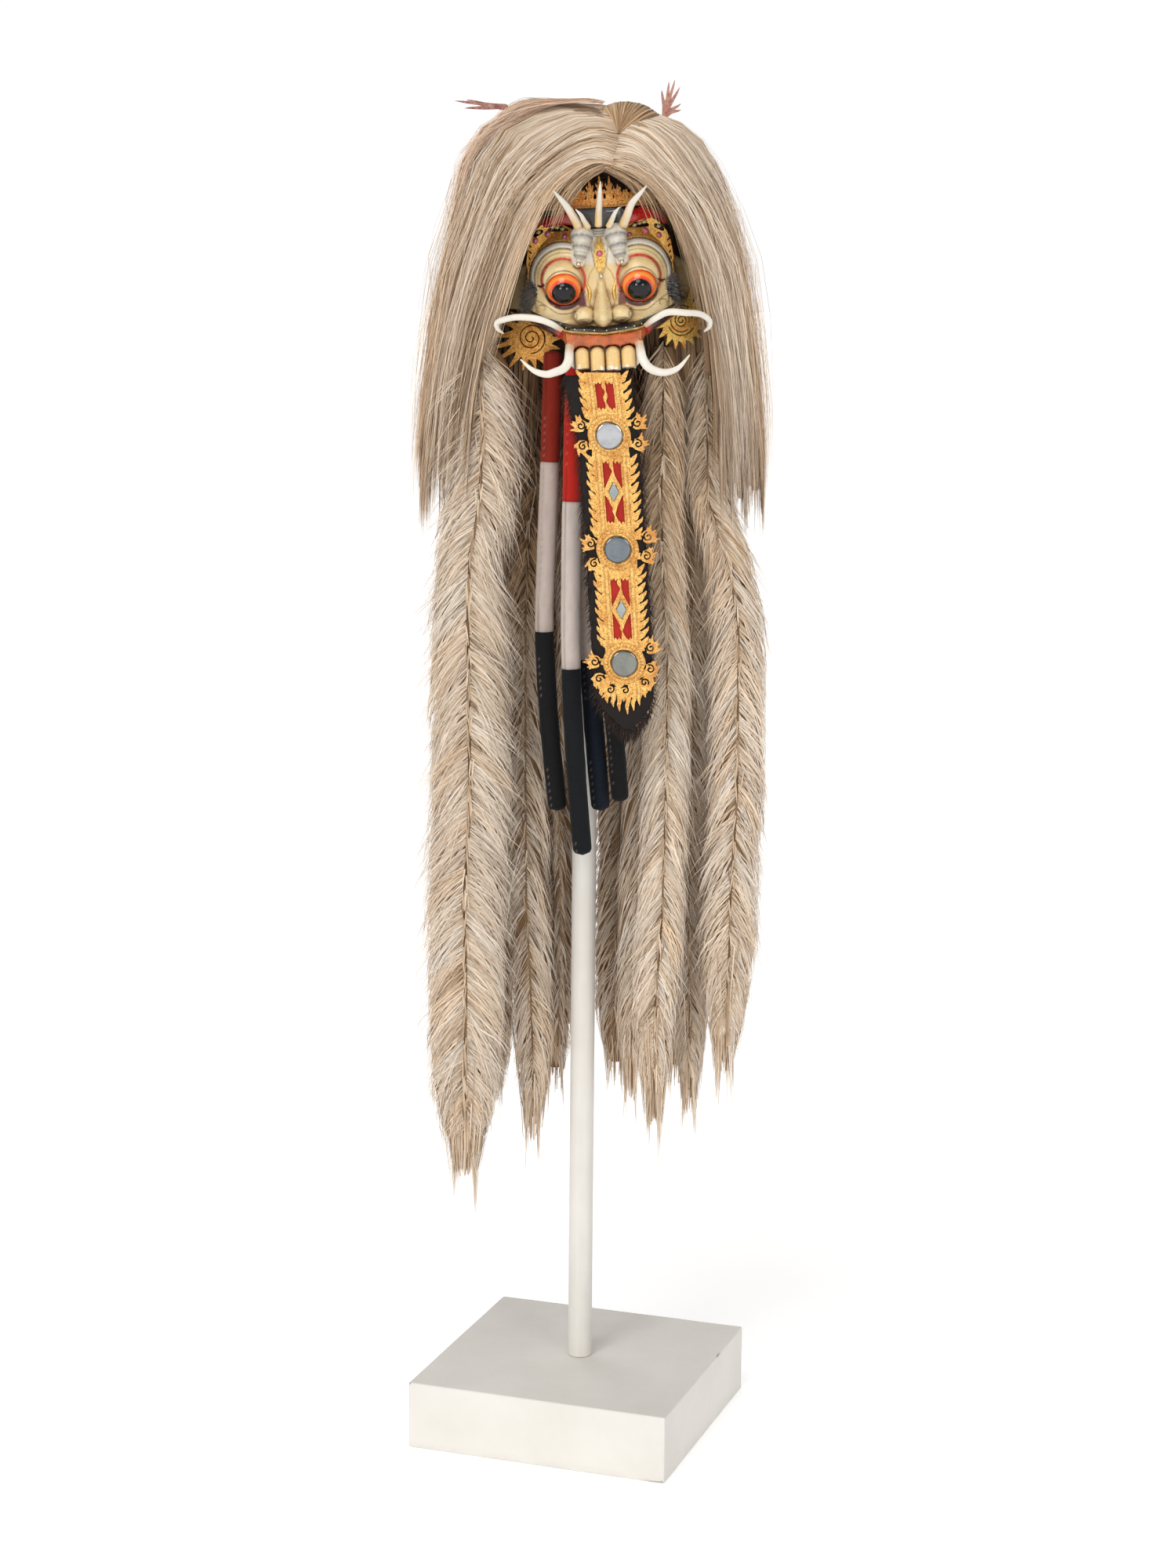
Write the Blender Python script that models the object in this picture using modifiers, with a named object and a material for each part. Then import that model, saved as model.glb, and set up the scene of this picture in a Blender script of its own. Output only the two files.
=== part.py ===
"""Balinese demon-queen dance mask with its wig, tongue and cloth tubes, on a round pole in a square plinth.

Metres, +Z up.  The origin is the centre of the plinth's underside.  The face looks towards -Y.
Local mask coordinates are (u, w, d): u to the right, w up, both from the point midway between the eyes, and d
forward of the pole's axis.
"""

import math

import bmesh
import bpy
import numpy as np
from mathutils import Matrix, Vector

# ---------------------------------------------------------------- driving dimensions
PLINTH_SIDE = 0.402
PLINTH_HEIGHT = 0.102
PLINTH_TURN = math.radians(-18.97)
PLINTH_EDGE = 0.003
GAP = 0.0005

POLE_R = 0.018
POLE_TOP = 1.914

EYE_MID = (0.0169, 1.7235)      # x and z of the point midway between the eyes
MASK_ROLL = math.radians(3.5)   # the face's right side is carried a little higher
EYE_HALF = 0.0525               # half the distance between the eyes
FACE_HALF_WIDTH = 0.108
FACE_HALF_HEIGHT = 0.115
FACE_WALL = 0.008
RIM_D = 0.092                   # depth of the face's rim in front of the pole's axis
FACE_RISE = 0.068               # how far the middle of the face stands before the rim
EAR_REACH = 0.136
BALL_R = 0.0245
LID_R = 0.0310
PUPIL_R = 0.0162

CAP_CENTRE = (0.005, 0.010, 1.810)
CAP_R = (0.115, 0.110, 0.118)
CAP_WALL = 0.004

TONGUE_D = 0.1830               # depth of the gilt strip's front
TONGUE_TOP = 1.6000
TONGUE_END = 1.1190
FUR_END = 1.0900
STRIP_HALF = 0.0255
FLAME_REACH = 0.0095
MIRROR_R = 0.0180
MIRROR_Z = (1.5169, 1.3582, 1.1973)
DIAMOND_Z = (1.4390, 1.2738)

HAIR_CENTRE = (0.006, -0.020)
HAIR_THICK = 0.020

ROOT = "Demon_Queen_Mask"

# ---------------------------------------------------------------- a clean scene
for old in list(bpy.data.objects):
    bpy.data.objects.remove(old, do_unlink=True)
coll = bpy.data.collections.new(ROOT)
bpy.context.scene.collection.children.link(coll)


def material(name, rgb, rough, metal=0.0):
    m = bpy.data.materials.new(name)
    m.use_nodes = True
    b = m.node_tree.nodes["Principled BSDF"]
    b.inputs["Base Color"].default_value = (*rgb, 1.0)
    b.inputs["Roughness"].default_value = rough
    b.inputs["Metallic"].default_value = metal
    m.diffuse_color = (*rgb, 1.0)
    return m


WHITE = material("white_paint", (0.80, 0.77, 0.72), 0.55)
SKIN = material("lacquered_wood", (0.72, 0.60, 0.36), 0.30)
BONE = material("bone", (0.86, 0.83, 0.77), 0.32)
GILT = material("gilt_leather", (0.80, 0.55, 0.16), 0.38, 0.85)
RED_BAND = material("red_lacquer", (0.45, 0.03, 0.03), 0.40)
RED_CLOTH = material("red_cloth", (0.50, 0.05, 0.04), 0.85)
FUR = material("dark_fur", (0.035, 0.022, 0.018), 0.75)
MIRROR = material("mirror_glass", (0.62, 0.66, 0.70), 0.06, 1.0)
CAP = material("cap_cloth", (0.10, 0.07, 0.06), 0.90)
HAIR = material("pale_hair", (0.60, 0.49, 0.36), 0.55)
TUBE = material("tube_cloth", (0.55, 0.10, 0.07), 0.85)
FROND = material("red_leather", (0.42, 0.10, 0.10), 0.60)


def finish(obj, mat, smooth=True):
    for c in list(obj.users_collection):
        c.objects.unlink(obj)
    coll.objects.link(obj)
    if obj.type == "MESH":
        obj.data.materials.clear()
        obj.data.materials.append(mat)
        if smooth:
            obj.data.shade_smooth()
            obj.data.set_sharp_from_angle(angle=math.radians(40))
    else:
        obj.data.materials.append(mat)
    return obj


# ---------------------------------------------------------------- general builders
def lofted_shell(name, outer, inner, mat):
    """A closed shell between two open surfaces, each given as rows of points."""
    outer, inner = np.asarray(outer, float), np.asarray(inner, float)
    rows, cols = outer.shape[:2]
    bm = bmesh.new()
    vo = [[bm.verts.new(outer[i, j]) for j in range(cols)] for i in range(rows)]
    vi = [[bm.verts.new(inner[i, j]) for j in range(cols)] for i in range(rows)]
    for i in range(rows - 1):
        for j in range(cols - 1):
            bm.faces.new((vo[i][j], vo[i][j + 1], vo[i + 1][j + 1], vo[i + 1][j]))
            bm.faces.new((vi[i][j], vi[i + 1][j], vi[i + 1][j + 1], vi[i][j + 1]))
    for j in range(cols - 1):
        bm.faces.new((vo[0][j], vi[0][j], vi[0][j + 1], vo[0][j + 1]))
        bm.faces.new((vo[-1][j], vo[-1][j + 1], vi[-1][j + 1], vi[-1][j]))
    for i in range(rows - 1):
        bm.faces.new((vo[i][0], vo[i + 1][0], vi[i + 1][0], vi[i][0]))
        bm.faces.new((vo[i][-1], vi[i][-1], vi[i + 1][-1], vo[i + 1][-1]))
    bmesh.ops.triangulate(bm, faces=bm.faces[:])
    bmesh.ops.recalc_face_normals(bm, faces=bm.faces[:])
    me = bpy.data.meshes.new(name)
    bm.to_mesh(me)
    bm.free()
    ob = bpy.data.objects.new(name, me)
    coll.objects.link(ob)
    return finish(ob, mat)


def smooth_path(points, count):
    """Points read at even steps from a smooth curve through the given ones, with any further columns carried."""
    p = np.asarray(points, float)
    n = len(p)
    seg = np.r_[0, np.cumsum(np.linalg.norm(np.diff(p[:, :3], axis=0), axis=1))]
    out = []
    for s in np.linspace(0, seg[-1], count):
        k = min(max(int(np.searchsorted(seg, s, side="right")) - 1, 0), n - 2)
        t = (s - seg[k]) / (seg[k + 1] - seg[k])
        a, b = p[k], p[k + 1]
        ma = (p[k + 1] - p[max(k - 1, 0)]) / (seg[k + 1] - seg[max(k - 1, 0)])
        mb = (p[min(k + 2, n - 1)] - p[k]) / (seg[min(k + 2, n - 1)] - seg[k])
        h = seg[k + 1] - seg[k]
        t2, t3 = t * t, t * t * t
        out.append(
            (2 * t3 - 3 * t2 + 1) * a
            + (t3 - 2 * t2 + t) * h * ma
            + (-2 * t3 + 3 * t2) * b
            + (t3 - t2) * h * mb
        )
    return np.array(out)


def bevelled_path(name, path, mat, resolution=2, flat=1.0, turn=0.0):
    """A round-ended run of changing thickness: rows of x, y, z, radius.  flat squeezes it front to back."""
    path = np.asarray(path, float)
    biggest = float(path[:, 3].max())
    cu = bpy.data.curves.new(name, "CURVE")
    cu.dimensions = "3D"
    cu.bevel_depth = biggest
    cu.bevel_resolution = resolution
    cu.use_fill_caps = True
    cu.twist_mode = "MINIMUM"
    sp = cu.splines.new("POLY")
    sp.points.add(len(path) - 1)
    for q, (x, y, z, r) in zip(sp.points, path):
        q.co = (x, y / flat, z, 1.0)
        q.radius = r / biggest
    ob = bpy.data.objects.new(name, cu)
    ob.scale = (1.0, flat, 1.0)
    coll.objects.link(ob)
    return finish(ob, mat)


def flat_plate(name, outline, thickness, mat, place):
    """A flat outline given thickness.  Its own x is across, its own y up, and it faces its own +z."""
    cu = bpy.data.curves.new(name, "CURVE")
    cu.dimensions = "2D"
    cu.fill_mode = "BOTH"
    cu.extrude = thickness / 2
    sp = cu.splines.new("POLY")
    sp.points.add(len(outline) - 1)
    for q, (x, y) in zip(sp.points, outline):
        q.co = (x, y, 0.0, 1.0)
    sp.use_cyclic_u = True
    ob = bpy.data.objects.new(name, cu)
    ob.matrix_world = place
    coll.objects.link(ob)
    return finish(ob, mat)


def facing_front(x, y, z, turn=0.0, roll=0.0, lean=0.0):
    """Placement of a flat plate that faces -Y, turned about Z, leant about X and rolled in its own plane."""
    return (
        Matrix.Translation((x, y, z))
        @ Matrix.Rotation(turn, 4, "Z")
        @ Matrix.Rotation(math.pi / 2 + lean, 4, "X")
        @ Matrix.Rotation(roll, 4, "Z")
    )


# ---------------------------------------------------------------- plinth and pole
bpy.ops.mesh.primitive_cube_add(size=1.0, location=(0, 0, PLINTH_HEIGHT / 2))
plinth = bpy.context.object
plinth.name = "plinth"
plinth.data.transform(Matrix.Diagonal((PLINTH_SIDE, PLINTH_SIDE, PLINTH_HEIGHT, 1.0)))
plinth.rotation_euler = (0, 0, PLINTH_TURN)
bev = plinth.modifiers.new("edge", "BEVEL")
bev.width = PLINTH_EDGE
bev.segments = 2
finish(plinth, WHITE)

pole_length = POLE_TOP - PLINTH_HEIGHT - GAP
bpy.ops.mesh.primitive_cylinder_add(
    vertices=32, radius=POLE_R, depth=pole_length,
    location=(0, 0, PLINTH_HEIGHT + GAP + pole_length / 2),
)
pole = bpy.context.object
pole.name = "pole"
finish(pole, WHITE)

# ---------------------------------------------------------------- the carved face
CR, SR = math.cos(MASK_ROLL), math.sin(MASK_ROLL)


def face_point(u, w, d):
    return (EYE_MID[0] + u * CR - w * SR, -d, EYE_MID[1] + u * SR + w * CR)


def step(a, b, x):
    t = np.clip((x - a) / (b - a), 0.0, 1.0)
    return t * t * (3 - 2 * t)


def dome(u, w, cu, cw, r, base, squash):
    q = r * r - (u - cu) ** 2 - (w - cw) ** 2
    return np.where(q > 0, base + squash * np.sqrt(np.maximum(q, 0)), 0.0)


def mound(u, w, cu, cw, ru, rw, h):
    return h * np.exp(-(((u - cu) / ru) ** 2 + ((w - cw) / rw) ** 2))


def face_base(u, w):
    e = np.sqrt((u / FACE_HALF_WIDTH) ** 2 + ((w + 0.010) / FACE_HALF_HEIGHT) ** 2)
    d = RIM_D + FACE_RISE * np.sqrt(np.maximum(0.0, 1.0 - np.minimum(e, 1.0) ** 2.2))
    d = d - 0.10 * np.maximum(0.0, e - 1.0)
    muzzle = step(-0.045, -0.062, w) * step(0.062, 0.046, np.abs(u))
    return d + muzzle * np.maximum(0.0, 0.170 - d)


def face_depth(u, w):
    """How far the carved front stands before the pole's axis."""
    a = np.abs(u)
    d = face_base(u, w)
    d = d + mound(a, w, 0.072, -0.032, 0.026, 0.020, 0.018)            # cheeks
    d = d + mound(a, w, 0.0525, 0.045, 0.045, 0.016, 0.016)            # brow mass
    r = np.hypot(a - EYE_HALF, w - 0.009)
    over = step(-0.010, 0.012, w)
    d = d + 0.007 * over * np.exp(-(((r - 0.040) / 0.005) ** 2))       # brow arc
    t = np.clip(((a - 0.0215) * 0.008 - (w - 0.070) * 0.036) / 0.00136, 0, 1)
    rr = 0.0155 - 0.006 * t
    q = rr ** 2 - (a - 0.0215 - 0.008 * t) ** 2 - (w - 0.070 + 0.036 * t) ** 2
    d = np.where(q > 0, np.maximum(d, 0.158 + 0.006 * t + np.sqrt(np.maximum(q, 0))), d)  # forehead scrolls
    down = np.clip((0.012 - w) / 0.055, 0, 1)
    half = 0.007 + 0.012 * down ** 1.5
    ridge = 0.160 + 0.050 * down ** 1.3
    ridge = np.where(w < -0.043, 0.210 - 1.6 * (-0.043 - w), ridge)
    q = 1 - (a / half) ** 2
    nose = np.where((q > 0) & (w < 0.014) & (w > -0.056), 0.150 + (ridge - 0.150) * np.sqrt(np.maximum(q, 0)), 0)
    d = np.maximum(d, nose)
    d = np.maximum(d, dome(a, w, 0.0265, -0.0445, 0.0135, 0.168, 1.1))  # nostrils' wings
    d = np.maximum(d, dome(a, w, EYE_HALF, 0.009, LID_R, 0.146, 0.80))  # lids
    d = np.maximum(d, dome(a, w, EYE_HALF, -0.002, BALL_R, 0.160, 0.92))
    d = np.maximum(d, dome(a, w, EYE_HALF, -0.0095, PUPIL_R, 0.173, 0.92))
    lip = -0.0640 + 0.0090 * np.clip(a / 0.063, 0, 1) ** 2
    d = d + 0.012 * np.exp(-(((w - lip - 0.004) / 0.0045) ** 2)) * step(0.070, 0.055, a)
    teeth = step(-0.078, -0.084, w) * step(0.047, 0.043, a)
    return np.maximum(d, teeth * 0.181)


OUTLINE_DEG = (-90, -66, -59, -50, -38, -24, -15, -8, 6, 18, 26, 45, 62, 90)
OUTLINE_R = (0.1060, 0.1130, 0.0990, 0.0850, 0.0900, 0.1010, 0.1130, EAR_REACH, EAR_REACH, 0.1240, 0.1080, 0.1080, 0.1040, 0.0950)
SPOKES, RINGS = 44, 13

front, back = [], []
for k in range(RINGS + 1):
    f = 0.06 + 0.94 * (k / RINGS)
    ring_o, ring_i = [], []
    for j in range(SPOKES):
        phi = 2 * math.pi * j / SPOKES
        deg = math.degrees(math.asin(math.sin(phi)))
        reach = float(np.interp(deg, OUTLINE_DEG, OUTLINE_R)) * f
        u, w = reach * math.cos(phi), -0.010 + reach * math.sin(phi)
        outer = float(face_depth(u, w))
        plain = float(face_base(0.97 * u, 0.97 * (w + 0.010) - 0.010))
        ring_o.append(face_point(u, w, outer))
        ring_i.append(face_point(u, w, min(plain, outer) - FACE_WALL))
    front.append(ring_o)
    back.append(ring_i)

bm = bmesh.new()
vf = [[bm.verts.new(p) for p in ring] for ring in front]
vb = [[bm.verts.new(p) for p in ring] for ring in back]
cf = bm.verts.new(face_point(0, -0.010, float(face_depth(0, -0.010))))
cb = bm.verts.new(face_point(0, -0.010, float(face_base(0, -0.010)) - FACE_WALL))
for j in range(SPOKES):
    n = (j + 1) % SPOKES
    bm.faces.new((cf, vf[0][j], vf[0][n]))
    bm.faces.new((cb, vb[0][n], vb[0][j]))
    for k in range(RINGS):
        bm.faces.new((vf[k][j], vf[k + 1][j], vf[k + 1][n], vf[k][n]))
        bm.faces.new((vb[k][j], vb[k][n], vb[k + 1][n], vb[k + 1][j]))
    bm.faces.new((vf[RINGS][j], vb[RINGS][j], vb[RINGS][n], vf[RINGS][n]))
bmesh.ops.triangulate(bm, faces=bm.faces[:])
bmesh.ops.recalc_face_normals(bm, faces=bm.faces[:])
me = bpy.data.meshes.new("mask")
bm.to_mesh(me)
bm.free()
mask = bpy.data.objects.new("mask", me)
coll.objects.link(mask)
finish(mask, SKIN)


# ---------------------------------------------------------------- tusks and horns
def clear_of_face(rows, margin):
    """Rows of u, w, d, radius, each moved forward until it stands clear of the carving."""
    out = []
    for u, w, d, r in rows:
        ring = [(u + 1.3 * r * math.cos(a), w + 1.3 * r * math.sin(a)) for a in np.linspace(0, 2 * math.pi, 12)]
        need = max(float(face_depth(p, q)) for p, q in ring + [(u, w)])
        inside = math.hypot(u, w + 0.010) < EAR_REACH + 0.02
        out.append((u, w, max(d, need + r + margin) if inside else d, r))
    return out


def horn(name, rows, count, resolution=2):
    rows = clear_of_face(smooth_path(rows, count), 0.0015)
    path = [(*face_point(u, w, d), r) for u, w, d, r in rows]
    return bevelled_path(name, path, BONE, resolution)


for side, tag in ((-1, "left"), (1, "right")):
    drop = 0.0 if side < 0 else -0.012
    horn(f"tusk_upper_{tag}", [
        (side * 0.060, -0.0605, 0.172, 0.0042),
        (side * 0.086, -0.0445, 0.182, 0.0046),
        (side * 0.115, -0.0400, 0.174, 0.0046),
        (side * 0.140, -0.0425 + drop * 0.6, 0.160, 0.0043),
        (side * 0.1495, -0.0480 + drop, 0.150, 0.0038),
        (side * 0.1410, -0.0600 + drop, 0.144, 0.0016),
    ], 11)
    horn(f"tusk_lower_{tag}", [
        (side * 0.0500, -0.0800, 0.186, 0.0062),
        (side * 0.0520, -0.1040, 0.192, 0.0060),
        (side * 0.0640, -0.1190, 0.196, 0.0058),
        (side * 0.0820, -0.1240, 0.198, 0.0052),
        (side * 0.1020, -0.1190, 0.196, 0.0036),
        (side * 0.1165, -0.1010, 0.194, 0.0014),
    ], 11)
    horn(f"horn_outer_{tag}", [
        (side * 0.0285, 0.0860, 0.172, 0.0070),
        (side * 0.0400, 0.1040, 0.190, 0.0055),
        (side * 0.0520, 0.1200, 0.206, 0.0034),
        (side * 0.0630, 0.1300, 0.222, 0.0012),
    ], 7, 1)
    horn(f"horn_inner_{tag}", [
        (side * 0.0150, 0.0830, 0.176, 0.0042),
        (side * 0.0215, 0.0930, 0.186, 0.0032),
        (side * 0.0300, 0.1030, 0.198, 0.0010),
    ], 5, 1)
horn("horn_centre", [
    (0.0000, 0.0890, 0.168, 0.0052),
    (0.0020, 0.1100, 0.184, 0.0046),
    (0.0040, 0.1260, 0.196, 0.0032),
    (0.0060, 0.1400, 0.206, 0.0010),
], 7, 1)


# ---------------------------------------------------------------- crown, head band, brow plates, forehead leaf
def curved_band(name, radius, thick, low, high, half_angle, columns, mat, centre_d=0.005):
    """A strip bent round the head.  low and high give its lower and upper edges at an angle."""
    outer, inner = [[], []], [[], []]
    for j in range(columns + 1):
        b = -half_angle + 2 * half_angle * j / columns
        for row, edge in ((0, high), (1, low)):
            w = edge(b, j)
            outer[row].append(face_point(radius * math.sin(b), w, centre_d + radius * math.cos(b)))
            inner[row].append(face_point((radius - thick) * math.sin(b), w, centre_d + (radius - thick) * math.cos(b)))
    return lofted_shell(name, outer, inner, mat)


def crown_top(b, j):
    mid = 1.0 - abs(b) / math.radians(52)
    return 0.1180 + (0.030 * max(mid, 0.15) if j % 2 else 0.004)


curved_band("crown", 0.136, 0.002, lambda b, j: 0.1085, crown_top, math.radians(50), 22, GILT)
curved_band("head_band", 0.134, 0.006, lambda b, j: 0.0935 - 0.020 * abs(b), lambda b, j: 0.1075 - 0.008 * abs(b),
            math.radians(46), 12, RED_BAND)

for side, tag in ((-1, "left"), (1, "right")):
    outer, inner = [], []
    for i in range(3):
        row_o, row_i = [], []
        for j in range(11):
            a = math.radians(8 + 112 * j / 10)
            r = 0.0500 + 0.0150 * i / 2
            u, w = EYE_HALF + r * math.cos(a), 0.009 + r * math.sin(a)
            ring = [float(face_depth(u + du, w + dw)) for du in (-0.007, 0, 0.007) for dw in (-0.007, 0, 0.007)]
            d = max(ring) + 0.0015
            row_o.append(face_point(side * u, w, d + 0.003))
            row_i.append(face_point(side * u, w, d))
        outer.append(row_o)
        inner.append(row_i)
    lofted_shell(f"brow_plate_{tag}", outer, inner, GILT)

outer, inner = [], []
for i in range(7):
    w = 0.012 + 0.056 * i / 6
    half = 0.0022 + 0.0046 * math.sin(math.pi * min(1.0, (i + 0.7) / 6.4))
    d = max(float(face_depth(u, w + v)) for u in (-0.007, 0.0, 0.007) for v in (-0.006, 0, 0.006)) + 0.0015
    outer.append([face_point(u, w, d + 0.003) for u in (-half, 0, half)])
    inner.append([face_point(u, w, d) for u in (-half, 0, half)])
lofted_shell("forehead_leaf", outer, inner, GILT)


# ---------------------------------------------------------------- ear ornaments
def flame_disc(r, reach, count, trail):
    pts = []
    for i in range(count * 2):
        a = math.pi * i / count
        out = reach * (1.0 + trail * max(0.0, -math.cos(a)) ** 2) if i % 2 else 0.0
        pts.append(((r + out) * math.cos(a), (r + out) * math.sin(a)))
    return pts


flat_plate("ear_ornament_left", flame_disc(0.0300, 0.0085, 20, 0.9), 0.002, GILT,
           facing_front(-0.0800, -0.0760, 1.6440, math.radians(-10)))
flat_plate("ear_ornament_right", flame_disc(0.0300, 0.0085, 20, 0.5), 0.002, GILT,
           facing_front(0.1320, -0.0700, 1.6760, math.radians(38), math.radians(120)))


# ---------------------------------------------------------------- tongue
def tongue_x(z):
    f = (TONGUE_TOP - z) / (TONGUE_TOP - TONGUE_END)
    return 0.0190 + 0.0405 * f ** 0.75


def strip_outline(half, reach, low, pitch):
    """Half widths down the strip, one flame to each pitch, with broader wings beside the round mirrors."""
    right = []
    n = int(round((TONGUE_TOP - low) / pitch))
    for i in range(n * 2):
        z = TONGUE_TOP - (TONGUE_TOP - low) * i / (n * 2)
        wing = sum(0.016 * math.exp(-(((z - m) / 0.022) ** 4)) for m in MIRROR_Z)
        end = math.sqrt(max(0.0, 1 - max(0.0, (low + 0.045 - z) / 0.045) ** 2))
        out = (half + wing) * max(end, 0.12) + (reach if i % 2 else 0.0)
        right.append((out, z))
    return right


gilt = strip_outline(STRIP_HALF, FLAME_REACH, TONGUE_END, 0.0170)
shape = [(tongue_x(z) + o, z) for o, z in gilt] + [(tongue_x(TONGUE_END), TONGUE_END)] + [
    (tongue_x(z) - o, z) for o, z in reversed(gilt)]
flat_plate("tongue_gilt_strip", shape, 0.0016, GILT, facing_front(0, -TONGUE_D, 0))

cloth = [(tongue_x(z) + s * 0.0220, z) for s, zs in
         ((1, np.linspace(TONGUE_TOP, TONGUE_END + 0.05, 9)), (-1, np.linspace(TONGUE_END + 0.05, TONGUE_TOP, 9))) for z in zs]
flat_plate("tongue_red_cloth", cloth, 0.0010, RED_CLOTH, facing_front(0, -(TONGUE_D - 0.0018), 0))


def fur_half(z):
    end = math.sqrt(max(0.0, 1 - max(0.0, (FUR_END + 0.06 - z) / 0.06) ** 2))
    return 0.0440 * max(end, 0.10)


zs = np.linspace(TONGUE_TOP, FUR_END, 16)
fur = [(tongue_x(max(z, TONGUE_END)) + fur_half(z), z) for z in zs] + [
    (tongue_x(max(z, TONGUE_END)) - fur_half(z), z) for z in zs[::-1]]
flat_plate("tongue_fur", fur, 0.0120, FUR, facing_front(0, -(TONGUE_D - 0.0092), 0))

for i, z in enumerate(MIRROR_Z):
    bpy.ops.mesh.primitive_cylinder_add(vertices=20, radius=MIRROR_R, depth=0.003,
                                        location=(tongue_x(z), -(TONGUE_D + 0.0028), z), rotation=(math.pi / 2, 0, 0))
    o = bpy.context.object
    o.name = f"mirror_round_{('upper', 'middle', 'lower')[i]}"
    finish(o, MIRROR)
for i, z in enumerate(DIAMOND_Z):
    flat_plate(f"mirror_diamond_{('upper', 'lower')[i]}", [(0.0068, 0), (0, 0.0135), (-0.0068, 0), (0, -0.0135)],
               0.003, MIRROR, facing_front(tongue_x(z), -(TONGUE_D + 0.0028), z))

# ---------------------------------------------------------------- stuffed cloth tubes
TUBES = {
    "cloth_tube_a": [(-0.0500, -0.0980, 1.6300), (-0.0535, -0.1000, 1.4725), (-0.0600, -0.1000, 1.2277), (-0.0385, -0.1000, 0.9690)],
    "cloth_tube_b": [(-0.0180, -0.1260, 1.6250), (-0.0215, -0.1260, 1.4189), (-0.0210, -0.1240, 1.1764), (-0.0020, -0.1220, 0.9085)],
    "cloth_tube_c": [(-0.0050, -0.0940, 1.6280), (0.0000, -0.0940, 1.3000), (0.0100, -0.0920, 1.1400), (0.0275, -0.0900, 0.9680)],
    "cloth_tube_d": [(0.0270, -0.1200, 1.6150), (0.0300, -0.1200, 1.3000), (0.0380, -0.1150, 1.1400), (0.0520, -0.1100, 0.9850)],
}
TUBE_R = {"cloth_tube_a": 0.0140, "cloth_tube_b": 0.0142, "cloth_tube_c": 0.0138, "cloth_tube_d": 0.0130}
for name, route in TUBES.items():
    r = TUBE_R[name]
    path = smooth_path([(*p, r) for p in route], 9)
    end = path[-1] + (path[-1] - path[-2]) / np.linalg.norm(path[-1, :3] - path[-2, :3]) * 0.006
    path = np.vstack([path, [*end[:3], r * 0.62]])
    bevelled_path(name, path, TUBE, 2)

# ---------------------------------------------------------------- wig cap
bpy.ops.mesh.primitive_uv_sphere_add(segments=18, ring_count=10, radius=1.0, location=(0, 0, 0))
cap = bpy.context.object
cap.name = "wig_cap"
bm = bmesh.new()
bm.from_mesh(cap.data)
bmesh.ops.delete(bm, geom=[v for v in bm.verts if v.co.z < -0.01], context="VERTS")
bm.to_mesh(cap.data)
bm.free()
cap.data.transform(Matrix.Translation(CAP_CENTRE) @ Matrix.Diagonal((*CAP_R, 1.0)))
solid = cap.modifiers.new("wall", "SOLIDIFY")
solid.thickness = CAP_WALL
solid.offset = -1.0
finish(cap, CAP)

# ---------------------------------------------------------------- smooth hair over the head
# Rows down the hair: height, outer half width, forward share of it, half angles of the opening for the face, left and right
HAIR_ROWS = (
    (1.9560, 0.022, 1.00, 3, 3), (1.9740, 0.060, 1.00, 2, 2), (1.9660, 0.104, 1.00, 1, 1), (1.9440, 0.138, 1.00, 1, 1),
    (1.9050, 0.164, 1.00, 1, 2), (1.8750, 0.177, 1.00, 8, 8), (1.8450, 0.187, 1.00, 17, 17), (1.7950, 0.199, 0.92, 26, 26),
    (1.7350, 0.212, 0.80, 32, 35), (1.6750, 0.223, 0.68, 38, 47), (1.6050, 0.234, 0.62, 45, 52), (1.5350, 0.243, 0.60, 54, 57),
    (1.4650, 0.247, 0.60, 61, 62), (1.4000, 0.245, 0.60, 68, 68),
)
COLUMNS = 12
for side, tag in ((-1, "left"), (1, "right")):
    outer, inner = [], []
    for z, r, fore, *alphas in HAIR_ROWS:
        row_o, row_i = [], []
        a0, a1 = math.radians(alphas[side > 0]), math.radians(179.6)
        for j in range(COLUMNS + 1):
            th = a0 + (a1 - a0) * (j / COLUMNS)
            share = fore if math.cos(th) > 0 else 0.88
            lift = 0.0
            if side > 0 and z > 1.93:
                lift = -0.012
            thick = HAIR_THICK * (0.75 if r < 0.03 else 1.0)
            for row, rr, drop in ((row_o, r, 0.0), (row_i, r - (thick if r > 0.11 else 0.0), 0.0 if r > 0.15 else -thick * 0.85)):
                rr = max(rr, 0.020)
                row.append((
                    HAIR_CENTRE[0] + side * (rr * math.sin(th) + 0.0012),
                    HAIR_CENTRE[1] - share * rr * math.cos(th),
                    z + lift * min(1.0, rr / 0.10) + drop,
                ))
        outer.append(row_o)
        inner.append(row_i)
    lofted_shell(f"hair_{tag}", outer, inner, HAIR)


# ---------------------------------------------------------------- red leather fronds standing out of the hair
def frond(tips, length, width):
    """A comb of flame tips on a short stem."""
    pts = []
    for i in range(tips):
        a = math.radians(-34 + 68 * i / (tips - 1))
        lean = math.sin(a)
        base = width * (i - (tips - 1) / 2)
        reach = length * (1.0 - 0.25 * abs(lean))
        pts.append((base - width * 0.32, 0.010))
        pts.append((base + reach * lean * 0.55, reach))
        pts.append((base + width * 0.32, 0.010))
    return [(width * 1.2, 0.0)] + pts[::-1] + [(-width * 1.2, 0.0)]


flat_plate("frond_right", frond(5, 0.050, 0.0055), 0.0016, FROND,
           facing_front(0.1100, -0.0200, 1.9580, math.radians(8), math.radians(-14)))
flat_plate("frond_left", frond(3, 0.064, 0.0040), 0.0016, FROND,
           facing_front(-0.1150, -0.0300, 1.9740, math.radians(-8), math.radians(84)))


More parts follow.
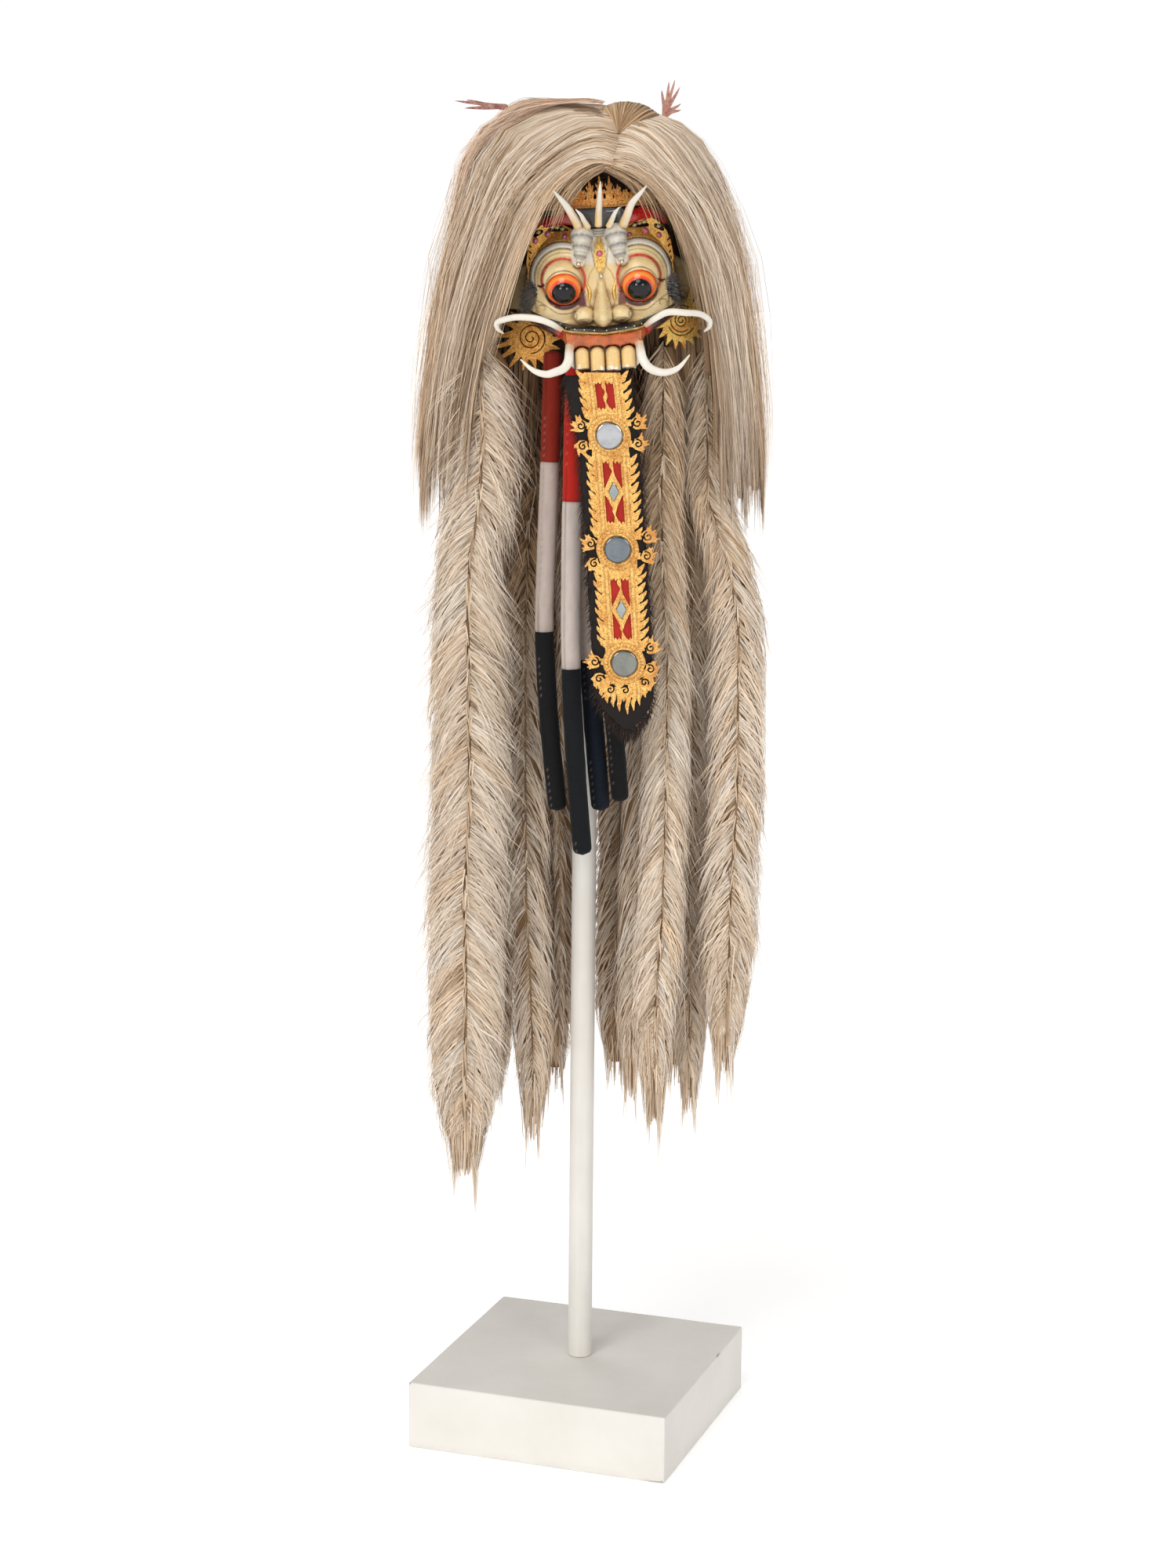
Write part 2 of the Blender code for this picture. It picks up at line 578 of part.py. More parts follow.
# ---------------------------------------------------------------- plaited locks of hair
# Each hangs from under the smooth hair: top x, y and z, middle x and y, half width, half depth, end x, end z
LOCKS = {
    "lock_left_front": (-0.1560, -0.080, 1.600, 0.028, -0.1700, -0.0760, 0.0590, 0.0480, -0.1740, 0.440),
    "lock_left_inner": (-0.0720, 0.024, 1.600, 0.018, -0.0880, 0.0300, 0.0360, 0.0360, -0.0760, 0.460),
    "lock_left_side": (-0.1520, 0.024, 1.600, 0.018, -0.1920, 0.0320, 0.0440, 0.0400, -0.1850, 0.480),
    "lock_back_1": (-0.1120, 0.090, 1.600, 0.018, -0.1400, 0.1120, 0.0440, 0.0370, -0.1350, 0.490),
    "lock_back_2": (-0.0360, 0.102, 1.600, 0.018, -0.0450, 0.1280, 0.0440, 0.0360, -0.0450, 0.510),
    "lock_back_3": (0.0420, 0.102, 1.600, 0.018, 0.0520, 0.1280, 0.0440, 0.0360, 0.0520, 0.520),
    "lock_back_4": (0.1200, 0.090, 1.600, 0.018, 0.1500, 0.1120, 0.0440, 0.0370, 0.1450, 0.520),
    "lock_right_side": (0.1760, 0.040, 1.600, 0.018, 0.2200, 0.0500, 0.0360, 0.0400, 0.2150, 0.560),
    "lock_right_outer": (0.1750, -0.040, 1.600, 0.020, 0.2180, -0.0450, 0.0440, 0.0390, 0.2130, 0.590),
    "lock_right_inner": (0.1260, 0.008, 1.600, 0.018, 0.1570, 0.0110, 0.0330, 0.0290, 0.1600, 0.510),
    "lock_right_front": (0.1100, -0.068, 1.600, 0.024, 0.1140, -0.0680, 0.0360, 0.0350, 0.1060, 0.520),
    "lock_right_back": (0.0640, 0.032, 1.600, 0.016, 0.0800, 0.0400, 0.0290, 0.0290, 0.0760, 0.520),
}
for name, (xt, yt, zt, rt, xm, ym, rw, rd, xe, ze) in LOCKS.items():
    flat = rd / rw
    rows = [
        (xt, yt, zt, 0.010),
        (xt, yt, zt - 0.045, rt),
        (xt + 0.1 * (xm - xt), yt + 0.1 * (ym - yt), 1.420, rt),
        (xt + 0.75 * (xm - xt), yt + 0.75 * (ym - yt), 1.330, 0.55 * rt + 0.45 * rw),
        (xm, ym, 1.240, 0.96 * rw),
        (xm, ym, 1.000, rw),
        (0.5 * (xm + xe), ym, 0.760, rw),
        (xe, ym, ze + 0.120, 0.86 * rw),
        (xe, ym, ze + 0.050, 0.60 * rw),
        (xe, ym, ze, 0.22 * rw),
    ]
    bevelled_path(name, rows, HAIR, 2, flat)
bevelled_path("lock_thin", [(-0.0370, 0.0600, 1.560, 0.006), (-0.0370, 0.0600, 1.300, 0.010), (-0.0380, 0.0620, 0.900, 0.011),
                            (-0.0380, 0.0620, 0.620, 0.009), (-0.0380, 0.0620, 0.560, 0.003)], HAIR, 1)
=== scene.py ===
import math

import bmesh
import bpy
import numpy as np
from mathutils import Matrix, Vector

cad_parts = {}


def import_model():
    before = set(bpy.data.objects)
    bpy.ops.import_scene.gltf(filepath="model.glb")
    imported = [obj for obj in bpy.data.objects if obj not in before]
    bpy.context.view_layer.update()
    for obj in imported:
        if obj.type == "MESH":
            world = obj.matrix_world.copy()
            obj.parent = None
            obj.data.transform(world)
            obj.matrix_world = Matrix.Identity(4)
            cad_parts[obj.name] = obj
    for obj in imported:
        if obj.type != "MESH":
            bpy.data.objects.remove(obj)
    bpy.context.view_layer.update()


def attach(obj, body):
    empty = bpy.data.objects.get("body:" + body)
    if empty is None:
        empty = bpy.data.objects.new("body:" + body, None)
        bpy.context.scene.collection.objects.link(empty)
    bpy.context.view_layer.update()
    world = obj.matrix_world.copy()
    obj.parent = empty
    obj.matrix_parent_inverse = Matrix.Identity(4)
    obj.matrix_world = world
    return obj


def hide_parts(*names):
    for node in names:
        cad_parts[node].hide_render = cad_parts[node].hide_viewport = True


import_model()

scene = bpy.context.scene

# ---------------------------------------------------------------- sizes shared with the solids
PLINTH_SIDE, PLINTH_HEIGHT, PLINTH_TURN = 0.402, 0.102, math.radians(-18.97)
POLE_R, POLE_TOP = 0.018, 1.914
EYE_MID = (0.0169, 1.7235)
MASK_ROLL = math.radians(3.5)
EYE_HALF = 0.0525
FACE_HALF_WIDTH, FACE_HALF_HEIGHT, FACE_WALL = 0.108, 0.115, 0.008
RIM_D, FACE_RISE, EAR_REACH = 0.092, 0.068, 0.136
BALL_R, LID_R, PUPIL_R = 0.0245, 0.0310, 0.0162
CAP_CENTRE, CAP_R = (0.005, 0.010, 1.810), (0.115, 0.110, 0.118)
TONGUE_D, TONGUE_TOP, TONGUE_END, FUR_END = 0.1830, 1.6000, 1.1190, 1.0900
STRIP_HALF, MIRROR_R = 0.0255, 0.0180
MIRROR_Z, DIAMOND_Z = (1.5169, 1.3582, 1.1973), (1.4390, 1.2738)
HAIR_CENTRE = (0.006, -0.020)
CR, SR = math.cos(MASK_ROLL), math.sin(MASK_ROLL)


# ---------------------------------------------------------------- numbers
def unit(v):
    return v / np.maximum(np.linalg.norm(v, axis=-1, keepdims=True), 1e-12)


def step(a, b, x):
    t = np.clip((x - a) / (b - a), 0.0, 1.0)
    return t * t * (3 - 2 * t)


TABLES = {}


def noise(x, y=0.0, seed=0):
    """Smooth noise from -1 to 1 at the given places."""
    if seed not in TABLES:
        TABLES[seed] = np.random.default_rng(seed).uniform(-1, 1, (128, 128))
    x, y = np.broadcast_arrays(np.asarray(x, float), np.asarray(y, float))
    i, j = np.floor(x).astype(int), np.floor(y).astype(int)
    u, v = x - i, y - j
    u, v = u * u * (3 - 2 * u), v * v * (3 - 2 * v)
    t = TABLES[seed]
    a, b = t[i % 128, j % 128], t[(i + 1) % 128, j % 128]
    c, d = t[i % 128, (j + 1) % 128], t[(i + 1) % 128, (j + 1) % 128]
    return (a * (1 - u) + b * u) * (1 - v) + (c * (1 - u) + d * u) * v


def smooth_path(points, count):
    """Points read at even steps from a smooth curve through the given ones, with any further columns carried."""
    p = np.asarray(points, float)
    n = len(p)
    seg = np.r_[0, np.cumsum(np.linalg.norm(np.diff(p[:, :3], axis=0), axis=1))]
    s = np.linspace(0, seg[-1], count)
    k = np.clip(np.searchsorted(seg, s, side="right") - 1, 0, n - 2)
    h = (seg[k + 1] - seg[k])[:, None]
    t = (s - seg[k])[:, None] / h
    before, after = np.maximum(k - 1, 0), np.minimum(k + 2, n - 1)
    ma = (p[k + 1] - p[before]) / (seg[k + 1] - seg[before])[:, None]
    mb = (p[after] - p[k]) / (seg[after] - seg[k])[:, None]
    t2, t3 = t * t, t * t * t
    return ((2 * t3 - 3 * t2 + 1) * p[k] + (t3 - 2 * t2 + t) * h * ma
            + (-2 * t3 + 3 * t2) * p[k + 1] + (t3 - t2) * h * mb)


# ---------------------------------------------------------------- meshes
class Heap:
    """Points and faces gathered for one piece."""

    def __init__(self):
        self.v, self.uv, self.col, self.q, self.t, self.qm, self.tm, self.n = [], [], [], [], [], [], [], 0

    def add(self, verts, quads=None, tris=None, uv=None, col=None, mat=0):
        verts = np.asarray(verts, float).reshape(-1, 3)
        n = len(verts)
        self.v.append(verts)
        self.uv.append(np.zeros((n, 2)) if uv is None else np.asarray(uv, float).reshape(-1, 2))
        c = np.ones((n, 4))
        if col is not None:
            c[:, :3] = np.asarray(col, float).reshape(-1, 3) if np.ndim(col) > 1 else np.asarray(col, float)
        self.col.append(c)
        if quads is not None and len(quads):
            self.q.append(np.asarray(quads, int) + self.n)
            self.qm.append(np.full(len(quads), mat))
        if tris is not None and len(tris):
            self.t.append(np.asarray(tris, int) + self.n)
            self.tm.append(np.full(len(tris), mat))
        self.n += n

    def build(self, name, mats, smooth=True, sharp=None, uv=False, col=False):
        v = np.concatenate(self.v)
        q = np.concatenate(self.q) if self.q else np.zeros((0, 4), int)
        t = np.concatenate(self.t) if self.t else np.zeros((0, 3), int)
        loops = np.concatenate([q.ravel(), t.ravel()]).astype(np.int32)
        starts = np.concatenate([np.arange(len(q)) * 4, len(q) * 4 + np.arange(len(t)) * 3]).astype(np.int32)
        me = bpy.data.meshes.new(name)
        me.vertices.add(len(v))
        me.vertices.foreach_set("co", v.astype(np.float32).ravel())
        me.loops.add(len(loops))
        me.loops.foreach_set("vertex_index", loops)
        me.polygons.add(len(starts))
        me.polygons.foreach_set("loop_start", starts)
        index = np.concatenate(self.qm + self.tm).astype(np.int32)
        me.polygons.foreach_set("material_index", index)
        for m in mats:
            me.materials.append(m)
        if uv:
            layer = me.uv_layers.new(name="OFBake")
            layer.uv.foreach_set("vector", np.concatenate(self.uv)[loops].astype(np.float32).ravel())
        if col:
            attribute = me.color_attributes.new("paint", "FLOAT_COLOR", "POINT")
            attribute.data.foreach_set("color", np.concatenate(self.col).astype(np.float32).ravel())
        me.update(calc_edges=True)
        if smooth:
            me.shade_smooth()
            if sharp:
                me.set_sharp_from_angle(angle=math.radians(sharp))
        ob = bpy.data.objects.new(name, me)
        scene.collection.objects.link(ob)
        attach(ob, "root")
        return ob


def grid_faces(rows, cols, close_rows=False, close_cols=False):
    i = np.arange(rows if close_rows else rows - 1)
    j = np.arange(cols if close_cols else cols - 1)
    i, j = np.meshgrid(i, j, indexing="ij")
    i2, j2 = (i + 1) % rows, (j + 1) % cols
    return np.stack([i * cols + j, i * cols + j2, i2 * cols + j2, i2 * cols + j], -1).reshape(-1, 4)


def add_tube(heap, path, radius, sides=16, flat=None, mat=0, col=None, uv=None, cap=True, up=(0, -1, 0), shape=None):
    """A closed round run along a path.  radius is one number a point.  shape(angle) changes the section."""
    path = np.asarray(path, float)
    n = len(path)
    radius = np.broadcast_to(np.asarray(radius, float), (n,))
    T = unit(np.gradient(path, axis=0))
    A = unit(np.cross(T, np.asarray(up, float)))
    B = unit(np.cross(A, T))
    ang = 2 * math.pi * np.arange(sides) / sides
    s = np.ones((n, sides)) if shape is None else shape
    off = (A[:, None] * np.cos(ang)[None, :, None] * 1.0 + B[:, None] * np.sin(ang)[None, :, None] * (1.0 if flat is None else flat))
    V = path[:, None] + off * (radius[:, None] * s)[..., None]
    V = V.reshape(-1, 3)
    quads = grid_faces(n, sides, close_cols=True)
    tris = None
    if cap:
        V = np.vstack([V, path[0], path[-1]])
        j = np.arange(sides)
        k = (j + 1) % sides
        first = np.stack([np.full(sides, n * sides), k, j], 1)
        last = np.stack([np.full(sides, n * sides + 1), (n - 1) * sides + j, (n - 1) * sides + k], 1)
        tris = np.vstack([first, last])
    if col is not None and np.ndim(col) == 3:
        col = np.asarray(col).reshape(-1, 3)
        if cap:
            col = np.vstack([col, col[0], col[-1]])
    if uv is not None:
        uv = np.asarray(uv).reshape(-1, 2)
        if cap:
            uv = np.vstack([uv, uv[0], uv[-1]])
    heap.add(V, quads[:, ::-1], tris[:, ::-1] if tris is not None else None, uv=uv, col=col, mat=mat)


def add_ball(heap, centre, radius, axis=(0, -1, 0), rings=7, sides=12, col=None, mat=0, squash=1.0, half=False):
    """A small bead, gem or dome.  axis is its own up."""
    axis = unit(np.asarray(axis, float))
    helper = np.array([0, 0, 1.0]) if abs(axis[2]) < 0.9 else np.array([1.0, 0, 0])
    a = unit(np.cross(helper, axis))
    b = np.cross(axis, a)
    low = 0.0 if half else -math.pi / 2
    lat = np.linspace(low, math.pi / 2, rings)
    lon = 2 * math.pi * np.arange(sides) / sides
    V = (np.cos(lat)[:, None, None] * (np.cos(lon)[None, :, None] * a + np.sin(lon)[None, :, None] * b)
         + np.sin(lat)[:, None, None] * axis * squash)
    V = np.asarray(centre) + radius * V.reshape(-1, 3)
    heap.add(V, grid_faces(rings, sides, close_cols=True), col=col, mat=mat)


def ribbon(heap, P, N, W, tone, hue, tilt=0.0, mat=0):
    """Flat tapering strands: P (strands, points, 3), N outward, W half widths; tone and hue choose the colour."""
    S, K, _ = P.shape
    P = P.copy()
    P[..., 0] = np.where(P[..., 0] > 0.262, 0.262 + 0.40 * (P[..., 0] - 0.262), P[..., 0])
    P[..., 0] = np.where(P[..., 0] < -0.254, -0.254 + 0.40 * (P[..., 0] + 0.254), P[..., 0])
    T = unit(np.gradient(P, axis=1))
    side = unit(np.cross(T, N))
    out = np.cross(side, T)
    tilt = np.broadcast_to(np.asarray(tilt, float).reshape(-1, 1, 1) if np.ndim(tilt) else tilt, (S, 1, 1))
    side = side * np.cos(tilt) + out * np.sin(tilt)
    W = np.broadcast_to(W, (S, K))[..., None]
    V = np.stack([P - side * W, P + side * W], 2).reshape(-1, 3)
    base = (np.arange(S)[:, None] * 2 * K + 2 * np.arange(K - 1)[None]).ravel()
    tone = np.broadcast_to(tone, (S, K)) + 0.020 * np.linspace(-1, 1, K)[None]
    hue = np.broadcast_to(hue, (S, K))
    u = np.clip(np.stack([tone, tone], 2), 0.02, 0.98)
    v = np.clip(np.stack([hue - 0.012, hue + 0.012], 2), 0.01, 0.99)
    heap.add(V, np.stack([base, base + 1, base + 3, base + 2], 1), uv=np.stack([u, v], -1), mat=mat)


# ---------------------------------------------------------------- materials
class Shader:
    def __init__(self, name, **values):
        self.m = bpy.data.materials.new(name)
        self.m.use_nodes = True
        self.nt = self.m.node_tree
        self.b = self.nt.nodes["Principled BSDF"]
        self.set(**values)

    def set(self, **values):
        for k, v in values.items():
            s = self.b.inputs[k.replace("_", " ")]
            s.default_value = (*v, 1.0) if isinstance(v, tuple) and len(v) == 3 and s.type == "RGBA" else v

    def node(self, kind, links=None, values=None, **props):
        n = self.nt.nodes.new(kind)
        for k, v in props.items():
            setattr(n, k, v)
        for k, v in (values or {}).items():
            n.inputs[k].default_value = v
        for k, v in (links or {}).items():
            self.nt.links.new(v, n.inputs[k])
        return n

    def to(self, socket, output):
        self.nt.links.new(output, self.b.inputs[socket])

    def place(self, scale=(1, 1, 1)):
        """Object coordinates, stretched."""
        tc = self.node("ShaderNodeTexCoord")
        mp = self.node("ShaderNodeMapping", {"Vector": tc.outputs["Object"]}, {"Scale": scale})
        return mp.outputs[0]

    def grain(self, scale, detail=3.0, rough=0.55, stretch=(1, 1, 1), distortion=0.0):
        return self.node("ShaderNodeTexNoise", {"Vector": self.place(stretch)},
                         {"Scale": scale, "Detail": detail, "Roughness": rough, "Distortion": distortion}).outputs["Fac"]

    def ramp(self, factor, stops, mode="LINEAR"):
        r = self.node("ShaderNodeValToRGB", {"Fac": factor})
        r.color_ramp.interpolation = mode
        while len(r.color_ramp.elements) < len(stops):
            r.color_ramp.elements.new(0.5)
        for e, (p, c) in zip(r.color_ramp.elements, stops):
            e.position = p
            e.color = (*c, 1.0) if len(c) == 3 else c
        return r.outputs["Color"]

    def grey(self, factor, low, high, a=0.0, b=1.0):
        r = self.node("ShaderNodeMapRange", {"Value": factor},
                      {"From Min": a, "From Max": b, "To Min": low, "To Max": high})
        return r.outputs["Result"]

    def mix(self, factor, a, b, blend="MIX"):
        n = self.node("ShaderNodeMix", data_type="RGBA", blend_type=blend)
        for socket, value in ((n.inputs[0], factor), (n.inputs[6], a), (n.inputs[7], b)):
            if isinstance(value, bpy.types.NodeSocket):
                self.nt.links.new(value, socket)
            else:
                socket.default_value = value if not isinstance(value, tuple) or len(value) == 4 else (*value, 1.0)
        return n.outputs[2]

    def math(self, op, a, b=0.5):
        n = self.node("ShaderNodeMath", operation=op)
        for i, value in enumerate((a, b)):
            if isinstance(value, bpy.types.NodeSocket):
                self.nt.links.new(value, n.inputs[i])
            else:
                n.inputs[i].default_value = value
        return n.outputs[0]

    def paint(self):
        return self.node("ShaderNodeAttribute", attribute_name="paint").outputs["Color"]

    def bump(self, height, strength=0.3, distance=0.001, normal=None):
        n = self.node("ShaderNodeBump", {"Height": height}, {"Strength": strength, "Distance": distance})
        if normal is not None:
            self.nt.links.new(normal, n.inputs["Normal"])
        self.to("Normal", n.outputs[0])
        return n.outputs[0]


def hair_material(name, ramp, cool, warm, rough, pink=(1.10, 0.90, 0.84), level=0.35, sheen=0.10):
    s = Shader(name, Roughness=rough, Specular_IOR_Level=level, Sheen_Weight=sheen, Sheen_Roughness=0.4)
    uv = s.node("ShaderNodeUVMap", uv_map="OFBake").outputs[0]
    xyz = s.node("ShaderNodeSeparateXYZ", {"Vector": uv})
    tone = s.ramp(xyz.outputs["X"], ramp)
    hue = s.ramp(xyz.outputs["Y"], [(0.0, cool), (0.82, warm), (0.92, pink)])
    s.to("Base Color", s.mix(1.0, tone, hue, "MULTIPLY"))
    fine = s.grain(900.0, 2.0, 0.6, (1, 1, 0.12))
    s.to("Roughness", s.grey(fine, rough - 0.08, rough + 0.10, 0.3, 0.7))
    s.bump(fine, 0.25, 0.0006)
    return s.m


PALE_HAIR = hair_material("pale_hair", [(0.0, (0.040, 0.022, 0.012)), (0.22, (0.120, 0.072, 0.038)), (0.45, (0.310, 0.215, 0.130)),
                                        (0.70, (0.560, 0.440, 0.315)), (1.0, (0.820, 0.720, 0.590))],
                          (0.99, 1.03, 1.12), (1.09, 0.87, 0.60), 0.46)
DARK_FUR = hair_material("dark_fur", [(0.0, (0.003, 0.002, 0.002)), (0.5, (0.012, 0.007, 0.005)), (1.0, (0.060, 0.034, 0.024))],
                         (1.0, 1.0, 1.0), (1.1, 0.9, 0.8), 0.50, (1.1, 0.9, 0.8), 0.22, 0.0)


def white_paint():
    s = Shader("white_paint", Specular_IOR_Level=0.4)
    broad = s.grain(7.0, 4.0, 0.6)
    fine = s.grain(160.0, 3.0, 0.6)
    base = s.ramp(broad, [(0.35, (0.655, 0.628, 0.580)), (0.65, (0.705, 0.680, 0.636))])
    scuff = s.grain(34.0, 6.0, 0.72, (1, 1, 3.5), 0.6)
    base = s.mix(s.grey(scuff, 0.0, 0.22, 0.66, 0.76), base, (0.50, 0.455, 0.40))
    s.to("Base Color", s.mix(1.0, s.paint(), base, "MULTIPLY"))
    s.to("Roughness", s.grey(fine, 0.42, 0.62, 0.3, 0.7))
    s.bump(fine, 0.18, 0.0006)
    return s.m


WHITE = white_paint()

# ---------------------------------------------------------------- camera, floor and light
cam = bpy.data.cameras.new("camera")
cam.sensor_width, cam.lens, cam.clip_start, cam.clip_end = 36.0, 70.459, 0.1, 200.0
camera = bpy.data.objects.new("camera", cam)
scene.collection.objects.link(camera)
camera.matrix_world = (Matrix.Translation((0.0047, -4.4721, 1.8091)) @ Matrix.Rotation(math.radians(90 - 10.376), 4, "X")
                       @ Matrix.Rotation(math.radians(0.526), 4, "Z"))
scene.camera = camera

heap = Heap()
radii = np.r_[0.01, np.linspace(0.4, 3.0, 14), 6.0, 15.0, 60.0]
turn = 2 * math.pi * np.arange(48) / 48
pts = np.stack([radii[:, None] * np.cos(turn), radii[:, None] * np.sin(turn), np.zeros((len(radii), 48))], -1)
pts[0] = 0.0
floor_shader = Shader("pale_floor", Roughness=0.85, Specular_IOR_Level=0.2)
floor_shader.to("Base Color", floor_shader.ramp(floor_shader.grain(3.0), [(0.3, (0.930, 0.930, 0.925)), (0.7, (0.955, 0.955, 0.950))]))
far = floor_shader.node("ShaderNodeVectorMath", {0: floor_shader.place()}, operation="LENGTH").outputs["Value"]
floor_shader.to("Emission Strength", floor_shader.grey(far, 0.33, 0.29, 0.50, 1.65))
floor_shader.set(Emission_Color=(1.0, 1.0, 1.0))
heap.add(pts, grid_faces(len(radii), 48, close_cols=True))
me = bpy.data.meshes.new("floor")
me.from_pydata([tuple(p) for p in heap.v[0]], [], [tuple(int(i) for i in f) for f in heap.q[0]])
me.materials.append(floor_shader.m)
floor = bpy.data.objects.new("floor", me)
floor.location = (0, 0, -0.0005)
scene.collection.objects.link(floor)

world = bpy.data.worlds.new("studio")
scene.world = world
world.use_nodes = True
wn = world.node_tree
back = wn.nodes["Background"]
tc = wn.nodes.new("ShaderNodeTexCoord")
sep = wn.nodes.new("ShaderNodeSeparateXYZ")
wn.links.new(tc.outputs["Generated"], sep.inputs[0])
band = wn.nodes.new("ShaderNodeMapRange")
for k, v in {"From Min": 0.14, "From Max": 0.45, "To Min": 1.02, "To Max": 0.36}.items():
    band.inputs[k].default_value = v
wn.links.new(sep.outputs["Z"], band.inputs["Value"])
wn.links.new(band.outputs[0], back.inputs["Strength"])
back.inputs["Color"].default_value = (1.0, 1.0, 1.0, 1.0)

for azimuth, elevation, power, spread in ((-30, 22, 0.66, 19), (29, 20, 0.44, 19), (-22, 55, 1.05, 34), (-150, 50, 0.40, 30)):
    lamp = bpy.data.lights.new("softbox", "SUN")
    lamp.energy, lamp.angle = power, math.radians(spread)
    lamp.color = (1.0, 0.985, 0.965)
    ob = bpy.data.objects.new("softbox", lamp)
    a, e = math.radians(azimuth), math.radians(elevation)
    away = Vector((math.sin(a) * math.cos(e), -math.cos(a) * math.cos(e), math.sin(e)))
    ob.rotation_mode = "QUATERNION"
    ob.rotation_quaternion = away.to_track_quat("Z", "Y")
    scene.collection.objects.link(ob)

scene.view_settings.view_transform = "Standard"
scene.view_settings.look = "None"
scene.view_settings.exposure = 0.0

# ---------------------------------------------------------------- plinth and pole
half = np.array([PLINTH_SIDE / 2, PLINTH_SIDE / 2, PLINTH_HEIGHT / 2])
EDGE = 0.0026
# Small losses of paint at the edges: place on the box in its own axes, size
CHIPS = ((-1.0, -1.0, 1.0, 0.0035), (0.985, -1.0, -1.0, 0.0042), (0.90, -1.0, -1.0, 0.0034), (0.97, -1.0, -0.30, 0.0022),
         (0.62, -1.0, 0.98, 0.0016), (1.0, 0.35, 1.0, 0.0018), (-0.40, 1.0, 1.0, 0.0030), (-1.0, 0.55, -1.0, 0.0032))


def fine_steps(h, count):
    inner = np.linspace(-(h - 0.006), h - 0.006, count)
    edge = np.array([0.006, 0.004, 0.0026, 0.0016, 0.0008, 0.0])
    return np.r_[-h + edge[::-1][:-1], inner, h - edge[1:]]


heap = Heap()
for axis in range(3):
    for sign in (-1, 1):
        i, j = [k for k in range(3) if k != axis]
        a, b = fine_steps(half[i], 32 if i < 2 else 14), fine_steps(half[j], 32 if j < 2 else 14)
        A, B = np.meshgrid(a, b, indexing="ij")
        p = np.zeros((*A.shape, 3))
        p[..., i], p[..., j], p[..., axis] = A, B, sign * half[axis]
        q = np.clip(p, -(half - EDGE), half - EDGE)
        n = unit(p - q)
        p = q + n * EDGE
        tint = np.ones((*A.shape, 3))
        for cx, cy, cz, size in CHIPS:
            c = np.array([cx, cy, cz]) * (half - 0.0008)
            d = np.linalg.norm(p - c, axis=-1) + 0.0007 * noise(p[..., 0] * 900, p[..., 1] * 900 + p[..., 2] * 700, 3)
            bite = 1 - step(size * 0.45, size, d)
            p = p - n * (bite * size * 0.30)[..., None]
            tint = tint * (1 - bite[..., None] * np.array([0.62, 0.68, 0.74]))
        wave = 0.00018 * noise(p[..., 0] * 18 + p[..., 2] * 9, p[..., 1] * 18 + p[..., 2] * 7, 5)
        p = p + n * wave[..., None]
        low = 1 - 0.10 * (1 - step(-0.051, -0.040, p[..., 2])) * (0.6 + 0.4 * noise(p[..., 0] * 40 + p[..., 1] * 40, 0, 6))
        tint = tint * low[..., None]
        f = grid_faces(*A.shape)
        right_handed = (axis, i, j) in ((0, 1, 2), (2, 0, 1))
        heap.add(p, f if right_handed != (sign > 0) else f[:, ::-1], col=tint.reshape(-1, 3))
plinth = heap.build("plinth_board", [WHITE], sharp=50, col=True)
bm = bmesh.new()
bm.from_mesh(plinth.data)
bmesh.ops.remove_doubles(bm, verts=bm.verts, dist=0.00005)
bmesh.ops.recalc_face_normals(bm, faces=bm.faces)
bm.to_mesh(plinth.data)
bm.free()
plinth.data.transform(Matrix.Translation((0, 0, PLINTH_HEIGHT / 2)) @ Matrix.Rotation(PLINTH_TURN, 4, "Z"))
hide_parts("plinth")

heap = Heap()
zs = np.r_[PLINTH_HEIGHT + 0.0005, PLINTH_HEIGHT + 0.0012, np.linspace(0.112, POLE_TOP - 0.004, 120), POLE_TOP - 0.001, POLE_TOP]
path = np.stack([np.zeros_like(zs), np.zeros_like(zs), zs], 1)
rad = np.full(len(zs), POLE_R)
rad[[0, -1]] = POLE_R - 0.0010
rad[[-2]] = POLE_R - 0.0003
ang = np.arange(48)
shape = 1 + 0.004 * noise(zs[:, None] * 6, ang[None] / 6.0, 8) + 0.0022 * noise(zs[:, None] * 40, ang[None] / 3.0, 9)
tint = 1 - 0.05 * np.abs(noise(zs[:, None] * 25, ang[None] / 4.0, 10))[..., None] * np.ones(3)
add_tube(heap, path, rad, 48, shape=shape, col=tint)
pole = heap.build("round_pole", [WHITE], sharp=50, col=True)
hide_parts("pole")

# ---------------------------------------------------------------- smooth hair over the head
# Rows down the hair: height, outer half width, forward share of it, half angles of the opening for the face, left and right
HAIR_ROWS = np.array((
    (1.9560, 0.022, 1.00, 3, 3), (1.9740, 0.060, 1.00, 2, 2), (1.9660, 0.104, 1.00, 1, 1), (1.9440, 0.138, 1.00, 1, 1),
    (1.9050, 0.164, 1.00, 3, 7), (1.8750, 0.177, 1.00, 18, 26), (1.8450, 0.187, 1.00, 26, 36), (1.7950, 0.199, 0.92, 31, 41),
    (1.7350, 0.212, 0.80, 37, 45), (1.6750, 0.223, 0.68, 38, 47), (1.6050, 0.234, 0.62, 45, 47), (1.5350, 0.243, 0.60, 45, 45),
    (1.4650, 0.247, 0.60, 44, 43), (1.4000, 0.245, 0.60, 46, 46),
))
LAST = len(HAIR_ROWS) - 1


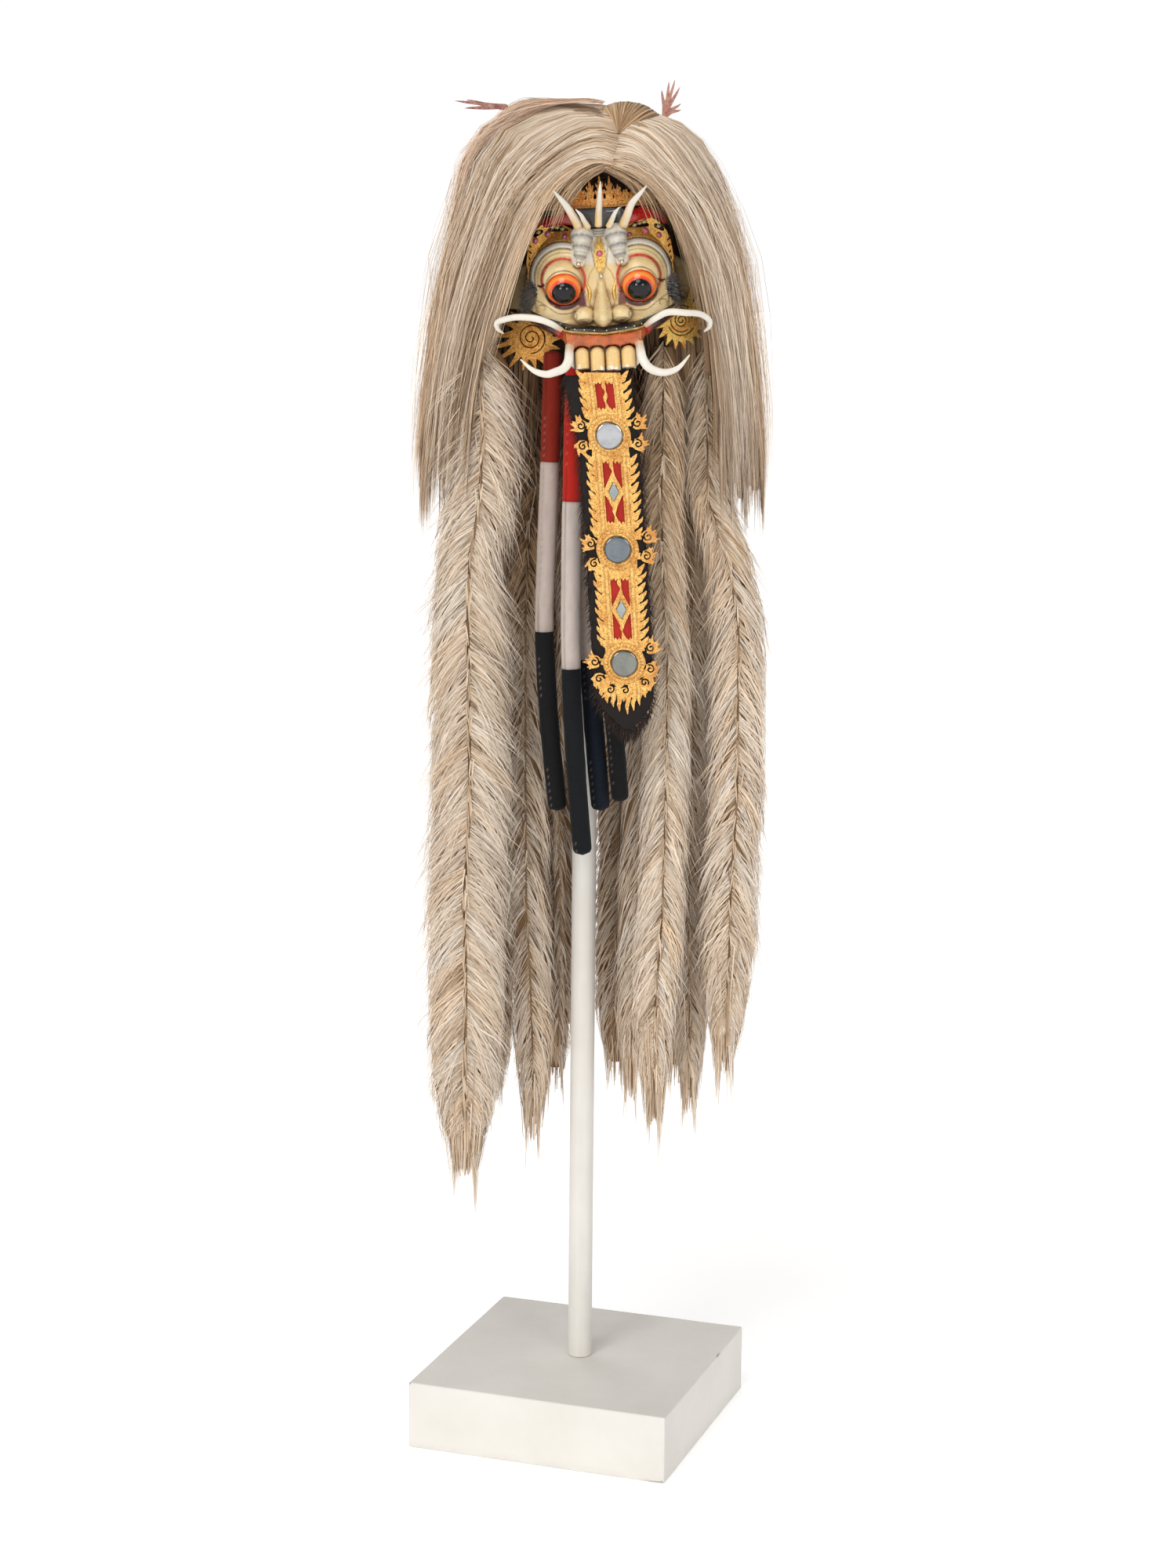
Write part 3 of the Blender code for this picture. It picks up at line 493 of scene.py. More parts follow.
def row_at(t, column):
    """One column of the rows, read smoothly at t; past the last row it runs straight on."""
    col = HAIR_ROWS[:, column]
    k = np.clip(np.floor(t).astype(int), 0, LAST - 1)
    u = np.minimum(t, LAST) - k
    p0, p1, p2, p3 = col[np.maximum(k - 1, 0)], col[k], col[k + 1], col[np.minimum(k + 2, LAST)]
    v = 0.5 * (2 * p1 + (p2 - p0) * u + (2 * p0 - 5 * p1 + 4 * p2 - p3) * u * u + (3 * p1 - p0 - 3 * p2 + p3) * u ** 3)
    return v + np.maximum(t - LAST, 0) * ((col[LAST] - col[LAST - 1]) if column == 0 else 0.0)


def hair_low(side, t, f):
    """The hair's outer face below the crown of the head: t down the rows, f from the face's opening to the nape."""
    z, r, fore = row_at(t, 0), row_at(t, 1), row_at(t, 2)
    a0 = np.radians(row_at(t, 4 if side > 0 else 3))
    th = a0 + (math.radians(179.6) - a0) * f
    share = np.where(np.cos(th) > 0, fore, 0.88)
    x = HAIR_CENTRE[0] + side * (r * np.sin(th) + 0.0012)
    y = HAIR_CENTRE[1] - share * r * np.cos(th)
    return np.stack([x, y, z], -1)


DOME_R = np.array([0.0, 0.060, 0.104, 0.138, 0.164, 0.1735])
DOME_Z = np.array([1.9780, 1.9745, 1.9660, 1.9440, 1.9050, 1.8820])
FINE_R = np.linspace(0, 0.1735, 60)
FINE_Z = np.convolve(np.pad(np.interp(FINE_R, DOME_R, DOME_Z), 4, mode="edge"), np.ones(9) / 9, "valid")
FINE_Z = np.where(FINE_R > 0.150, np.interp(FINE_R, DOME_R, DOME_Z), FINE_Z)


def dome(x, y):
    dy = y - HAIR_CENTRE[1]
    r = np.hypot(x - HAIR_CENTRE[0], dy / np.where(dy < 0, 1.0, 0.88))
    return np.interp(r, FINE_R, FINE_Z) - 0.010 * step(-0.01, 0.06, x) * step(0.164, 0.06, r)


def parting(f):
    """Where a strand leaves the parting, which runs from the front of the head to the nape."""
    g = np.clip(f, 0, 1)
    return np.stack([np.interp(g, [0, 0.04, 0.10, 0.25, 0.6, 1], [0.030, 0.037, 0.040, 0.034, 0.010, 0.006]),
                     np.interp(g, [0, 0.04, 0.10, 0.25, 0.6, 1], [-0.186, -0.170, -0.142, -0.092, 0.0, 0.142])], -1)


JOIN_T = 4.6


def strand_points(side, f, s, t_end, drift=None):
    """Strands from the parting over the head and down.  f and t_end (strands,), s (points,) from 0 to 1."""
    S, K = len(f), len(s)
    share = 0.26
    top = s <= share
    P = np.zeros((S, K, 3))
    f2 = np.broadcast_to(f[:, None], (S, K)) if drift is None else np.clip(f[:, None] + drift, 0.0, 1.0)
    q = np.clip(s / share, 0, 1)[None, :, None]
    start = parting(f)[:, None, :]
    end3 = hair_low(side, np.full(S, JOIN_T), f2[:, int(top.sum()) - 1])
    end = end3[:, None, :2]
    push = 0.075 * (1 - 0.6 * np.clip(f, 0, 1)) * (0.10 + 0.90 * step(0.0, 0.22, f))
    control = start + np.array([side, 0.0]) * push[:, None, None] + (end - start) * 0.28
    plan = (1 - q) ** 2 * start + 2 * q * (1 - q) * control + q ** 2 * end
    z = dome(plan[..., 0], plan[..., 1])
    blend = step(0.75, 1.0, q[..., 0])
    z = z * (1 - blend) + (end3[:, None, 2] + (z - z[:, int(top.sum()) - 1: int(top.sum())])) * blend
    valley = np.exp(-((np.linalg.norm(plan - start, axis=-1) / 0.014) ** 2))
    z = z - 0.010 * valley * np.exp(-(f[:, None] / 0.5) ** 2)
    P[:, top, :2], P[:, top, 2] = plan[:, top], z[:, top]
    low = ~top
    t = JOIN_T + (t_end[:, None] - JOIN_T) * ((s[low] - share) / (1 - share))[None, :]
    P[:, low] = hair_low(side, t, f2[:, low])
    for _ in range(2):
        P[:, 1:-1] = 0.25 * P[:, :-2] + 0.5 * P[:, 1:-1] + 0.25 * P[:, 2:]
    if side < 0:
        out = step(0.03, 0.14, -P[..., 0]) * np.exp(-(((P[..., 2] - 1.905) / 0.055) ** 2))
        P[..., 0] -= 0.017 * out
        P[..., 2] += 0.012 * np.exp(-(((P[..., 0] + 0.120) / 0.045) ** 2)) * step(1.86, 1.93, P[..., 2])
    return P


def outward(P):
    """Away from the head."""
    c = np.stack([np.full(P.shape[:-1], HAIR_CENTRE[0]), np.full(P.shape[:-1], -0.005),
                  np.minimum(P[..., 2], 1.86)], -1)
    return unit(P - c)


def smooth_hair(side, seed, count_low, count_high, points):
    rng = np.random.default_rng(seed)
    tag = "left" if side < 0 else "right"
    heap = Heap()
    # A close body of hair underneath, with ridges that run down it.
    s = np.linspace(0, 1, 60)
    f = np.linspace(0, 1, 130)
    jag = 11.9 + 0.55 * noise(f * 23, 0, seed + 1) + 0.35 * noise(f * 61, 3, seed + 1) - (2.9 if side < 0 else 2.4) * step(0.16, 0.01, f)
    P = strand_points(side, f, s, jag)
    N = outward(P)
    ridge = noise(f[:, None] * 34 + 0.8 * noise(s[None] * 3, f[:, None] * 3, seed + 2), s[None] * 1.5, seed + 3)
    fine = noise(f[:, None] * 90, s[None] * 3, seed + 4)
    P = P + N * (-0.0045 + 0.0030 * ridge + 0.0010 * fine)[..., None]
    inner = P - N * 0.010
    # The body is painted darker than the strands over it, as painted shade between them. It is painted lighter on its
    # ridges, as painted light, and darker at the parting, as painted shade.
    tone = 0.38 + 0.17 * ridge + 0.10 * fine - 0.10 * np.exp(-s[None] / 0.05)
    uv = np.stack([np.clip(tone, 0.03, 0.97), np.clip(0.45 + 0.2 * fine, 0.05, 0.95)], -1)
    faces = grid_faces(130, 60)
    heap.add(P, faces if side < 0 else faces[:, ::-1], uv=uv)
    # Its inner face is painted darker still, as painted shade.
    uv2 = np.stack([np.clip(0.26 + 0.14 * ridge, 0.03, 0.97), np.clip(0.5 + 0.2 * fine, 0.05, 0.95)], -1)
    heap.add(inner, faces[:, ::-1] if side < 0 else faces, uv=uv2)
    edge = np.r_[np.arange(60), 59 + 60 * np.arange(1, 130), 129 * 60 + np.arange(58, -1, -1)]
    both = np.vstack([P.reshape(-1, 3)[edge], inner.reshape(-1, 3)[edge]])
    m = len(edge)
    k = np.arange(m - 1)
    rim = np.stack([k, k + m, k + m + 1, k + 1], 1)
    uve = np.stack([np.linspace(0.30, 0.38, 2 * m), 0.4 + 0.05 * np.sin(np.arange(2 * m))], -1)
    heap.add(both, rim if side < 0 else rim[:, ::-1], uv=uve)
    # Locks of strands over it, which draw together towards their tips.
    clumps = 120
    centre = (np.arange(clumps) + rng.uniform(0.2, 0.8, clumps)) / clumps
    centre = centre ** 1.15
    phase, rate = rng.uniform(0, 6.28, clumps), rng.uniform(2.0, 5.0, clumps)
    height, shade = rng.uniform(0, 1, clumps), rng.normal(0, 1, clumps)
    reach = rng.uniform(11.4, 13.4, clumps)
    stray_lock = rng.random(clumps) < 0.24
    height = np.where(stray_lock, 1.35, height)
    s = np.r_[np.linspace(0, 0.26, 6), np.linspace(0.26, 1, points - 5)[1:]]
    for layer, count in ((0, count_low), (1, count_high)):
        c = rng.integers(0, clumps, count)
        spread = rng.normal(0, 1, count)
        wide = 0.0075 if layer else 0.0090
        f = np.clip(centre[c] + spread * wide, 0.0, 1.0)
        t_end = reach[c] + rng.normal(0, 0.30, count) - 0.10 * np.abs(spread)
        short = rng.random(count) < 0.16
        t_end = np.where(short, rng.uniform(7.5, 12.0, count), t_end)
        front = step(0.17, 0.03, f)
        early = (10.4 if side < 0 else 12.4) + 1.0 * rng.normal(0, 1, count)
        t_end = np.where(rng.random(count) < front * (0.92 if side < 0 else 0.5), np.minimum(t_end, early), t_end)
        t_end = np.clip(t_end, 6.0, 13.75)
        close = step(0.45, 1.0, s)[None] * (0.72 if layer else 0.35)
        bend = np.where(stray_lock, 0.026, 0.011)[c][:, None]
        drift = (centre[c] - f)[:, None] * close + bend * np.sin(phase[c][:, None] + rate[c][:, None] * s[None] * 3) * step(0.1, 0.5, s)[None]
        drift = drift + 0.007 * noise(s[None] * 4, rng.uniform(0, 99, count)[:, None], seed + 6)
        P = strand_points(side, f, s, t_end, drift)
        N = outward(P)
        crown = 1 - np.clip(np.abs(spread)[:, None] / 2.6, 0, 1) ** 2
        lift = (0.0005 + 0.0045 * height[c][:, None] * crown * step(0.02, 0.25, s)[None]
                + 0.0012 * rng.random(count)[:, None] - 0.0030 * (1 - layer))
        loose = (rng.random(count) < 0.14) & (layer == 1)
        sway = noise(s[None] * 3.5, rng.uniform(0, 99, count)[:, None], seed + 7)
        lift = lift + loose[:, None] * (0.003 + 0.024 * np.abs(sway) * rng.random(count)[:, None] ** 1.5) * step(0.05, 0.4, s)[None]
        wild = (rng.random(count) < 0.035) & (layer == 1)
        lift = lift + wild[:, None] * (0.006 + 0.030 * np.abs(noise(s[None] * 2.0, rng.uniform(0, 99, count)[:, None], seed + 12))) * step(0.10, 0.60, s)[None]
        loose = loose | wild
        P = P + N * lift[..., None]
        w0 = np.where(loose, 0.00034, rng.uniform(0.00040, 0.00105, count) if layer else rng.uniform(0.0012, 0.0022, count))
        taper = np.minimum(1.0, (1.02 - s) / 0.30) ** 0.8 * (0.55 + 0.45 * step(0.0, 0.12, s))
        W = w0[:, None] * taper[None]
        # The under layer of strands is painted darker than the top layer, as painted shade between them; clumps also
        # vary in tone at random.
        tone = (0.76 if layer else 0.42) + 0.135 * shade[c][:, None] + rng.normal(0, 0.150, count)[:, None]
        # Painted shade: the front strands on the left are darker partway down, beside the ear.
        tone = tone - 0.13 * step(0.14, 0.02, f)[:, None] * step(0.40, 0.60, s)[None] * (side < 0)
        # Raised clumps are painted lighter, as painted light, and the roots at the parting darker, as painted shade.
        tone = tone + 0.07 * height[c][:, None] - 0.12 * np.exp(-s[None] / 0.03) - 0.06 * step(0.75, 1.0, s)[None] + 0.05 * noise(s[None] * 5, c[:, None] * 3.1, seed + 8)
        outer = step(0.10, 0.35, f) * step(0.95, 0.60, f)
        hue = 0.10 + (0.50 if side > 0 else 0.38) * step(0.35, 0.75, s)[None] * outer[:, None] + 0.20 * rng.random(count)[:, None] + 1.1 * np.clip(0.78 - tone, 0, 0.5)
        hue = np.minimum(hue, 0.80)
        pink = (rng.random(count) < 0.55 * step(0.20, 0.45, f)) if side < 0 else rng.random(count) < 0.04
        hue = np.where(pink[:, None] & (s[None] < 0.45), 0.955, hue)
        ribbon(heap, P, N, W, np.clip(tone, 0.05, 0.95), np.clip(hue, 0.03, 0.97), rng.normal(0, 0.45, count))
    # Finer, darker strands inside the top of the opening, and strays beside the face.
    m = int(400 * FEW)
    f = rng.uniform(-0.110, 0.004, m)
    stray = rng.random(m) < 0.42
    f = np.where(stray, 0.004 - 0.050 * rng.random(m) ** 1.6, f)
    t_end = np.where(stray, rng.uniform(7.5, 10.5, m), rng.uniform(5.2, 7.0, m))
    s = np.r_[np.linspace(0, 0.26, 4), np.linspace(0.26, 1, 8)[1:]]
    P = strand_points(side, f, s, t_end)
    sway = noise(s[None] * 3.0, rng.uniform(0, 99, m)[:, None], seed + 9)
    deep = np.where(stray, 0.001, rng.uniform(-0.024, -0.004, m))[:, None] * step(0.0, 0.2, s)[None]
    P = P + outward(P) * (deep + 0.004 * sway)[..., None]
    P[..., 0] += 0.006 * noise(s[None] * 2.5, rng.uniform(0, 99, m)[:, None], seed + 10)
    tone = np.where(stray, 0.82, 0.58)[:, None] + 0.13 * rng.normal(0, 1, m)[:, None] + 0 * s[None]
    ribbon(heap, P, outward(P), np.where(stray, 0.00030, 0.00048)[:, None] * np.minimum(1, (1.03 - s) / 0.3)[None], np.clip(tone, 0.08, 0.92), 0.30 + 0.3 * rng.random(m)[:, None] + 0 * s[None], 0.3)
    # Hair that hangs inside, behind the ears and beside the cloth tubes.
    m = int(520 * FEW)
    q = np.linspace(0, 1, 6)[None]
    x0 = side * rng.uniform(0.070, 0.172, m)[:, None]
    y0 = rng.uniform(-0.050, 0.030, m)[:, None]
    z0 = rng.uniform(1.690, 1.735, m)[:, None]
    z1 = z0 - rng.uniform(0.130, 0.270, m)[:, None]
    P = np.stack([0.004 + x0 + side * 0.010 * q + 0.006 * noise(q * 2.5, np.arange(m)[:, None] * 0.9, seed + 21),
                  y0 - 0.010 * q + 0.006 * noise(q * 2.0, np.arange(m)[:, None] * 1.1, seed + 22), z0 + (z1 - z0) * q], -1)
    N = np.broadcast_to(np.array([0.0, -1.0, 0.0]), P.shape)
    # These strands are painted darker than the outer hair, most on the left, as painted shade.
    ribbon(heap, P, N, rng.uniform(0.0008, 0.0022, m)[:, None] * np.minimum(1, (1.04 - q) / 0.4), np.clip((0.34 if side < 0 else 0.50) + 0.14 * rng.normal(0, 1, (m, 1)) + 0.06 * q, 0.08, 0.92), 0.50 + 0.3 * rng.random((m, 1)) + 0 * q, rng.normal(0, 0.5, m))
    if side > 0:
        # The gathered tuft on the top, drawn forward into the notch of the parting.
        m = int(620 * FEW)
        q = np.linspace(0, 1, 8)[None]
        a = rng.uniform(-1, 1, m)[:, None]
        root = np.stack([0.054 + 0.044 * a, 0.012 - 0.020 * a ** 2 + 0.010 * rng.normal(0, 1, (m, 1)), np.full((m, 1), 1.9540)], -1)
        tip = np.array([0.0385, -0.160, 1.9320])
        P = root + (tip - root) * q[..., None]
        bow = np.sin(math.pi * q ** 0.80)
        hump = 0.032 * np.sqrt(np.clip(1 - (a * 0.92) ** 2, 0.02, 1)) * (0.86 + 0.14 * rng.random((m, 1)))
        P[..., 2] += hump * bow - 0.0020 * q
        P[..., 0] += 0.014 * a * bow + 0.0012 * noise(q * 4, np.arange(m)[:, None] * 0.7, 191)
        P[..., 1] += -0.012 * bow
        N = unit(P - np.array([0.05, -0.055, 1.900]))
        tone = 0.57 + 0.11 * rng.normal(0, 1, (m, 1)) - 0.14 * step(0.55, 1.0, q) + 0.12 * np.abs(a)
        ribbon(heap, P, N, rng.uniform(0.0006, 0.0012, m)[:, None] * np.minimum(1, (1.05 - q) / 0.3), np.clip(tone, 0.08, 0.92), np.clip(0.62 + 0.18 * rng.random((m, 1)) + 0 * q, 0, 0.8), rng.normal(0, 0.4, m))
    else:
        # Long strands flung to the left over the crown of the head, beside the dark red strip.
        m = int(300 * FEW)
        q = np.linspace(0, 1, 9)[None]
        x1 = rng.uniform(-0.190, -0.120, m)[:, None]
        x0 = rng.uniform(-0.035, 0.020, m)[:, None]
        y = rng.uniform(-0.110, 0.030, m)[:, None]
        X = x0 + (x1 - x0) * q
        Z = dome(X, y + 0 * q) + 0.004 + 0.020 * step(0.25, 1.0, q) * rng.random((m, 1)) - 0.014 * q ** 4 * rng.random((m, 1))
        Z = np.maximum(Z, 1.972 - 0.30 * (X + 0.02) ** 2 * 4 - 0.012 * rng.random((m, 1)) - 0.030 * q ** 3)
        P = np.stack([X, y - 0.020 * q + 0.004 * noise(q * 3, np.arange(m)[:, None] * 1.3, 193), Z], -1)
        N = np.broadcast_to(np.array([0.0, -0.5, 0.85]), P.shape)
        ribbon(heap, P, N, rng.uniform(0.00035, 0.0009, m)[:, None] * np.minimum(1, (1.04 - q) / 0.5), np.clip(0.74 + 0.12 * rng.normal(0, 1, (m, 1)) + 0 * q, 0.1, 0.95), np.where(rng.random((m, 1)) < 0.7, 0.955, 0.3) + 0 * q, rng.normal(0, 0.4, m))
    ob = heap.build(f"smooth_hair_{tag}", [PALE_HAIR], uv=True)
    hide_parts(f"hair_{tag}")
    return ob


FEW = 1.0
smooth_hair(-1, 100, int(700 * FEW), int(4300 * FEW), 11)
smooth_hair(1, 200, int(700 * FEW), int(4200 * FEW), 11)

# ---------------------------------------------------------------- plaited locks
# Top x, y and z, top radius, middle x and y, half width, half depth, end x, end z
LOCKS = {
    "lock_left_front": (-0.1500, -0.080, 1.640, 0.032, -0.1700, -0.0760, 0.0590, 0.0480, -0.1740, 0.440),
    "lock_left_inner": (-0.0760, 0.024, 1.640, 0.024, -0.0880, 0.0300, 0.0360, 0.0360, -0.0760, 0.460),
    "lock_left_side": (-0.1520, 0.024, 1.600, 0.018, -0.1920, 0.0320, 0.0440, 0.0400, -0.1850, 0.480),
    "lock_back_1": (-0.1120, 0.090, 1.600, 0.018, -0.1400, 0.1120, 0.0440, 0.0370, -0.1350, 0.490),
    "lock_back_2": (-0.0360, 0.102, 1.600, 0.018, -0.0450, 0.1280, 0.0440, 0.0360, -0.0450, 0.510),
    "lock_back_3": (0.0420, 0.102, 1.600, 0.018, 0.0520, 0.1280, 0.0440, 0.0360, 0.0520, 0.520),
    "lock_back_4": (0.1200, 0.090, 1.600, 0.018, 0.1500, 0.1120, 0.0440, 0.0370, 0.1450, 0.520),
    "lock_right_side": (0.1760, 0.040, 1.600, 0.018, 0.2200, 0.0500, 0.0360, 0.0400, 0.2150, 0.560),
    "lock_right_outer": (0.1680, -0.040, 1.640, 0.028, 0.2180, -0.0450, 0.0440, 0.0390, 0.2130, 0.590),
    "lock_right_inner": (0.1260, 0.008, 1.640, 0.026, 0.1570, 0.0110, 0.0330, 0.0290, 0.1600, 0.510),
    "lock_right_front": (0.1060, -0.068, 1.640, 0.026, 0.1140, -0.0680, 0.0360, 0.0350, 0.1060, 0.520),
    "lock_right_back": (0.0680, 0.032, 1.640, 0.022, 0.0800, 0.0400, 0.0290, 0.0290, 0.0760, 0.520),
}


def lock_rows(xt, yt, zt, rt, xm, ym, rw, rd, xe, ze):
    return np.array([
        (xt, yt, zt, 0.012), (xt, yt, zt - 0.035, rt), (xt + 0.1 * (xm - xt), yt + 0.1 * (ym - yt), 1.420, rt),
        (xt + 0.75 * (xm - xt), yt + 0.75 * (ym - yt), 1.330, 0.55 * rt + 0.45 * rw), (xm, ym, 1.240, 0.96 * rw),
        (xm, ym, 1.000, rw), (0.5 * (xm + xe), ym, 0.760, rw), (xe, ym, ze + 0.120, 0.86 * rw),
        (xe, ym, ze + 0.050, 0.60 * rw), (xe, ym, ze, 0.22 * rw),
    ])


def plait(name, rows, depth, seed, count, top_gain=1.0, tuft=0.0135, length=(0.070, 0.125), shade=0.0):
    """A feathery plait: strands leave its spine in pairs of tufts, slant down and outwards and droop."""
    rng = np.random.default_rng(seed)
    rows = rows[::-1]
    z_low, z_high = rows[0, 2], rows[-1, 2]

    def centre(z):
        sway = 0.004 * noise(z * 6, seed * 1.7, seed)
        return np.stack([np.interp(z, rows[:, 2], rows[:, 0]) + sway, np.interp(z, rows[:, 2], rows[:, 1]), z], -1)

    def half_width(z):
        r = np.interp(z, rows[:, 2], rows[:, 3])
        return r * (1 + (top_gain - 1) * step(1.30, 1.45, z))

    heap = Heap()
    zs = np.linspace(z_high - 0.004, z_low + 0.012, 90)
    C = centre(zs)
    sides = 20
    ang = 2 * math.pi * np.arange(sides) / sides
    rw = half_width(zs) * 0.74
    chevron = np.sin((zs[:, None] + 0.020 * np.abs(np.cos(ang))[None]) * 2 * math.pi / tuft)
    bulge = 1 + 0.05 * chevron + 0.06 * noise(zs[:, None] * 50, ang[None] * 3, seed + 1)
    V = C[:, None] + np.stack([np.cos(ang)[None] * rw[:, None] * bulge, -np.sin(ang)[None] * (rw * depth)[:, None] * bulge,
                               np.zeros((90, sides))], -1)
    # The core is painted darker than the strands over it, as painted shade between them; shade darkens its upper part,
    # as painted shade.
    tone = 0.42 + 0.03 * chevron + 0.08 * noise(zs[:, None] * 60, ang[None] * 5, seed + 2)
    tone = tone - 0.6 * shade * step(1.12, 1.42, zs)[:, None]
    hue = 0.6 + 0.15 * noise(zs[:, None] * 30, ang[None] * 2, seed + 3)
    V = np.vstack([V.reshape(-1, 3), C[0], C[-1]])
    uv = np.stack([np.clip(tone, 0.03, 0.9), hue], -1).reshape(-1, 2)
    uv = np.vstack([uv, [[0.2, 0.7], [0.2, 0.71]]])
    j = np.arange(sides)
    k = (j + 1) % sides
    caps = np.vstack([np.stack([np.full(sides, 90 * sides), j, k], 1), np.stack([np.full(sides, 90 * sides + 1), 89 * sides + k, 89 * sides + j], 1)])
    heap.add(V, grid_faces(90, sides, close_cols=True)[:, ::-1], caps[:, ::-1], uv=uv)

    n = count
    rows_of = int((z_high - z_low - 0.05) / tuft)
    step_i = rng.integers(0, rows_of, n)
    side = rng.choice((-1.0, 1.0), n)
    face = np.where(rng.random(n) < 0.62, 0.0, math.pi)       # which spine: the front one or the back one
    key = (step_i * 4 + (side > 0) * 2 + (face > 1)).astype(int)
    table = rng.normal(0, 1, (key.max() + 1, 6))
    own = table[key]
    z0 = z_high - 0.010 - step_i * tuft + 0.0090 * rng.normal(0, 1, n) + 0.0042 * own[:, 5] - (side > 0) * tuft * 0.5
    L = rng.uniform(*length, n) * (1 + 0.10 * own[:, 0])
    fan = rng.uniform(0, 1, n)                                # how far round and out a strand of the tuft goes
    K = 5
    q = np.linspace(0, 1, K)[None]
    reach = np.radians(70 + 10 * own[:, 1] + 30 * (fan - 0.5))[:, None]
    turn = (1.22 * q - 0.22 * q * q)
    psi = face[:, None] + (side * np.where(face > 1, -1, 1))[:, None] * (0.05 + reach * turn)
    z = z0[:, None] - L[:, None] * (0.75 * q + 0.25 * q * q) * (1.0 - 0.25 * (fan[:, None] - 0.5))
    rho = 0.80 + 0.10 * fan[:, None] + (0.10 + 0.06 * own[:, 2:3]) * q + 0.05 * np.sin(q * 3.1) + 0.03 * rng.normal(0, 1, n)[:, None] * q
    loose = rng.random(n) < 0.30
    rho = rho + loose[:, None] * (0.04 + 0.62 * rng.random(n)[:, None] ** 1.8) * q ** 1.4
    z_in = np.clip(z, z_low + 0.012, z_high)
    rw = np.maximum(half_width(z_in), 0.010)
    C = centre(z_in)
    C[..., 2] = z
    P = C + np.stack([np.sin(psi) * rw * rho, -np.cos(psi) * rw * depth * rho, np.zeros_like(z)], -1)
    N = unit(np.stack([np.sin(psi) / 1.0, -np.cos(psi) / depth, 0.15 + np.zeros_like(z)], -1))
    w0 = np.where(loose, 0.00038, rng.uniform(0.00045, 0.00125, n))
    W = w0[:, None] * np.minimum(1.0, (1.04 - q) / 0.45) ** 0.9 * (0.7 + 0.3 * np.minimum(1, q / 0.2))
    # Strands that fan further out, and their middles that bow outwards, are painted lighter, as painted light; their
    # roots by the spine and strands on the back face are painted darker, as painted shade.
    tone = 0.85 + 0.050 * own[:, 3:4] + 0.130 * rng.normal(0, 1, n)[:, None] + 0.12 * (fan[:, None] - 0.35)
    tone = tone - 0.12 * np.exp(-q / 0.10) + 0.05 * np.sin(q * 3.1) - 0.10 * (face > 1)[:, None]
    hue = 0.12 + 0.10 * own[:, 4:5] + 0.16 * rng.random(n)[:, None] - 0.10 * step(0.7, 1.0, q)
    # Painted shade: shade darkens and warms the upper part of the lock, under the smooth hair.
    tone = tone - shade * step(1.12, 1.42, z)
    hue = hue + 1.6 * shade * step(1.12, 1.42, z)
    ribbon(heap, P, N, W, np.clip(tone, 0.06, 0.96), np.clip(hue, 0.03, 0.97), rng.normal(0, 0.50, n))
    # The thin cord of the plait, seen down its middle.
    m = int(n * 0.05)
    z0 = rng.uniform(z_low + 0.03, z_high - 0.02, m)
    q = np.linspace(0, 1, 4)[None]
    back = rng.random(m) < 0.4
    zz = z0[:, None] - 0.028 * q
    C = centre(zz)
    rw = half_width(zz)
    swing = (0.0022 * rng.normal(0, 1, m)[:, None] + 0.003 * (q - 0.5) * rng.choice((-1, 1), m)[:, None])
    P = C + np.stack([swing, np.where(back, 1, -1)[:, None] * rw * depth * 0.90, np.zeros_like(zz)], -1)
    N = np.broadcast_to(np.stack([np.zeros(m), np.where(back, 1.0, -1.0), np.zeros(m)], -1)[:, None], P.shape)
    ribbon(heap, P, N, 0.0011 * np.minimum(1, (1.05 - q) / 0.4), np.clip(0.62 + 0.12 * rng.normal(0, 1, m)[:, None], 0.05, 0.95), 0.30, rng.normal(0, 0.5, m))
    # The end of the lock runs out in longer, straighter strands.
    m = int(n * 0.11)
    q = np.linspace(0, 1, 5)[None]
    z0 = z_low + 0.02 + 0.17 * rng.random(m) ** 1.2
    a = rng.uniform(0, 2 * math.pi, m)[:, None]
    zz = z0[:, None] - rng.uniform(0.06, 0.15, m)[:, None] * q
    zc = np.clip(zz, z_low + 0.010, z_high)
    rw = np.maximum(half_width(zc), half_width(z0)[:, None] * (0.92 - 0.25 * q))
    rho = rng.uniform(0.35, 1.05, m)[:, None] * (1.0 - 0.15 * q)
    C = centre(zc)
    C[..., 2] = np.maximum(zz, z_low - 0.028 + 0.085 * rng.random(m)[:, None] ** 1.5)
    P = C + np.stack([np.cos(a) * rw * rho, -np.sin(a) * rw * depth * rho, np.zeros_like(zz)], -1)
    P[..., 2] += 0.002 * q * rng.normal(0, 1, m)[:, None]
    N = unit(np.stack([np.cos(a), -np.sin(a), np.full_like(a, 0.1)], -1)) + np.zeros_like(P)
    ribbon(heap, P, N, 0.0009 * np.minimum(1, (1.03 - q) / 0.7), np.clip(0.70 + 0.13 * rng.normal(0, 1, m)[:, None], 0.05, 0.95), 0.35, rng.normal(0, 0.5, m))
    ob = heap.build(f"plaited_{name}", [PALE_HAIR], uv=True)
    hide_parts(name)
    return ob


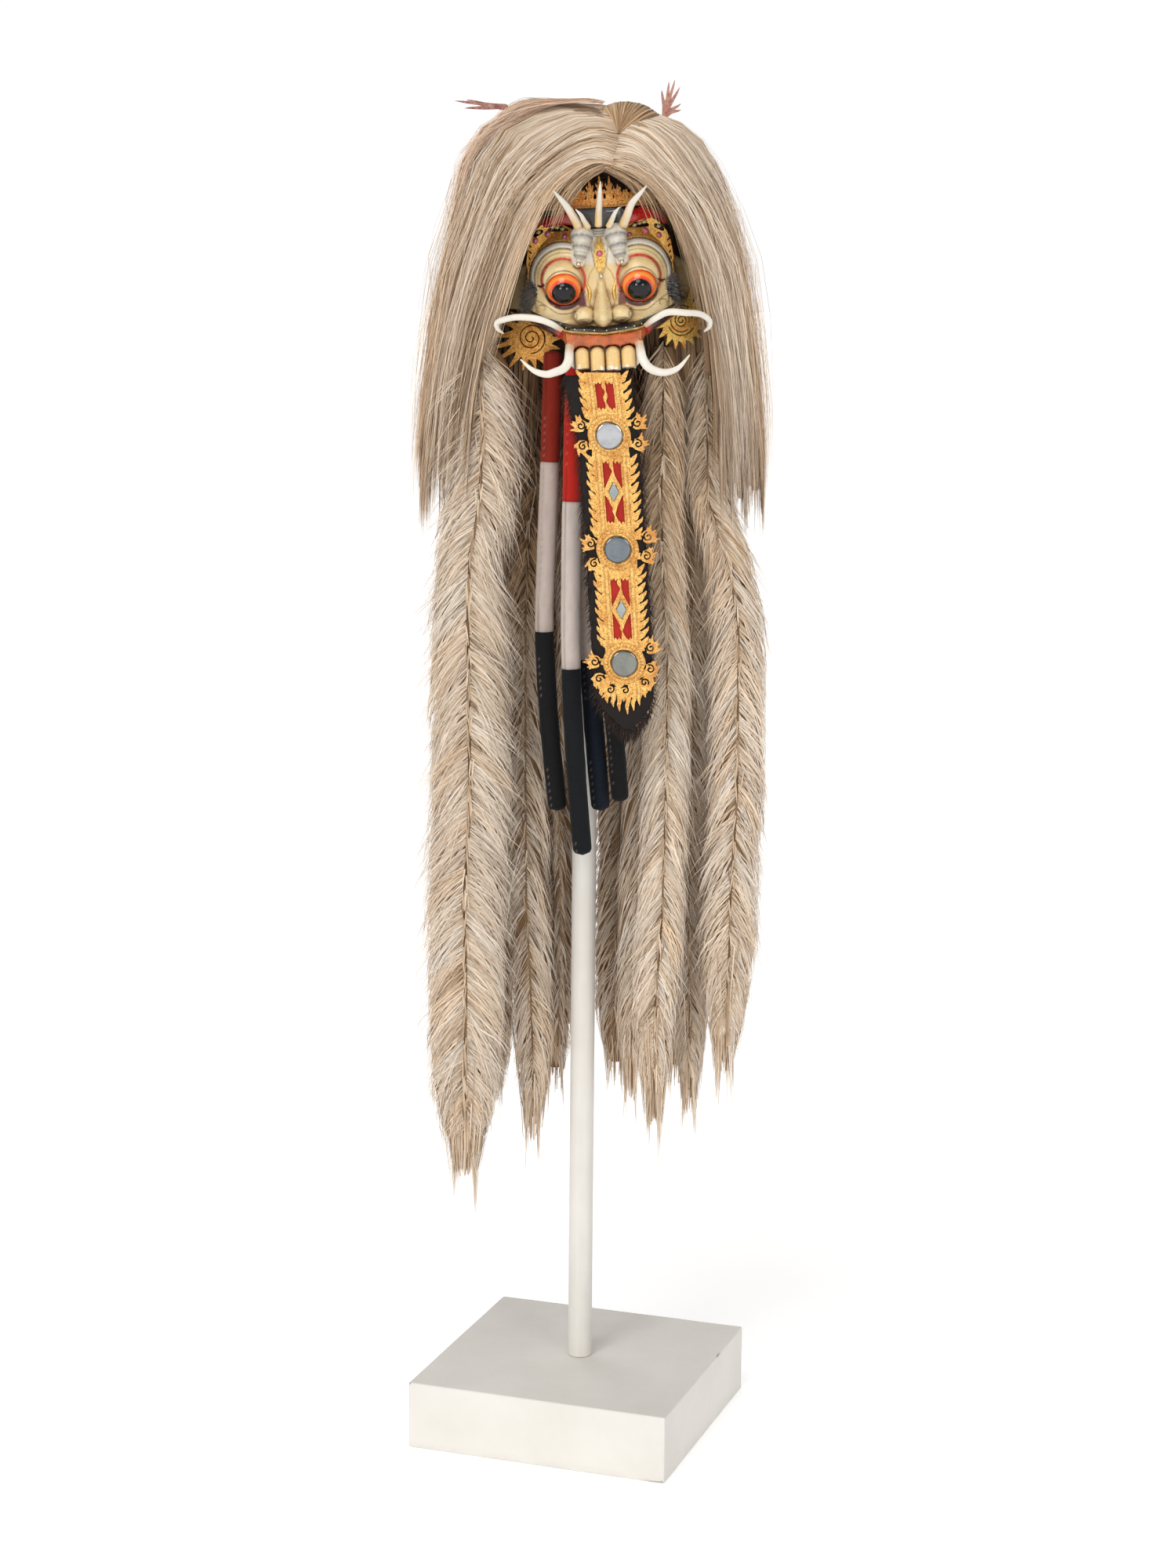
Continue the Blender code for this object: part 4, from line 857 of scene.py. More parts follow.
STRANDS = {"lock_left_front": 6600, "lock_right_front": 4400, "lock_right_outer": 3000, "lock_right_inner": 2600, "lock_left_inner": 2200,
           "lock_back_1": 1050, "lock_back_2": 1050, "lock_back_3": 1050, "lock_back_4": 1050}
for number, (name, row) in enumerate(LOCKS.items()):
    front = "front" in name
    count = STRANDS.get(name, 1250)
    # shade is painted shade on the upper part of each lock.
    plait(name, lock_rows(*row), row[7] / row[6], 300 + number * 11, int(count * FEW), 1.75 if name == "lock_left_front" else 1.30,
          shade={"lock_left_inner": 0.40, "lock_right_back": 0.22, "lock_right_inner": 0.20, "lock_right_front": 0.16, "lock_right_outer": 0.06,
                 "lock_back_1": 0.24, "lock_back_2": 0.24}.get(name, 0.0))

thin = np.array([(-0.0370, 0.0600, 1.560, 0.006), (-0.0370, 0.0600, 1.300, 0.010), (-0.0380, 0.0620, 0.900, 0.011),
                 (-0.0380, 0.0620, 0.620, 0.009), (-0.0380, 0.0620, 0.560, 0.003)])
plait("lock_thin", thin, 1.0, 900, int(700 * FEW), 1.0, 0.016, (0.030, 0.060))

# ---------------------------------------------------------------- the carved face
def face_point(u, w, d):
    u, w, d = np.broadcast_arrays(np.asarray(u, float), np.asarray(w, float), np.asarray(d, float))
    return np.stack([EYE_MID[0] + u * CR - w * SR, -d, EYE_MID[1] + u * SR + w * CR], -1)


def face_vector(u, w, d):
    return np.array([u * CR - w * SR, -d, u * SR + w * CR])


def smax(a, b, k=0.002):
    h = np.clip(0.5 + 0.5 * (a - b) / k, 0, 1)
    return b * (1 - h) + a * h + k * h * (1 - h)


def dome_on(u, w, cu, cw, ru, rw, base, rise):
    q = 1 - ((u - cu) / ru) ** 2 - ((w - cw) / rw) ** 2
    return np.where(q > 0, base + rise * np.sqrt(np.maximum(q, 0)), -1.0)


def mound(u, w, cu, cw, ru, rw, h):
    return h * np.exp(-(((u - cu) / ru) ** 2 + ((w - cw) / rw) ** 2))


def face_base(u, w):
    e = np.sqrt((u / FACE_HALF_WIDTH) ** 2 + ((w + 0.010) / FACE_HALF_HEIGHT) ** 2)
    d = RIM_D + FACE_RISE * np.sqrt(np.maximum(0.0, 1.0 - np.minimum(e, 1.0) ** 2.2))
    d = d - 0.10 * np.maximum(0.0, e - 1.0)
    muzzle = step(-0.045, -0.062, w) * step(0.062, 0.046, np.abs(u))
    return d + muzzle * np.maximum(0.0, 0.170 - d)


RING_W = 0.0085                                   # height of the red rings' centres
LIP_A = np.array([0.0, 0.028, 0.050, 0.070, 0.085, 0.100, 0.120])
LIP_W = np.array([-0.0625, -0.0595, -0.0570, -0.0490, -0.0425, -0.0345, -0.0250])
LIP_H = np.array([0.0030, 0.0036, 0.0034, 0.0024, 0.0018, 0.0014, 0.0010])
TEETH = ((-0.0318, 0.0102, -0.1150), (-0.0106, 0.0105, -0.1185), (0.0110, 0.0105, -0.1185), (0.0326, 0.0104, -0.1160))


def lip_line(a):
    fine = np.linspace(0, 0.13, 131)
    pad = np.interp(fine, LIP_A, LIP_W)
    pad = np.convolve(np.pad(pad, 8, mode="edge"), np.ones(17) / 17, "valid")
    return np.interp(a, fine, pad)


def brow_k(a, w):
    """0 at the red ring's inner edge, 1 at the brow's outer edge."""
    r0 = np.hypot(a - EYE_HALF, w - RING_W)
    cosine = (w - RING_W) / np.maximum(r0, 1e-6)
    return (r0 - 0.0288) / (0.0175 + 0.0060 * cosine), r0


def gum_edge(u):
    low = np.full(np.shape(u), -0.0880)
    for c, h, _ in TEETH:
        q = 1 - ((u - c) / (h + 0.0004)) ** 2
        low = np.where(q > 0, np.maximum(low, -0.0880 + 0.0052 * np.sqrt(np.maximum(q, 0))), low)
    return low


def carve(u, w):
    """How far the carved front stands before the pole's axis."""
    a = np.abs(u)
    lip = lip_line(a)
    d = face_base(u, w)
    d = d + mound(a, w, 0.074, -0.030, 0.026, 0.019, 0.018) * step(-0.010, 0.001, w - lip)
    d = d + mound(a, w, 0.0525, 0.045, 0.045, 0.018, 0.014)
    # brow bands
    k, r0 = brow_k(a, w)
    over = step(-0.012, 0.006, w) * step(0.028, 0.034, a + 0.10 * np.maximum(w - 0.02, 0))

    def roll(k0, k1, h):
        x = (k - k0) / (k1 - k0)
        return np.where((x > 0) & (x < 1), h * np.sqrt(np.maximum(0, 1 - (2 * x - 1) ** 2)), 0)

    bands = roll(0.20, 0.42, 0.0022) + roll(0.42, 0.66, 0.0030) + roll(0.66, 1.0, 0.0048)
    d = d + over * (bands - 0.0020 * step(0.98, 1.06, k) * step(1.6, 1.2, k))
    # lids and the red rings round them
    low = step(-0.030, -0.012, w)
    d = smax(d, np.where(low > 0, dome_on(a, w, EYE_HALF, RING_W, 0.0295, 0.0295, 0.1475, 0.0250), -1.0), 0.0015)
    ring = np.exp(-(((r0 - 0.0302) / 0.0016) ** 2)) * step(-0.024, -0.010, w)
    d = d + 0.0026 * ring
    below = step(-0.004, -0.020, w) * step(0.036, 0.028, r0)
    d = d - 0.004 * below
    # forehead
    t = np.clip(((a - 0.0235) * 0.006 - (w - 0.068) * 0.034) / 0.00119, 0, 1)
    rr = 0.0140 - 0.0050 * t
    q = rr ** 2 - (a - 0.0235 - 0.006 * t) ** 2 - (w - 0.068 + 0.034 * t) ** 2
    d = np.where(q > 0, np.maximum(d, 0.157 + 0.006 * t + np.sqrt(np.maximum(q, 0)) * 0.8), d)
    d = d + 0.003 * np.exp(-((a / 0.012) ** 2)) * step(0.060, 0.068, w) * step(0.082, 0.072, w)
    # nose
    half = np.interp(w, [-0.058, -0.052, -0.046, -0.036, -0.022, -0.006, 0.012], [0.004, 0.0105, 0.0150, 0.0145, 0.0105, 0.0068, 0.0050])
    ridge = np.interp(w, [-0.058, -0.053, -0.047, -0.042, -0.030, -0.012, 0.004, 0.014], [0.176, 0.196, 0.2065, 0.2085, 0.1985, 0.180, 0.1665, 0.157])
    q = 1 - (a / half) ** 2
    nose = np.where((q > 0) & (w < 0.014) & (w > -0.0585), 0.150 + (ridge - 0.150) * np.sqrt(np.maximum(q, 0)) ** 1.1, -1)
    d = smax(d, nose, 0.0035)
    d = smax(d, dome_on(a, w, 0.0255, -0.0405, 0.0145, 0.0120, 0.1640, 0.0175), 0.0025)
    hole = np.exp(-(((a - 0.0262) / 0.0075) ** 2 + ((w + 0.0495 - 0.10 * (a - 0.026)) / 0.0022) ** 2))
    d = d - 0.0060 * hole
    # lips, gum, jaw sides
    thick = np.interp(a, LIP_A, LIP_H)
    d = d + 0.0050 * np.exp(-(((w - lip) / (thick * 1.25)) ** 2)) * step(0.105, 0.085, a)
    d = d + 0.0028 * np.exp(-(((w - lip + thick + 0.0016) / 0.0014) ** 2)) * step(0.066, 0.056, a)
    edge = gum_edge(u)
    inside = step(0.056, 0.052, a)
    gum = step(edge - 0.0006, edge + 0.0008, w) * step(lip - thick - 0.0010, lip - thick - 0.0040, w) * inside
    mid = np.clip((w - edge) / np.maximum(lip - thick - edge, 1e-3), 0, 1)
    d = np.where(gum > 0, np.maximum(d, gum * (0.1765 + 0.0045 * np.sqrt(np.clip(4 * mid * (1 - mid), 0, 1)))), d)
    mouth = step(0.0455, 0.0435, a) * step(edge, edge - 0.0010, w)
    d = d * (1 - mouth) + mouth * 0.1690
    jaw = np.exp(-(((a - 0.0475) / 0.0042) ** 2)) * step(-0.074, -0.084, w)
    d = d + jaw * 0.0065
    return d


SKIN_TONE, SKIN_HIGH, SKIN_DEEP = np.array([0.660, 0.470, 0.195]), np.array([0.760, 0.620, 0.360]), np.array([0.330, 0.190, 0.070])
RED, DARK_RED, ORANGE, BLACK = np.array([0.560, 0.022, 0.014]), np.array([0.160, 0.012, 0.010]), np.array([0.800, 0.185, 0.028]), np.array([0.014, 0.012, 0.011])
WHITE_GREY, GREY_LINE, BROWN = np.array([0.720, 0.685, 0.600]), np.array([0.115, 0.108, 0.098]), np.array([0.120, 0.050, 0.024])
GOLD_PAINT, BONE_TONE = np.array([0.640, 0.360, 0.070]), np.array([0.830, 0.775, 0.680])


def line_mask(u, w, points, width, soft=0.0005):
    """1 on a thin line through the points."""
    best = np.full(np.shape(u), 9.0)
    pts = smooth_path([(*p, 0) for p in points], 28)
    for p, q in zip(pts[:-1], pts[1:]):
        e = q[:2] - p[:2]
        t = np.clip(((u - p[0]) * e[0] + (w - p[1]) * e[1]) / max(float(e @ e), 1e-12), 0, 1)
        best = np.minimum(best, np.hypot(u - p[0] - t * e[0], w - p[1] - t * e[1]))
    return 1 - step(width / 2, width / 2 + soft, best)


def lay(colour, mask, tone):
    return colour * (1 - mask[..., None]) + np.asarray(tone) * mask[..., None]


def skin_paint(u, w, cavity):
    a = np.abs(u)
    lip = lip_line(a)
    thick = np.interp(a, LIP_A, LIP_H)
    cloud = noise(u * 60, w * 60, 31) * 0.5 + noise(u * 160, w * 160, 32) * 0.5
    # Painted light and shade from the carving's curvature: raised parts are painted lighter, as painted highlight, and
    # hollows darker, as painted shade and old patina; the cloud adds random tone.
    c = lay(np.broadcast_to(SKIN_TONE, (*u.shape, 3)).copy(), np.clip(0.45 + 0.4 * cloud + 140 * np.maximum(cavity, 0), 0, 1), SKIN_HIGH)
    c = lay(c, np.clip(-cavity * 420, 0, 0.80), SKIN_DEEP)
    # engraved curls of the cheeks
    for side in (-1, 1):
        s = side * u
        curls = [((0.094, -0.016), (0.084, -0.021), (0.074, -0.028), (0.062, -0.036), (0.048, -0.037), (0.036, -0.034)),
                 ((0.089, -0.033), (0.090, -0.026), (0.084, -0.0235), (0.079, -0.027), (0.081, -0.031)),
                 ((0.024, -0.006), (0.021, -0.016), (0.017, -0.026), (0.013, -0.032)),
                 ((0.040, -0.034), (0.036, -0.040), (0.038, -0.046))]
        for k, pts in enumerate(curls):
            c = lay(c, 0.80 * line_mask(s, w, pts, 0.0009), BROWN)
    # eyes
    k, r0 = brow_k(a, w)
    over = step(-0.010, 0.004, w) * step(0.026, 0.031, a + 0.10 * np.maximum(w - 0.02, 0))
    up = step(0.004, 0.014, w)
    c = lay(c, over * step(0.20, 0.24, k) * step(0.64, 0.60, k) * 0.7, (0.740, 0.575, 0.300))
    c = lay(c, over * np.exp(-(((k - 0.425) / 0.030) ** 2)) * 0.85, (0.300, 0.220, 0.120))
    c = lay(c, over * np.exp(-(((k - 0.655) / 0.045) ** 2)) * 0.95, GREY_LINE)
    c = lay(c, over * step(0.69, 0.76, k) * step(1.03, 0.99, k), (0.770, 0.730, 0.640))
    c = lay(c, over * np.exp(-(((k - 1.03) / 0.025) ** 2)) * 0.8, (0.280, 0.100, 0.050))
    inner = step(EYE_HALF, EYE_HALF - 0.012, a)
    ring = step(0.0280, 0.0286, r0) * step(0.0322, 0.0315, r0) * np.maximum(step(-0.012, -0.003, w), inner * step(-0.030, -0.024, w))
    c = lay(c, ring, RED)
    ball = np.hypot(a - EYE_HALF, (w + 0.0015) * 1.06)
    c = lay(c, np.exp(-(((ball - 0.0250) / 0.0011) ** 2)) * 0.9, (0.090, 0.030, 0.018))
    under = step(-0.004, -0.013, w) * step(0.0300, 0.0280, np.hypot(a - EYE_HALF + 0.001, w + 0.003)) * step(0.0235, 0.0245, ball)
    c = lay(c, under, (0.060, 0.008, 0.008))
    corner = step(0.0018, 0.0, np.abs(a - 0.0275) - 0.0045 * step(0.002, -0.022, w)) * step(0.002, -0.006, w) * step(-0.0290, -0.0270, w)
    c = lay(c, corner * step(0.0235, 0.0245, ball), (0.110, 0.010, 0.009))
    tail = line_mask(a, w, ((0.0800, 0.004), (0.0840, 0.001), (0.0880, 0.003)), 0.0030)
    c = lay(c, tail, (0.050, 0.010, 0.010))
    # the dark sides with their painted hair
    side_hair = dome_on(a, w, 0.1025, -0.0125, 0.0110, 0.0130, 0.0, 1.0)
    ragged = side_hair + 0.85 * noise(a * 420, w * 200, 35)
    c = lay(c, step(0.20, 0.60, ragged), BLACK)
    c = lay(c, 0.9 * np.exp(-(((a - 0.0945 - 0.10 * (w + 0.01)) / 0.0013) ** 2)) * step(-0.040, -0.030, w) * step(0.012, 0.004, w), (0.060, 0.035, 0.022))
    c = lay(c, step(0.092, 0.097, a) * step(-0.036, -0.044, w) * 0.85, (0.075, 0.045, 0.030))
    c = lay(c, 0.55 * step(0.104, 0.110, a) * step(-0.05, -0.02, w) * np.clip(noise(a * 260, w * 120, 39) + 0.1, 0, 1), (0.30, 0.19, 0.08))
    ear = step(0.108, 0.112, a)
    c = lay(c, ear * 0.55, (0.560, 0.400, 0.190))
    # forehead
    top = step(0.0755, 0.0775, w + 0.02 * a)
    saddle = step(0.014, 0.010, a) * step(0.060, 0.064, w)
    c = lay(c, saddle, (0.720, 0.670, 0.560))
    for h in (0.066, 0.0695, 0.0730):
        c = lay(c, 0.75 * line_mask(u, w, ((-0.012, h + 0.0035), (-0.005, h + 0.0006), (0, h), (0.005, h + 0.0006), (0.012, h + 0.0035)), 0.0009), GREY_LINE)
    grey = step(0.0168, 0.0155, np.hypot(a - 0.0235, np.where(w > 0.068, w - 0.068, 0))) * step(0.026, 0.032, w)
    c = lay(c, grey * 0.9, WHITE_GREY)
    for p in (((0.0115, 0.052), (0.0100, 0.040), (0.0080, 0.026)), ((0.0090, 0.024), (0.0150, 0.016), (0.0190, 0.004))):
        c = lay(c, 0.8 * line_mask(a, w, p, 0.0012), (0.400, 0.235, 0.060))
    c = lay(c, top, BLACK)
    # nose and lips
    c = lay(c, np.exp(-(((a - 0.0262) / 0.0080) ** 2 + ((w + 0.0495 - 0.10 * (a - 0.026)) / 0.0024) ** 2)) * 1.0, (0.085, 0.030, 0.022))
    c = lay(c, 0.75 * line_mask(a, w, ((0.0150, -0.0500), (0.0200, -0.0460), (0.0280, -0.0452), (0.0360, -0.0475)), 0.0010), BROWN)
    ticks = 0.5 + 0.5 * np.sin(a * 3600)
    c = lay(c, 0.35 * ticks * step(0.0045, 0.0020, np.abs(w - lip - thick - 0.0020)) * step(0.094, 0.090, a) * step(0.016, 0.022, a), BROWN)
    c = lay(c, step(thick + 0.0008, thick + 0.0001, np.abs(w - lip - 0.0009) - 0.0010) * step(0.104, 0.100, a), BLACK)
    c = lay(c, np.exp(-(((w - lip + thick + 0.0016) / 0.0013) ** 2)) * step(0.068, 0.060, a), (0.780, 0.540, 0.140))
    edge = gum_edge(u)
    gum = step(edge - 0.0002, edge + 0.0005, w) * step(lip - thick - 0.0022, lip - thick - 0.0030, w) * step(0.0565, 0.0545, a)
    g = 0.5 + 0.5 * noise(u * 130, w * 200, 36)
    tone = np.array([0.440, 0.085, 0.014]) * (0.70 + 0.56 * g)[..., None]
    c = c * (1 - gum[..., None]) + tone * gum[..., None]
    rim = np.exp(-(((w - edge - 0.0008) / 0.0013) ** 2)) * step(0.054, 0.050, a)
    c = lay(c, 0.9 * rim, (0.330, 0.018, 0.012))
    mouth = step(0.0445, 0.0435, a) * step(edge + 0.0002, edge - 0.0006, w)
    c = lay(c, mouth, (0.022, 0.010, 0.007))
    jaw = step(0.0425, 0.0435, a) * step(-0.078, -0.082, w)
    c = lay(c, jaw, (0.800, 0.750, 0.650))
    c = lay(c, np.exp(-(((a - 0.0520) / 0.0014) ** 2)) * step(-0.076, -0.084, w), (0.500, 0.030, 0.018))
    corner = step(0.0475, 0.0520, a) * step(lip - thick - 0.0020, lip - thick - 0.0035, w) * (1 - gum)
    c = lay(c, corner * step(-0.100, -0.094, w), np.array([0.420, 0.020, 0.014]))
    # Painted shadow: dark brown past the red at the mouth's corners.
    c = lay(c, corner * step(0.0640, 0.0700, a), (0.050, 0.022, 0.016))
    return np.clip(c, 0.004, 0.95)


OUT_DEG = np.array((-90, -66, -59, -50, -38, -24, -17, -8, 6, 18, 26, 45, 62, 90.0))
OUT_R = np.array((0.1060, 0.1130, 0.0990, 0.0850, 0.0900, 0.1030, 0.1180, EAR_REACH, EAR_REACH, 0.1240, 0.1080, 0.1080, 0.1040, 0.0950))


def outline(phi):
    deg = np.degrees(np.arcsin(np.sin(phi)))
    fine = np.linspace(-90, 90, 361)
    r = np.interp(fine, OUT_DEG, OUT_R)
    r = np.convolve(np.pad(r, 5, mode="reflect"), np.ones(11) / 11, "valid")
    return np.interp(deg, fine, r)


mask_heap = Heap()
N_FACE = 170
s, t = np.meshgrid(np.linspace(-1, 1, N_FACE), np.linspace(-1, 1, N_FACE), indexing="ij")
wide = np.abs(s) > np.abs(t)
phi = np.where(wide, (math.pi / 4) * t / np.where(np.abs(s) < 1e-9, 1, s) + np.where(s < 0, math.pi, 0),
               math.pi / 2 - (math.pi / 4) * s / np.where(np.abs(t) < 1e-9, 1, t) + np.where(t < 0, math.pi, 0))
rad = np.maximum(np.abs(s), np.abs(t))
reach = outline(phi)
FU, FW = rad * reach * np.cos(phi), -0.010 + rad * reach * np.sin(phi)
FD = carve(FU, FW)
soft = FD.copy()
for _ in range(6):
    soft[1:-1, 1:-1] = (soft[:-2, 1:-1] + soft[2:, 1:-1] + soft[1:-1, :-2] + soft[1:-1, 2:]) / 4
cavity = FD - soft
FD = FD + 0.00016 * noise(FU * 300, FW * 300, 37) + 0.0003 * noise(FU * 70, FW * 70, 38)
round_rim = 0.0035 * step(0.965, 1.0, rad)
front = face_point(FU, FW, FD - round_rim)
mask_heap.add(front, grid_faces(N_FACE, N_FACE)[:, ::-1], col=skin_paint(FU, FW, cavity))
# the hollowed back, cut with a gouge
n = N_FACE
loop = np.r_[np.arange(n) * n, (n - 1) * n + np.arange(1, n), (np.arange(n - 2, -1, -1)) * n + n - 1, np.arange(n - 2, 0, -1)]
bu, bw = FU.ravel()[loop], FW.ravel()[loop]
rings = np.linspace(1.0, 0.0, 15)[:-1]
U = rings[:, None] * bu[None]
Wd = rings[:, None] * (bw[None] + 0.010) - 0.010
D = np.minimum(face_base(0.97 * U, 0.97 * (Wd + 0.010) - 0.010), carve(U, Wd)) - FACE_WALL
D = D + (0.0010 * noise(U * 90, Wd * 45, 39) + 0.0004 * noise(U * 260, Wd * 120, 40)) * step(1.0, 0.9, rings)[:, None]
back_points = face_point(U, Wd, D)
m = len(loop)
wood = np.array([0.400, 0.250, 0.130]) * (1 + 0.25 * noise(U * 30, Wd * 160, 41))[..., None]
mask_heap.add(back_points, grid_faces(len(rings), m, close_cols=True), col=wood.reshape(-1, 3))
mask_heap.add(face_point(0, -0.010, D[-1].mean())[None], None, None, col=wood[-1, :1])
tip = mask_heap.n - 1
first = tip - len(rings) * m
j = np.arange(m)
mask_heap.t.append(np.stack([np.full(m, tip), first + (len(rings) - 1) * m + j, first + (len(rings) - 1) * m + (j + 1) % m], 1))
mask_heap.tm.append(np.zeros(m, int))
edge_front = face_point(bu, bw, FD.ravel()[loop] - 0.0035)
mask_heap.add(np.vstack([edge_front, back_points[0]]), np.stack([j, (j + 1) % m, m + (j + 1) % m, m + j], 1)[:, ::-1], col=np.tile([[0.42, 0.28, 0.13]], (2 * m, 1)))

# eyeballs: rings of orange round a glossy black pupil
TILT = math.radians(24)
axis_n, e1, e2 = np.array([0, -math.sin(TILT), math.cos(TILT)]), np.array([1.0, 0, 0]), np.array([0, math.cos(TILT), math.sin(TILT)])
N_ROUND = 56
alpha = np.radians(np.linspace(36, 104, 58))
beta = 2 * math.pi * np.arange(N_ROUND) / N_ROUND
BANDS = [(38, (0.06, 0.012, 0.008)), (42.5, (0.10, 0.012, 0.008)), (44, (0.66, 0.050, 0.012)), (52, (0.74, 0.085, 0.014)), (54, (0.82, 0.190, 0.024)),
         (59, (0.84, 0.215, 0.028)), (60.2, (0.90, 0.420, 0.090)), (61.6, (0.84, 0.215, 0.028)), (65, (0.84, 0.225, 0.030)), (66.2, (0.90, 0.440, 0.100)),
         (67.6, (0.82, 0.200, 0.026)), (74, (0.80, 0.170, 0.022)), (77, (0.70, 0.075, 0.014)), (83, (0.60, 0.045, 0.012)), (85.5, (0.12, 0.026, 0.014)),
         (89, (0.08, 0.022, 0.014)), (110, (0.10, 0.03, 0.02))]
for side in (-1, 1):
    B = np.array([side * EYE_HALF, -0.0015, 0.1585])
    al = alpha[:, None] + 0.012 * noise(beta[None] * 3 + side, alpha[:, None] * 2, 44)
    dirs = (np.cos(alpha)[:, None, None] * axis_n + np.sin(alpha)[:, None, None] * (np.cos(beta)[None, :, None] * e1 + np.sin(beta)[None, :, None] * e2))
    L = B + dirs * 0.0245 * np.array([1, 0.965, 0.98])
    deg = np.degrees(al)
    tint = np.stack([np.interp(deg, [b[0] for b in BANDS], [b[1][i] for b in BANDS]) for i in range(3)], -1)
    mask_heap.add(face_point(L[..., 0], L[..., 1], L[..., 2]), grid_faces(58, N_ROUND, close_cols=True)[:, ::-1], col=tint.reshape(-1, 3), mat=1)
    pa = np.radians(np.r_[0.0, np.linspace(3, 41.5, 14)])
    out = 0.0245 * (1.0 + 0.140 * (1 - (pa / math.radians(41.5)) ** 2))
    dirs = (np.cos(pa)[:, None, None] * axis_n + np.sin(pa)[:, None, None] * (np.cos(beta)[None, :, None] * e1 + np.sin(beta)[None, :, None] * e2))
    L = B + dirs * out[:, None, None] * np.array([1, 0.965, 1.0])
    mask_heap.add(face_point(L[..., 0], L[..., 1], L[..., 2]), grid_faces(15, N_ROUND, close_cols=True)[:, ::-1], col=(0.008, 0.007, 0.007), mat=2)

# teeth
for i, (c, h, low) in enumerate(TEETH):
    rows, cols = 26, 17
    y = np.linspace(0, 1, rows)[:, None]
    x = np.linspace(-1, 1, cols)[None]
    top_w = -0.0840
    hw = h * np.where(y < 0.30, np.sqrt(np.maximum(0.0, 1 - ((0.30 - y) / 0.31) ** 2)), 1.0) * (1 - 0.05 * step(0.93, 1.0, y)) * (1 - 0.02 * y)
    ww = top_w + (low - top_w) * y + 0.0007 * noise(i * 7.3, x * 2, 45) * y
    crown_ = (1 - np.abs(x) ** 3.4) ** 0.5 * np.where(y < 0.25, np.sqrt(np.clip(1 - ((0.25 - y) / 0.26) ** 2, 0, 1)), 1) * (1 - step(0.93, 1.0, y) * 0.9)
    dd = 0.1700 + 0.0125 * crown_ * (1 - 0.10 * y) + 0.0002 * noise(x * 3 + i * 5, y * 9, 46)
    uu = c + hw * x
    stain = 0.5 + 0.5 * noise(uu * 500, ww * 90, 47)
    tone = np.array([0.760, 0.520, 0.215]) * (0.92 + 0.12 * stain)[..., None] * np.ones(3)
    flake = step(0.30, 0.55, noise(uu * 330, ww * 260, 48) + 0.7 * step(0.72, 1.0, y) - 0.25) * step(0.55, 0.8, y + 0 * x)
    tone = lay(tone, flake, (0.82, 0.79, 0.72))
    tone = lay(tone, step(0.80, 1.0, np.abs(x)) * 0.55 + 0 * y, (0.36, 0.20, 0.07))
    ring_pts = face_point(uu, ww + 0 * x, dd)
    mask_heap.add(ring_pts, grid_faces(rows, cols), col=tone.reshape(-1, 3))
    foot = np.stack([ring_pts[-1], face_point(uu[-1], ww[-1] + 0.0002, 0.1640 + 0 * uu[-1])])
    mask_heap.add(foot, grid_faces(2, cols), col=np.tile([[0.66, 0.58, 0.44]], (2 * cols, 1)))

# stepped scrolls of the forehead, each ending in a silver bead
for side in (-1, 1):
    spine = np.array([(0.0225, 0.0720, 0.1560, 0.0130), (0.0232, 0.0690, 0.1610, 0.0158), (0.0238, 0.0640, 0.1640, 0.0155), (0.0243, 0.0600, 0.1660, 0.0132), (0.0245, 0.0582, 0.1668, 0.0112),
                      (0.0248, 0.0562, 0.1675, 0.0122), (0.0256, 0.0510, 0.1690, 0.0124), (0.0264, 0.0468, 0.1700, 0.0105), (0.0266, 0.0455, 0.1702, 0.0082),
                      (0.0268, 0.0442, 0.1705, 0.0092), (0.0276, 0.0405, 0.1712, 0.0090), (0.0283, 0.0375, 0.1716, 0.0070), (0.0286, 0.0362, 0.1718, 0.0050),
                      (0.0290, 0.0345, 0.1722, 0.0052), (0.0295, 0.0325, 0.1726, 0.0044), (0.0298, 0.0312, 0.1728, 0.0026)])
    fine = smooth_path(np.c_[spine[:, :3] * 1.0, spine[:, 3]], 64)
    P3 = face_point(side * fine[:, 0], fine[:, 1], fine[:, 2])
    n_side = 36
    arc = np.arange(64)[:, None]
    hatch = 0.5 + 0.5 * np.sin(np.arange(n_side)[None] * 2 * math.pi / n_side * 18)
    groove = np.interp(np.arange(64), np.linspace(0, 63, len(spine)), [0, 0, 0, 0.25, 0.95, 0.5, 0, 0.3, 0.95, 0.5, 0, 0.3, 0.95, 0.5, 0.2, 0.6])[:, None]
    tone = np.broadcast_to(WHITE_GREY, (64, n_side, 3)) * (1 - 0.26 * hatch[..., None]) * (1 + 0.10 * noise(arc * 0.5, np.arange(n_side)[None] * 0.7, 51))[..., None]
    tone = lay(tone, np.clip(groove + 0 * hatch, 0, 1) * 0.92, GREY_LINE)
    cream = np.interp(np.arange(64), [0, 40, 50, 63], [0, 0.1, 0.45, 0.6])[:, None] + 0 * hatch
    tone = lay(tone, cream * (1 - groove), (0.62, 0.52, 0.34))
    add_tube(mask_heap, P3, fine[:, 3], n_side, col=tone, cap=True)
    add_ball(mask_heap, face_point(side * 0.0301, 0.0300, 0.1765), 0.0032, face_vector(side * 0.2, -0.3, 1), 7, 14, (0.62, 0.60, 0.56), 3)
add_ball(mask_heap, face_point(0.0002, 0.0120, 0.1660), 0.0036, face_vector(0, 0, 1), 7, 14, (0.60, 0.58, 0.54), 3)
# dots along the moustache
for x in (-0.052, -0.040, -0.027, -0.013, 0.004, 0.018, 0.031, 0.043, 0.053):
    w = float(lip_line(abs(x))) - 0.0004
    add_ball(mask_heap, face_point(x, w, float(carve(np.array(x), np.array(w))) + 0.0001), 0.0009, face_vector(0, 0, 1), 4, 8, (0.80, 0.76, 0.66), 0, 0.7, True)
